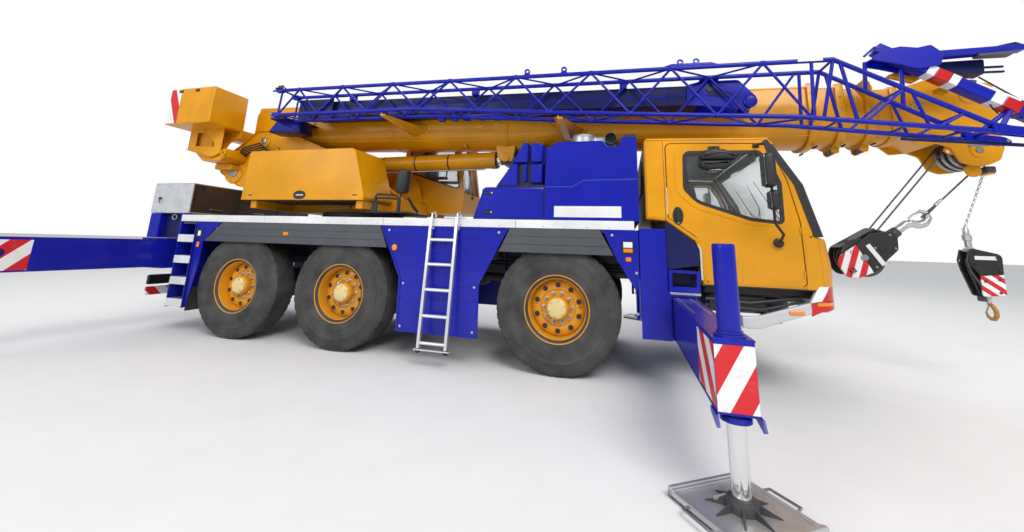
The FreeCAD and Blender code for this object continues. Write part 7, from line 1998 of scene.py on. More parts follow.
# the two gusseted arms that reach out under the jib's lower chord
for tip, root in (((2.69, 0.205), [(2.56, 0.24), (2.84, 0.345), (2.99, 0.199), (2.804, 0.058)]),
                  ((5.158, 0.095), [(4.9, 0.235), (5.3, 0.255), (5.44, 0.12), (5.2, -0.04)])):
    soft_block(base, "xz", rounded(root, 0.03, 3), -0.352, -0.328, YELLOW, 0.005, 2)
    (tu, tw), (ru, rw) = tip, root[0]
    base.hexa([(tu - 0.035, -1.105, tw - 0.045), (tu + 0.035, -1.105, tw - 0.045),
        (root[3][0] + 0.02, -0.35, root[3][1]), (root[3][0] - 0.09, -0.35, root[3][1] + 0.03),
        (tu - 0.035, -1.105, tw - 0.028), (tu + 0.035, -1.105, tw - 0.028),
        (root[2][0] - 0.05, -0.35, root[2][1]), (root[0][0], -0.35, rw)], YELLOW)
    base.hexa([(tu - 0.03, -1.1, tw - 0.028), (tu - 0.014, -1.1, tw - 0.028),
        (ru + 0.016, -0.35, rw - 0.02), (ru, -0.35, rw - 0.02), (tu - 0.03, -1.1, tw - 0.005),
        (tu - 0.014, -1.1, tw - 0.005), (ru + 0.016, -0.35, rw + 0.05), (ru, -0.35, rw + 0.05)], YELLOW)
    base.rod((tu - 0.045, -1.075, tw - 0.012), (tu + 0.045, -1.075, tw - 0.012), 0.02, BLACK, 16)
base.done()

for k in (1, 2, 3):
    inset = 0.018 * k
    end = 8.15 + 0.3 * k
    part = Build("boom_stage_%d_sleeve" % k, "stage_%d" % k, ["boom_stage_%d" % k], "yellow_paint")
    part.shift = boom_point
    if k < 3:
        sleeve(part, inset, end - 7.5, end, YELLOW)
        collar(part, inset, end - 0.09, end, YELLOW)
        for out in (-1, 1):
            for w in (0.2, 0.34, 0.48):
                part.lathe((end - 0.045, out * (HALF - inset + 0.034), w), (0, out, 0),
                    [(0.013, -0.002), (0.013, 0.008), (0, 0.009)], STEEL, 6, smooth=False)
            part.box((end - 0.001, end + 0.008), (out * 0.14, out * 0.24),
                (LOW + inset - 0.03, LOW + inset - 0.008), BLACK, 0.003)
        for y in (-0.2, 0, 0.2):
            part.lathe((end - 0.045, y, TOP - inset + 0.033), (0, 0, 1),
                [(0.012, 0), (0.012, 0.008), (0, 0.009)], STEEL, 6, smooth=False)
            part.box((end - 0.002, end + 0.008), (y - 0.05, y + 0.05),
                (TOP - inset + 0.006, TOP - inset + 0.028), BLACK, 0.003)
        # bracket with its roller under the collar
        part.prism("xz", [(end - 0.09, LOW + inset - 0.02), (end, LOW + inset - 0.02),
            (end - 0.01, LOW + inset - 0.085), (end - 0.05, LOW + inset - 0.1),
            (end - 0.085, LOW + inset - 0.075)], -0.11, -0.096, YELLOW)
        part.prism("xz", [(end - 0.09, LOW + inset - 0.02), (end, LOW + inset - 0.02),
            (end - 0.01, LOW + inset - 0.085), (end - 0.05, LOW + inset - 0.1),
            (end - 0.085, LOW + inset - 0.075)], 0.096, 0.11, YELLOW)
        part.rod((end - 0.045, -0.095, LOW + inset - 0.07), (end - 0.045, 0.095, LOW + inset - 0.07), 0.024,
            BLACK, 20)
    else:
        sleeve(part, inset, end - 7.5, 9.0, YELLOW)
        collar(part, inset, 8.92, 9.0, YELLOW, 0.02)
        head = rounded([(8.99, 0.56), (9.31, 0.68), (NOSE, 0.6), (NOSE, 0.31), (NOSE - 0.015, 0.12),
            (NOSE, -0.15), (NOSE - 0.05, -0.28), (NOSE - 0.15, -0.335), (NOSE - 0.29, -0.35),
            (NOSE - 0.4, -0.305), (NOSE - 0.47, -0.14), (NOSE - 0.59, -0.09), (9.135, -0.11), (8.99, 0.03)],
            [0.02, 0.12, 0.05, 0.1, 0.1, 0.08, 0.06, 0.05, 0.06, 0.05, 0.06, 0.08, 0.04, 0.05], 4)
        for out in (-1, 1):
            soft_block(part, "xz", head, out * 0.246, out * 0.275, YELLOW, 0.005, 2)
            # edge strips, bosses of both sheave axles, ribs
            for (pu, pw, r) in ((NOSE - 0.235, 0.46, 0.085), (NOSE - 0.23, -0.175, 0.075),
                    (9.18, 0.34, 0.06)):
                part.lathe((pu, out * 0.275, pw), (0, out, 0),
                    [(r + 0.008, 0), (r, 0.012), (r * 0.5, 0.013), (r * 0.5, 0.006), (0, 0.006)], YELLOW, 32)
                part.lathe((pu, out * 0.281, pw), (0, out, 0), [(r * 0.42, 0), (r * 0.42, 0.012),
                    (0, 0.013)], STEEL, 24)
                part.box((pu - r * 1.1, pu + r * 1.1), (out * 0.284, out * 0.294),
                    (pw + r * 0.55, pw + r * 0.95), STEEL, 0.002)
        for one, two in (((9.0, 0.545), (9.3, 0.655)), ((9.32, 0.655), (9.6, 0.62)),
                ((9.02, 0.02), (9.3, -0.085))):
            sloping_plate(part, one, two, -0.246, 0.246, 0.012, YELLOW)
        part.hexa([(9.05, -0.246, 0.03), (9.062, -0.246, 0.03), (9.062, 0.246, 0.03), (9.05, 0.246, 0.03),
            (9.05, -0.246, 0.53), (9.062, -0.246, 0.53), (9.062, 0.246, 0.53), (9.05, 0.246, 0.53)], YELLOW)

        def sheave(cu, cw, r, y, thick=0.044):
            h = thick / 2
            part.lathe((cu, y - h, cw), (0, 1, 0), [(0.045, 0), (0.045, thick), (0.075, thick),
                (0.078, thick - 0.01), (r - 0.05, thick - 0.014), (r - 0.035, thick), (r, thick),
                (r, thick - 0.006), (r - 0.024, h + 0.004), (r - 0.024, h - 0.004), (r, 0.006), (r, 0),
                (r - 0.035, 0), (r - 0.05, 0.014), (0.078, 0.01), (0.075, 0)], STEEL, 44, closed=True)
        for y in (-0.128, -0.028, 0.072, 0.172):
            sheave(NOSE - 0.235, 0.46, 0.2, y)
            if y < 0.1:
                sheave(NOSE - 0.23, -0.175, 0.18, y)
        part.rod((NOSE - 0.235, -0.246, 0.46), (NOSE - 0.235, 0.246, 0.46), 0.045, STEEL, 24)
        sheave(NOSE - 0.235, 0.46, 0.2, 0.022, 0.034)
        part.rod((NOSE - 0.23, -0.246, -0.175), (NOSE - 0.23, 0.246, -0.175), 0.045, STEEL, 24)
        part.rod((9.18, -0.246, 0.34), (9.18, 0.246, 0.34), 0.03, STEEL, 20)
        # ear under the head's rear, guard disc below the sheaves, small box in front
        ear = rounded([(NOSE - 0.47, -0.05), (NOSE - 0.515, -0.165), (NOSE - 0.475, -0.205),
            (NOSE - 0.38, -0.22), (NOSE - 0.34, -0.1)], [0.02, 0.03, 0.03, 0.03, 0.02], 4)
        soft_block(part, "xz", ear, -0.244, -0.215, YELLOW, 0.005, 2)
        part.lathe((NOSE - 0.482, -0.2445, -0.178), (0, -1, 0), [(0.017, 0), (0.017, 0.0015), (0, 0.0015)],
            CLEAR, 20)
        part.lathe((NOSE - 0.255, -0.205, -0.385), (0, 1, 0), [(0, 0), (0.068, 0), (0.074, 0.006),
            (0.074, 0.02), (0.068, 0.026), (0, 0.026)], YELLOW, 36)
        part.box((NOSE - 0.275, NOSE - 0.235), (-0.203, -0.18), (-0.385, -0.2), YELLOW, 0.004)
        part.box((NOSE - 0.115, NOSE - 0.03), (-0.17, 0.0), (-0.4, -0.33), IRON, 0.008)
        part.box((NOSE - 0.105, NOSE - 0.04), (-0.16, -0.02), (-0.415, -0.398), YELLOW, 0.004)
        for pu, pw in ((NOSE - 0.115, 0.2), (NOSE - 0.52, -0.02)):
            part.rod((pu, -0.246, pw), (pu, 0.246, pw), 0.012, STEEL, 12)
    part.done()

# lift cylinder: barrel with foot eye and gland, ram with its eye
FOOT = Vector((ax(-3.9), 0, 2.56))
EYE = Vector(boom_point(4.22, 0, -0.23))
along = (EYE - FOOT).normalized()
reach = (EYE - FOOT).length
barrel = Build("lift_cylinder_barrel", "lift_barrel", ["lift_barrel"], "cylinder_steel")
barrel.lathe(FOOT, along, [(0, 0.1), (0.095, 0.1), (0.118, 0.118), (0.125, 0.135), (0.125, reach - 0.268),
    (0.125, reach - 0.18), (0.088, reach - 0.18)], YELLOW, 56)
barrel.lathe(FOOT, along, [(0.127, reach - 0.273), (0.134, reach - 0.266), (0.134, reach - 0.193),
    (0.128, reach - 0.18)], YELLOW, 56)
barrel.lathe(FOOT, along, [(0.1285, reach - 0.193), (0.1295, reach - 0.191), (0.1295, reach - 0.171),
    (0.124, reach - 0.165), (0.09, reach - 0.165), (0.086, reach - 0.172)], BLACK, 56)
side = Vector((0, 1, 0))
up = along.cross(side)
for k in range(12):
    a = 2 * math.pi * k / 12 + 0.1
    spot = FOOT + along * (reach - 0.165) + (side * math.cos(a) + up * math.sin(a)) * 0.108
    barrel.lathe(spot, along, [(0.009, -0.001), (0.009, 0.01), (0, 0.011)], GALV, 8)
barrel.lathe(FOOT - Vector((0, 0.14, 0)), (0, 1, 0), [(0.042, 0), (0.104, 0), (0.11, 0.006), (0.11, 0.274),
    (0.104, 0.28), (0.042, 0.28)], YELLOW, 48, closed=True)
barrel.frustum(FOOT + along * 0.06, FOOT + along * 0.15, 0.095, 0.118, YELLOW, 40)
# oil pipe along the barrel with clamps
start = FOOT + along * 0.3 - side * 0.02 - up * 0.138
stop = FOOT + along * (reach - 0.38) - side * 0.02 - up * 0.138
barrel.tube([FOOT + along * 0.22 - up * 0.1, start, stop, stop + along * 0.03 + up * 0.02], 0.012, STEEL, 10)
for t in (0.25, 0.5, 0.75):
    p = start.lerp(stop, t)
    barrel.lathe(FOOT + along * ((p - FOOT).dot(along) - 0.012), along, [(0.1255, 0), (0.1275, 0.002),
        (0.1275, 0.022), (0.1255, 0.024)], BLACK, 48)
barrel.done()

ram = Build("lift_cylinder_ram", "lift_ram", ["lift_ram"], "ram_chrome")
ram.lathe(FOOT, along, [(0, 0.2), (0.085, 0.2), (0.085, reach - 0.095)], CHROME, 48)
ram.lathe(EYE - Vector((0, 0.138, 0)), (0, 1, 0), [(0.038, 0), (0.099, 0), (0.105, 0.006), (0.105, 0.27),
    (0.099, 0.276), (0.038, 0.276)], GREY_DARK, 48, closed=True)
ram.rod(EYE - Vector((0, 0.188, 0)), EYE + Vector((0, 0.188, 0)), 0.0395, STEEL, 28)
ram.done()


# Lattice jib along the boom's side, with its box section and fittings

UPPER = [(0.86, 0.612), (8.03, 0.622), (9.32, -0.165)]
LOWER = [(0.86, 0.222), (3.17, 0.24), (5.15, 0.127), (7.68, 0.0), (9.44, -0.205)]
NEAR, FAR = -1.1, -0.78


def level(chord, u):
    """Height of a chord's line at a station."""
    for (u0, w0), (u1, w1) in zip(chord, chord[1:]):
        if u <= u1:
            return w0 + (w1 - w0) * (u - u0) / (u1 - u0)
    return chord[-1][1]


jib = Build("lattice_jib", "boom", ["jib"], "blue_paint")
jib.shift = boom_point


def weld_ring(b, u, y, w, r):
    """The swelling where bars meet on a chord."""
    b.lathe((u, y, w), (1, 0, 0), [(r, -0.03), (r + 0.005, -0.018), (r + 0.006, 0), (r + 0.005, 0.018),
        (r, 0.03)], BLUE, 14)


for y in (NEAR, FAR):
    jib.tube([(u, y, w) for u, w in UPPER], 0.026, BLUE, 14)
    jib.tube([(u, y, w) for u, w in LOWER], 0.026, BLUE, 14)
# zigzag stations read from the photograph; the far side has them the other way up
HIGH = [1.21, 1.973, 2.794, 3.658, 4.575, 5.521, 6.434, 7.379]
DEEP_AT = [0.88, 1.591, 2.399, 3.21, 4.104, 5.021, 5.977, 6.895, 7.791]
for k, u in enumerate(HIGH):
    for y, tops, feet in ((NEAR, UPPER, LOWER), (FAR, LOWER, UPPER)):
        for v in (DEEP_AT[k], DEEP_AT[k + 1]):
            jib.tube([(u, y, level(tops, u)), (v, y, level(feet, v))], 0.0145, BLUE, 10)
    weld_ring(jib, u, NEAR, level(UPPER, u), 0.026)
for u in DEEP_AT[1:]:
    weld_ring(jib, u, NEAR, level(LOWER, u), 0.026)
# the doubled posts and the tapering front bay
for y in (NEAR, FAR):
    for (u, v) in ((0.9, 0.88), (7.832, 7.812), (8.03, 7.896), (8.09, 8.187), (8.604, 8.253),
            (8.665, 8.765), (9.05, 8.83)):
        jib.tube([(u, y, level(UPPER, u)), (v, y, level(LOWER, v))], 0.0175 if u > 7.8 and u < 8.1
            else 0.0145, BLUE, 12)
# bracing across the top and bottom faces
for chord, stations in ((UPPER, HIGH), (LOWER, DEEP_AT)):
    for one, two in zip(stations, stations[1:]):
        mid = (one + two) / 2
        jib.tube([(one, NEAR, level(chord, one)), (mid, FAR, level(chord, mid))], 0.012, BLUE, 8)
        jib.tube([(mid, FAR, level(chord, mid)), (two, NEAR, level(chord, two))], 0.012, BLUE, 8)
for u in (0.9, 8.03, 8.6, 9.05):
    for chord in (UPPER, LOWER):
        jib.tube([(u, NEAR, level(chord, u)), (u, FAR, level(chord, u))], 0.014, BLUE, 8)
# rear end: forked plates with pins, the black fitting on the upper chord
for y in (NEAR, FAR):
    for chord in (UPPER, LOWER):
        u, w = chord[0]
        for s in (-1, 1):
            plate = rounded([(u - 0.085, w - 0.03), (u - 0.085, w + 0.03), (u + 0.03, w + 0.036),
                (u + 0.11, w + 0.012), (u + 0.11, w - 0.012), (u + 0.03, w - 0.036)],
                [0.025, 0.025, 0.01, 0.005, 0.005, 0.01], 3)
            jib.prism("xz", plate, y + s * 0.02, y + s * 0.03, BLUE)
        jib.rod((u - 0.055, y - 0.042, w), (u - 0.055, y + 0.042, w), 0.013, STEEL, 14)
for dz, dx in ((0.052, -0.035), (0.06, 0.02)):
    jib.lathe((0.86 + dx, NEAR, 0.612 + dz - 0.03), (0, 0, 1), [(0.012, 0), (0.012, 0.035), (0.02, 0.036),
        (0.02, 0.05), (0, 0.052)], BLACK, 8, smooth=False)
jib.box((0.8, 0.905), (NEAR - 0.05, NEAR + 0.05), (0.628, 0.648), BLACK, 0.004)
jib.tube([(0.8, NEAR, 0.65), (0.83, NEAR, 0.685), (0.9, NEAR, 0.672), (0.95, NEAR, 0.64)], 0.008, BLACK, 8)
jib.tube([(0.74, NEAR - 0.02, 0.6), (0.8, NEAR - 0.02, 0.604)], 0.012, BLACK, 8)
jib.tube([(0.74, NEAR + 0.03, 0.632), (0.82, NEAR + 0.03, 0.63)], 0.01, BLACK, 8)
# shaded panel inside the rear bays
jib.box((0.93, 1.56), (FAR + 0.012, FAR + 0.024), (0.262, 0.575), SHADE_AND_SEAM_BLUE, 0.003)
# bracket box under the rear end, with its pin
rear_box = rounded([(0.378, 0.05), (0.493, 0.199), (0.538, 0.262), (0.965, 0.262), (1.016, 0.04)],
    [0.02, 0.03, 0.02, 0.02, 0.02], 3)
soft_block(jib, "xz", rear_box, -0.76, -0.5, SHADE_AND_SEAM_BLUE, 0.006, 2)
jib.prism("xz", drawn_in(rear_box, 0.03), -0.766, -0.759, BLUE)
jib.lathe((0.47, -0.762, 0.095), (0, -1, 0), [(0.03, 0), (0.03, 0.012), (0.016, 0.014), (0, 0.014)], BLUE, 20)
jib.box((0.56, 0.95), (-0.505, -0.33), (0.236, 0.262), SHADE_AND_SEAM_BLUE, 0.004)
jib.box((0.6, 0.9), (-0.96, -0.755), (0.205, 0.235), SHADE_AND_SEAM_BLUE, 0.004)
jib.rod((0.88, -0.8, 0.205), (0.88, -0.7, 0.205), 0.016, STEEL, 12)
# the box jib, near-black blue as painted shade under the truss, with its seams, and its pointed head with a
# round boss
soft_block(jib, "xz", rounded([(1.1, 0.3), (1.1, 0.56), (6.78, 0.56), (6.78, 0.3)], 0.02, 3), -0.7, -0.392,
    SHADE_AND_SEAM_BLUE, 0.012, 3)
for u in (2.0, 2.9, 3.8, 4.7, 5.6, 6.4):
    jib.box((u - 0.004, u + 0.004), (-0.7015, -0.698), (0.31, 0.55), BLUE)
jib.box((1.12, 6.76), (-0.7025, -0.699), (0.424, 0.436), BLUE, 0.001)
head_plate = rounded([(6.65, 0.3), (6.65, 0.56), (6.806, 0.6), (7.224, 0.6), (7.411, 0.373), (7.404, 0.271),
    (7.309, 0.229), (6.927, 0.28)], [0.01, 0.02, 0.04, 0.06, 0.07, 0.06, 0.05, 0.05], 4)
for y in (-0.712, -0.42):
    soft_block(jib, "xz", head_plate, y - 0.012, y + 0.012, BLUE, 0.004, 2)
jib.rod((7.335, -0.74, 0.318), (7.335, -0.392, 0.318), 0.05, BLUE, 28)
jib.lathe((7.335, -0.74, 0.318), (0, -1, 0), [(0.072, -0.014), (0.072, 0.008), (0.06, 0.016), (0.03, 0.018),
    (0.028, 0.012), (0, 0.012)], BLUE, 32)
jib.lathe((6.905, -0.726, 0.5), (0, -1, 0), [(0.045, 0), (0.045, 0.006), (0.03, 0.008), (0.028, 0.002),
    (0, 0.002)], BLACK, 24)
jib.prism("xz", [(6.86, 0.42), (7.18, 0.36), (7.22, 0.4), (7.0, 0.5)], -0.7285, -0.724, SHADE_AND_SEAM_BLUE)
# keepers under the box jib, seen as short blocks below the chords
for u in (3.42, 3.62, 3.8, 4.02, 4.24):
    jib.box((u - 0.045, u + 0.045), (-0.775, -0.715), (0.165, 0.225), BLUE, 0.006)
jib.box((3.36, 4.3), (-0.775, -0.715), (0.222, 0.25), BLUE, 0.005)
# brackets that hold the box section to the boom's side
for u in (1.9, 3.9, 5.9):
    jib.box((u - 0.045, u + 0.045), (-0.395, -0.3305), (0.335, 0.525), BLUE, 0.006)
    jib.box((u - 0.045, u + 0.045), (-0.79, -0.7), (0.53, 0.6385), BLUE, 0.006)
# lifting eyes on the upper chords
def eye(u, y, w):
    jib.lathe((u, y - 0.009, w + 0.045), (0, 1, 0), [(0.018, 0), (0.036, 0), (0.036, 0.018),
        (0.018, 0.018)], BLUE, 24, closed=True)
    jib.prism("xz", [(u - 0.045, w), (u + 0.045, w), (u + 0.024, w + 0.03), (u - 0.024, w + 0.03)],
        y - 0.008, y + 0.008, BLUE)


for u in (4.72, 5.19):
    eye(u, NEAR, level(UPPER, u) + 0.022)
for u in (6.533, 6.704):
    eye(u, NEAR, level(UPPER, u) + 0.026)
jib.prism("xz", [(6.36, 0.645), (6.92, 0.645), (6.86, 0.668), (6.44, 0.672)], NEAR - 0.012, NEAR + 0.012,
    BLUE)
jib.box((6.8, 7.02), (-0.8, -0.6), (0.618, 0.64), BLUE, 0.005)
# bare pale plate near the chord's bend
jib.box((7.7, 7.93), (NEAR - 0.0285, NEAR - 0.0265), (0.606, 0.64), WHITE, 0.001)
# front end of the chords: fork and pin
for y in (NEAR, FAR):
    tip = rounded([(9.22, -0.1), (9.36, -0.14), (9.52, -0.165), (9.58, -0.205), (9.55, -0.25),
        (9.44, -0.238), (9.22, -0.205)], [0.01, 0.03, 0.03, 0.03, 0.03, 0.03, 0.01], 3)
    for s in (-1, 1):
        jib.prism("xz", tip, y + s * 0.018, y + s * 0.03, BLUE)
    jib.rod((9.535, y - 0.045, -0.208), (9.535, y + 0.045, -0.208), 0.014, STEEL, 14)
jib.tube([(9.3, NEAR, -0.155), (9.3, FAR, -0.155)], 0.022, BLUE, 12)
# lower front stay and its grey link
jib.tube([(8.7, FAR, -0.165), (9.5, NEAR + 0.05, -0.31)], 0.017, SHADE_AND_SEAM_BLUE, 10)
jib.box((9.36, 9.56), (-0.98, -0.955), (-0.292, -0.272), ALU, 0.003)
jib.done()

# the folded end of the jib above the head: sloping banded beam, top plates and beam
fold = Build("jib_folded_end", "boom", (), "blue_paint")
fold.shift = boom_point
SLOPE = math.atan2(0.08 - 0.62, 9.71 - 8.9)


def along_beam(s, h):
    """A point on the sloping beam: distance along it and height over its middle."""
    return (8.56 + s * math.cos(SLOPE) - h * math.sin(SLOPE),
        0.846 + s * math.sin(SLOPE) + h * math.cos(SLOPE))


def beam_block(s0, s1, half, y0, y1, mat, soft=0.008):
    pts = [along_beam(s0, -half), along_beam(s0, half), along_beam(s1, half), along_beam(s1, -half)]
    soft_block(fold, "xz", rounded(pts, 0.004, 2), y0, y1, mat, soft, 2)


beam_block(0.0, 1.53, 0.055, -0.865, -0.735, BLUE)
beam_block(0.5, 0.575, 0.0562, -0.8665, -0.7335, WHITE, 0.006)
beam_block(0.5755, 0.705, 0.0562, -0.8665, -0.7335, REDLENS, 0.006)
beam_block(0.7055, 0.785, 0.0562, -0.8665, -0.7335, WHITE, 0.006)
beam_block(1.08, 1.18, 0.0562, -0.8665, -0.7335, WHITE, 0.006)
beam_block(1.1805, 1.32, 0.0562, -0.8665, -0.7335, REDLENS, 0.006)
beam_block(0.27, 0.42, 0.03, -0.8668, -0.86, WHITE, 0.002)
top_plate = rounded([(8.439, 0.7), (8.615, 0.8), (8.753, 0.825), (8.895, 0.8), (9.011, 0.825),
    (9.111, 0.719), (9.07, 0.596), (8.894, 0.562), (8.64, 0.647)], 0.03, 3)
for y in (-0.88, -0.7):
    soft_block(fold, "xz", top_plate, y - 0.01, y + 0.01, BLUE, 0.004, 2)
fold.tube([(8.46, -0.8, 0.77), (8.565, -0.8, 0.872), (8.6, -0.8, 0.868)], 0.012, BLUE, 10)
fold.tube([(8.565, -0.8, 0.872), (8.64, -0.8, 0.8)], 0.01, BLUE, 10)
soft_block(fold, "xz", rounded([(8.895, 0.69), (8.895, 0.768), (9.8, 0.795), (9.8, 0.735)], 0.012, 3),
    -0.85, -0.74, BLUE, 0.012, 2)
soft_block(fold, "xz", rounded([(9.52, 0.745), (9.6, 0.8), (9.74, 0.83), (9.8, 0.8), (9.8, 0.745)], 0.02,
    3), -0.83, -0.76, SHADE_AND_SEAM_BLUE, 0.008, 2)
soft_block(fold, "xz", rounded([(8.95, 0.7), (9.56, 0.715), (9.545, 0.545), (9.06, 0.6)], 0.02, 3), -0.7,
    -0.56, SHADE_AND_SEAM_BLUE, 0.01, 2)
for w in (0.64, 0.585):
    fold.box((9.5, 9.74), (-0.66, -0.63), (w - 0.01, w + 0.01), SHADE_AND_SEAM_BLUE, 0.005)
fold.box((9.42, 9.7), (-0.84, -0.75), (0.69, 0.742), GREY_DARK, 0.008)
# yellow guides and pins between the jib and the stages
soft_block(fold, "xz", rounded([(8.728, 0.6), (8.815, 0.636), (9.014, 0.625), (9.04, 0.55), (8.969, 0.51),
    (8.781, 0.58)], 0.015, 3), -0.64, -0.575, YELLOW, 0.008, 2)
fold.lathe((8.99, -0.641, 0.58), (0, -1, 0), [(0.03, 0), (0.03, 0.01), (0.012, 0.012), (0, 0.012)], YELLOW,
    20)
soft_block(fold, "xz", rounded([(8.493, 0.545), (8.599, 0.638), (8.642, 0.586), (8.64, 0.38),
    (8.584, 0.394)], 0.012, 3), -0.5, -0.44, YELLOW, 0.008, 2)
soft_block(fold, "xz", rounded([(9.297, 0.512), (9.402, 0.531), (9.4, 0.447), (9.301, 0.463)], 0.012, 3),
    -0.42, -0.34, YELLOW, 0.008, 2)
# pale spring cylinder on the beam, its rod and the hose loop below
(p0u, p0w), (p1u, p1w) = along_beam(0.905, 0.08), along_beam(1.3, 0.085)
fold.frustum((p0u, -0.8, p0w), (p1u, -0.8, p1w), 0.03, 0.03, CLEAR, 24)
fold.frustum((p0u - 0.035, -0.8, p0w + 0.02), (p0u + 0.01, -0.8, p0w), 0.022, 0.034, BLACK, 18)
(q0u, q0w), (q1u, q1w) = along_beam(0.915, 0.165), along_beam(1.37, 0.1)
fold.tube([(q0u, -0.8, q0w), (q1u, -0.8, q1w)], 0.008, BLACK, 10)
loop = [along_beam(1.12 + 0.035 * k, -0.055 - 0.06 * math.sin(math.pi * k / 8)) for k in range(9)]
fold.tube([(u, -0.8, w) for u, w in loop], 0.006, HOSE, 8)
# struts that tie the folded end down to the lattice
for u, w in ((8.46, 0.7), (8.78, 0.6)):
    fold.tube([(u, -0.8, w), (u - 0.02, FAR, level(UPPER, u))], 0.02, BLUE, 12)
fold.tube([(9.62, -0.8, 0.13), (9.3, NEAR, -0.15)], 0.022, BLUE, 12)
fold.tube([(9.62, -0.8, 0.13), (9.3, FAR, -0.15)], 0.022, BLUE, 12)
fold.done()

# Main hook block, stowed: cheeks, striped sheave guard, hook held up by its sling

STRIPE_HOOK = striped("stripes_hook", (0.85, 0, -0.3), 0.055, offset=0.1)
STRIPE_SMALL = striped("stripes_small", (0.62, 0, 0.75), 0.045)
BX = 3.49
hook = Build("main_hook_block", "main_hook", ["main_hook"], "striped_paint")


def at_block(points):
    return [(ax(BX + dx), z) for dx, z in points]


cheek = rounded(at_block([(-0.191, 1.473), (-0.055, 1.595), (0.168, 1.634), (0.215, 1.574), (0.204, 1.425),
    (-0.058, 1.167)]), [0.01, 0.05, 0.04, 0.04, 0.05, 0.01], 4)
guard = rounded(at_block([(-0.191, 1.473), (-0.058, 1.167), (-0.194, 1.103), (-0.319, 1.097),
    (-0.406, 1.259), (-0.356, 1.35)]), [0.01, 0.01, 0.08, 0.08, 0.1, 0.06], 5)
far_cheek = rounded(at_block([(-0.4, 1.259), (-0.345, 1.442), (0.046, 1.68), (0.23, 1.65), (0.215, 1.4),
    (-0.058, 1.167), (-0.3, 1.113)]), [0.1, 0.08, 0.06, 0.05, 0.05, 0.03, 0.1], 5)
soft_block(hook, "xz", cheek, -0.17, -0.14, BLACK, 0.006, 2)
soft_block(hook, "xz", guard, -0.168, -0.142, STRIPE_HOOK, 0.008, 2)
soft_block(hook, "xz", far_cheek, 0.09, 0.12, BLACK, 0.006, 2)
soft_block(hook, "xz", drawn_in(far_cheek, 0.028), -0.06, -0.03, BLACK, 0.005, 2)
# sheaves between the cheeks and the pin that carries them
pin = Vector((ax(BX - 0.13), 0, 1.33))
for y in (-0.11, 0.03):
    hook.lathe(pin + Vector((0, y - 0.024, 0)), (0, 1, 0), [(0.03, 0), (0.03, 0.048), (0.06, 0.048),
        (0.1, 0.036), (0.17, 0.036), (0.2, 0.048), (0.215, 0.048), (0.192, 0.028), (0.192, 0.02),
        (0.215, 0), (0.2, 0), (0.17, 0.012), (0.1, 0.012), (0.06, 0)], IRON, 44, closed=True)
hook.rod(pin - Vector((0, 0.184, 0)), pin + Vector((0, 0.132, 0)), 0.034, STEEL, 24)
for dx, z in ((-0.02, 1.44), (0.14, 1.59), (-0.03, 1.23), (0.175, 1.44)):
    hook.rod((ax(BX + dx), -0.178, z), (ax(BX + dx), 0.126, z), 0.013, STEEL, 14)
hook.lathe((ax(BX + 0.06), -0.171, 1.425), (0, -1, 0), [(0.034, 0), (0.034, 0.005), (0.022, 0.006),
    (0.02, 0.001), (0, 0.001)], BLACK, 24)
hook.tube([(ax(BX - 0.255), -0.172, 1.215), (ax(BX - 0.235), -0.19, 1.175), (ax(BX - 0.275), -0.19, 1.16),
    (ax(BX - 0.29), -0.172, 1.195)], 0.008, IRON, 8)
hook.lathe((ax(BX - 0.245), -0.1695, 1.385), (0, -1, 0), [(0.02, 0), (0.02, 0.0012), (0.012, 0.0012)],
    REDLENS, 20)
# bare white plate on the near cheek
a, c = Vector((ax(BX - 0.085), -0.1715, 1.475)), Vector((ax(BX + 0.045), -0.1715, 1.255))
n = Vector((0.02, 0, 0.013))
hook.hexa([tuple(a - n), tuple(c - n), tuple(c + n), tuple(a + n), tuple(a - n + Vector((0, -0.003, 0))),
    tuple(c - n + Vector((0, -0.003, 0))), tuple(c + n + Vector((0, -0.003, 0))),
    tuple(a + n + Vector((0, -0.003, 0)))], WHITE)
# top plate over the sheaves
edge = [(-0.345, 1.442), (-0.191, 1.53), (0.02, 1.665)]
for (x0, z0), (x1, z1) in zip(edge, edge[1:]):
    hook.hexa([(ax(BX + x0), -0.14, z0 - 0.012), (ax(BX + x1), -0.14, z1 - 0.012),
        (ax(BX + x1), 0.092, z1 - 0.012), (ax(BX + x0), 0.092, z0 - 0.012), (ax(BX + x0), -0.14, z0),
        (ax(BX + x1), -0.14, z1), (ax(BX + x1), 0.092, z1), (ax(BX + x0), 0.092, z0)], BLACK)
# shank, hook and safety latch, all held up by the sling
def P(dx, z):
    return (ax(BX + dx), -0.025, z)


hook.frustum(P(0.18, 1.56), P(0.29, 1.64), 0.062, 0.055, IRON, 28)
hook.frustum(P(0.27, 1.628), P(0.4, 1.735), 0.048, 0.04, GALV, 28)
bow = [(0.37, 1.7, 0.04), (0.43, 1.735, 0.042), (0.5, 1.715, 0.044), (0.56, 1.735, 0.044),
    (0.602, 1.79, 0.038), (0.596, 1.85, 0.028), (0.545, 1.872, 0.018), (0.5, 1.855, 0.008)]
for (x0, z0, r0), (x1, z1, r1) in zip(bow, bow[1:]):
    hook.frustum(P(x0, z0), P(x1, z1), r0, r1, GALV, 20)
    hook.lathe(P(x1, z1), (0, 1, 0), [(0, -r1), (r1 * 0.7, -r1 * 0.7), (r1, 0), (r1 * 0.7, r1 * 0.7),
        (0, r1)], GALV, 16)
hook.tube([P(0.42, 1.79), P(0.47, 1.835), P(0.545, 1.868)], 0.01, STEEL, 8)
# rope falls from the head's lower sheaves, and the doubled sling
CENTRE = boom_point(NOSE - 0.23, 0, -0.175)
LIFT = 0.18 + 0.009 + 0.0003


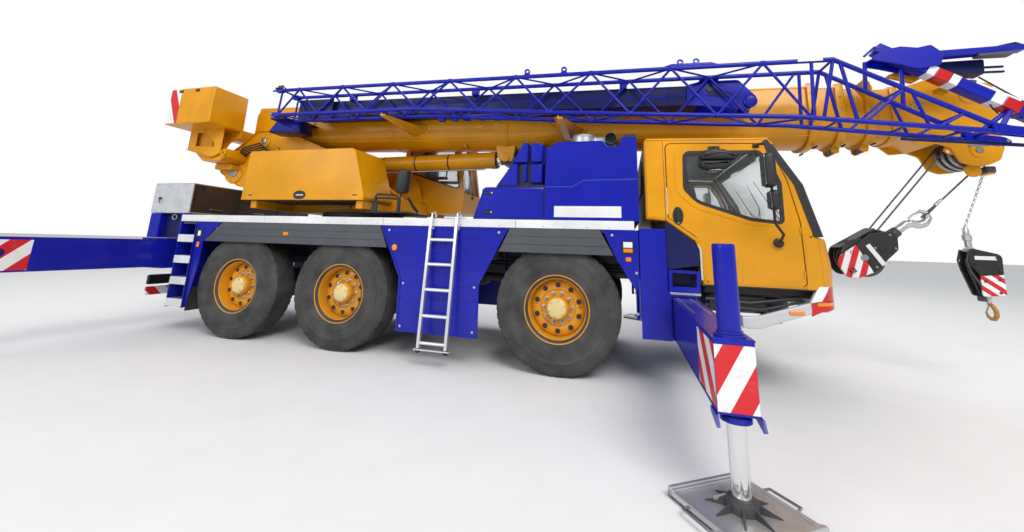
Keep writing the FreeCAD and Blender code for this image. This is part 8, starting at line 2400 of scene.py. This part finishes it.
def fall_from(end, hand, y, r):
    """A rope tangent to the lower sheaves on one side."""
    reach_x, reach_z = end[0] - CENTRE.x, end[1] - CENTRE.z
    size = math.hypot(reach_x, reach_z)
    bearing = math.atan2(reach_z, reach_x) + hand * math.asin(LIFT / size)
    dx, dz = math.cos(bearing), math.sin(bearing)
    start = (CENTRE.x + hand * LIFT * dz, y, CENTRE.z - hand * LIFT * dx)
    hook.rod(start, (end[0], y, end[1]), r, ROPE, 12)
    return start


fall_from((ax(BX + 0.05), 1.64), 1, -0.128, 0.009)
fall_from((ax(BX + 0.05), 1.64), 1, 0.072, 0.009)
top = fall_from((ax(BX + 0.59), 1.835), -1, -0.028, 0.009)
hook.tube([(ax(BX + 0.54), -0.028, 1.8), (ax(BX + 0.6), -0.06, 1.85), (ax(BX + 0.68), -0.045, 1.925),
    (ax(BX + 0.7), -0.028, 1.95)], 0.008, ROPE, 8)
hook.tube([(ax(BX + 0.54), -0.028, 1.8), (ax(BX + 0.6), 0.004, 1.85), (ax(BX + 0.68), -0.012, 1.925),
    (ax(BX + 0.7), -0.028, 1.95)], 0.008, ROPE, 8)
hook.frustum((ax(BX + 0.69), -0.028, 1.94), (ax(BX + 0.76), -0.028, 2.01), 0.02, 0.014, GALV, 14)
hook.done()

# Small hook block with its striped tail plates

SX = 4.52
small = Build("small_hook_block", "small_hook", ["small_hook"], "striped_paint")


def at_small(points):
    return [(ax(SX + dx), z) for dx, z in points]


plate = rounded(at_small([(-0.13, 1.475), (0.15, 1.404), (0.131, 1.195), (-0.071, 1.175), (-0.151, 1.319)]),
    [0.04, 0.05, 0.01, 0.01, 0.05], 4)
tail = rounded(at_small([(-0.071, 1.1745), (0.131, 1.1945), (0.123, 0.98), (-0.081, 0.958)]),
    [0.005, 0.005, 0.02, 0.02], 3)
back = rounded(at_small([(-0.115, 1.463), (0.06, 1.43), (0.08, 1.18), (0.023, 0.948), (-0.08, 0.958),
    (-0.15, 1.24)]), [0.05, 0.05, 0.06, 0.03, 0.03, 0.05], 4)
soft_block(small, "xz", plate, -0.06, -0.036, BLACK, 0.005, 2)
soft_block(small, "xz", tail, -0.058, -0.038, STRIPE_SMALL, 0.005, 2)
soft_block(small, "xz", back, 0.074, 0.1, BLACK, 0.005, 2)
soft_block(small, "xz", drawn_in(back, 0.012), -0.01, 0.012, BLACK, 0.004, 2)
small.box((ax(SX - 0.095), ax(SX + 0.095)), (-0.0625, -0.0598), (1.345, 1.385), WHITE, 0.001)
for dx, z in ((-0.085, 1.42), (0.095, 1.37), (-0.095, 1.3), (0.1, 1.225), (-0.04, 1.12), (0.085, 1.14),
        (0.07, 1.005)):
    small.rod((ax(SX + dx), -0.068, z), (ax(SX + dx), 0.104, z), 0.012, BLACK if z > 1.2 else IRON, 12)
hub = Vector((ax(SX - 0.02), 0.02, 1.3))
small.lathe(hub - Vector((0, 0.02, 0)), (0, 1, 0), [(0.02, 0), (0.02, 0.04), (0.09, 0.034), (0.105, 0.04),
    (0.095, 0.02), (0.105, 0), (0.09, 0.006)], IRON, 36, closed=True)
for dy in (-0.045, 0.085):
    small.tube([(ax(SX - 0.12), dy, 1.45), (ax(SX - 0.158), dy, 1.33), (ax(SX - 0.14), dy, 1.22),
        (ax(SX - 0.08), dy, 1.09), (ax(SX - 0.06), dy, 0.975)], 0.01, IRON, 10)
# swivel above, rope and its joint with the chain
small.lathe((ax(SX - 0.075), 0.022, 1.43), (0, 0, 1), [(0.05, 0), (0.05, 0.03), (0.036, 0.045),
    (0.03, 0.05), (0.03, 0.12), (0.04, 0.125), (0.04, 0.18), (0.028, 0.19), (0.026, 0.26), (0.014, 0.275),
    (0, 0.275)], GALV, 24)
small.box((ax(SX - 0.102), ax(SX - 0.048)), (-0.006, 0.05), (1.548, 1.6), IRON, 0.006)
TOPX, TOPZ = boom_point(NOSE - 0.235, 0, 0.46).x + 0.2133, boom_point(NOSE - 0.235, 0, 0.46).z
small.rod((TOPX, 0.009, TOPZ), (TOPX, 0.035, TOPZ), 0.0128, STEEL, 20)
small.tube([(TOPX, 0.022, TOPZ), (TOPX, 0.022, 2.36)], 0.009, ROPE, 12)
knee, end = Vector((TOPX, 0.022, 2.36)), Vector((ax(SX - 0.075), 0.022, 1.7))
small.lathe(knee, (0, 0, 1), [(0, -0.02), (0.014, -0.014), (0.017, 0), (0.014, 0.014), (0, 0.02)], GALV, 14)
links = 22
for k in range(links):
    p0, p1 = knee.lerp(end, k / links), knee.lerp(end, (k + 1.25) / links if k < links - 1 else 1)
    wide = Vector((0, 0.011, 0)) if k % 2 else Vector((0.011, 0, -0.004))
    mid = (p0 + p1) / 2
    small.tube([tuple(p0), tuple(mid.lerp(p0, 0.5) + wide), tuple(mid.lerp(p1, 0.5) + wide), tuple(p1),
        tuple(mid.lerp(p1, 0.5) - wide), tuple(mid.lerp(p0, 0.5) - wide)], 0.0042, GALV, 6, closed=True)
# hook below: stem, bend in dark orange as painted shade, and latch
small.lathe((ax(SX + 0.005), 0.02, 0.975), (0, 0, -1), [(0.03, 0), (0.03, 0.03), (0.022, 0.036),
    (0.02, 0.1), (0.024, 0.105), (0, 0.12)], GALV, 20)
small.box((ax(SX - 0.075), ax(SX - 0.035)), (-0.02, 0.05), (0.905, 0.96), IRON, 0.006)
bend = [(0.02, 0.88, 0.02), (-0.02, 0.862, 0.02), (-0.048, 0.815, 0.021), (-0.046, 0.765, 0.021),
    (-0.012, 0.73, 0.02), (0.03, 0.724, 0.018), (0.066, 0.745, 0.014), (0.082, 0.788, 0.009)]
for (y0, z0, r0), (y1, z1, r1) in zip(bend, bend[1:]):
    small.frustum((ax(SX + 0.005), y0, z0), (ax(SX + 0.005), y1, z1), r0, r1, SHADED_ORANGE, 16)
    small.lathe((ax(SX + 0.005), y1, z1), (1, 0, 0), [(0, -r1), (r1 * 0.7, -r1 * 0.7), (r1, 0),
        (r1 * 0.7, r1 * 0.7), (0, r1)], SHADED_ORANGE, 14)
small.tube([(ax(SX + 0.005), 0.03, 0.868), (ax(SX + 0.005), 0.078, 0.795)], 0.006, STEEL, 8)
small.done()


# Finishes of the nodes whose shapes stay

FINISHES = {"frame": FRAME, "deck": PLATE, "side_panels": BLUE, "fenders": GREY_DARK, "hood": BLUE,
    "engine": IRON, "intakes": BLACK, "exhaust": BLACK, "outrigger_boxes": FRAME,
    "ladders_and_locker": BLUE, "bumpers": BUMPER, "cab_shell": YELLOW, "cab_glass": GLASS,
    "cab_fittings": INSIDE, "axles": IRON, "turntable": YELLOW, "engine_housing": YELLOW,
    "counterweight": YELLOW, "crane_cab": YELLOW, "crane_glass": GLASS, "crane_seat": CLOTH,
    "crane_door": YELLOW, "boom_base": YELLOW, "boom_stage_1": YELLOW, "boom_stage_2": YELLOW,
    "boom_stage_3": YELLOW, "jib": BLUE, "lift_barrel": YELLOW, "lift_ram": CHROME, "main_hook": BLACK,
    "small_hook": YELLOW, "cab_door_left": YELLOW, "cab_door_right": YELLOW,}
for where in ("front", "middle", "rear"):
    for hand in ("left", "right"):
        FINISHES["knuckle_%s_%s" % (where, hand)] = IRON
        FINISHES["tyre_%s_%s" % (where, hand)] = RUBBER
        FINISHES["rim_%s_%s" % (where, hand)] = YELLOW
        FINISHES["outrigger_beam_%s_%s" % (where, hand)] = BLUE
        FINISHES["jack_%s_%s" % (where, hand)] = CHROME


def set_nodes():
    for node, mat in FINISHES.items():
        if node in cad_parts:
            set_material(node, mat)


# Stage: floor, light, camera


def stage():
    scene = bpy.context.scene
    bpy.ops.mesh.primitive_plane_add(size=400)
    floor = bpy.context.active_object
    floor.name = "stage_floor"
    mat, tree, shader = new_material("stage_floor")
    grain = noise(tree, 2.2, 5)
    link(tree, mix_rgb(tree, ramp(tree, grain, 0.3, 0.7), (0.8, 0.8, 0.8), (0.83, 0.83, 0.83)),
        shader.inputs["Base Color"])
    shader.inputs["Roughness"].default_value = 0.9
    shader.inputs["Specular IOR Level"].default_value = 0.1
    floor.data.materials.append(mat)

    world = bpy.data.worlds.new("studio")
    scene.world = world
    world.use_nodes = True
    tree = world.node_tree
    tree.nodes.clear()
    out = tree.nodes.new("ShaderNodeOutputWorld")
    soft = tree.nodes.new("ShaderNodeBackground")
    white = tree.nodes.new("ShaderNodeBackground")
    white.inputs["Color"].default_value = (1, 1, 1, 1)
    white.inputs["Strength"].default_value = 1.0
    spot = tree.nodes.new("ShaderNodeTexCoord")
    split = tree.nodes.new("ShaderNodeSeparateXYZ")
    tree.links.new(spot.outputs["Generated"], split.inputs[0])
    blend = tree.nodes.new("ShaderNodeValToRGB")
    blend.color_ramp.elements[0].position = 0.0
    blend.color_ramp.elements[0].color = (0.42, 0.44, 0.47, 1)
    blend.color_ramp.elements[1].position = 0.8
    blend.color_ramp.elements[1].color = (0.98, 0.99, 1.0, 1)
    tree.links.new(split.outputs[2], blend.inputs[0])
    tree.links.new(blend.outputs[0], soft.inputs["Color"])
    soft.inputs["Strength"].default_value = 0.75
    path = tree.nodes.new("ShaderNodeLightPath")
    mix = tree.nodes.new("ShaderNodeMixShader")
    tree.links.new(path.outputs["Is Camera Ray"], mix.inputs[0])
    tree.links.new(soft.outputs[0], mix.inputs[1])
    tree.links.new(white.outputs[0], mix.inputs[2])
    tree.links.new(mix.outputs[0], out.inputs[0])

    def lamp(name, spot, aim, size, power, colour=(1, 1, 1)):
        data = bpy.data.lights.new(name, "AREA")
        data.shape = "RECTANGLE"
        data.size, data.size_y = size
        data.energy = power
        data.color = colour
        thing = bpy.data.objects.new(name, data)
        scene.collection.objects.link(thing)
        thing.location = spot
        thing.rotation_euler = (Vector(aim) - Vector(spot)).to_track_quat("-Z", "Y").to_euler()

    lamp("lamp_key", (7.5, -13, 13), (0, 0, 1.2), (9, 7), 1900, (1.0, 0.98, 0.95))
    lamp("lamp_fill", (-9, -14, 7), (-1, 0, 1.4), (9, 6), 650, (0.95, 0.97, 1.0))
    lamp("lamp_back", (-3, 13, 11), (0, 0, 1.5), (12, 6), 900)

    yaw, pitch, roll = 0.2697, 0.2094, 0.0321
    right = Vector((math.cos(yaw), math.sin(yaw), 0))
    ahead = Vector((-math.sin(yaw), math.cos(yaw), 0))
    up = Vector((0, 0, 1))
    ahead2 = ahead * math.cos(pitch) + up * math.sin(pitch)
    up2 = up * math.cos(pitch) - ahead * math.sin(pitch)
    right3 = right * math.cos(roll) + up2 * math.sin(roll)
    up3 = up2 * math.cos(roll) - right * math.sin(roll)
    data = bpy.data.cameras.new("photo_camera")
    data.sensor_width = 36
    data.lens = 402.9071 * 36 / 1024
    data.shift_x = 0.0
    data.shift_y = (159.5132 - 266) / 1024
    camera = bpy.data.objects.new("photo_camera", data)
    scene.collection.objects.link(camera)
    turn = Matrix((right3, up3, -ahead2)).transposed().to_4x4()
    camera.matrix_world = Matrix.Translation((FX + 0.7105, -5.7643, 1.3416)) @ turn
    scene.camera = camera
    scene.view_settings.view_transform = "Standard"


stage()
set_nodes()
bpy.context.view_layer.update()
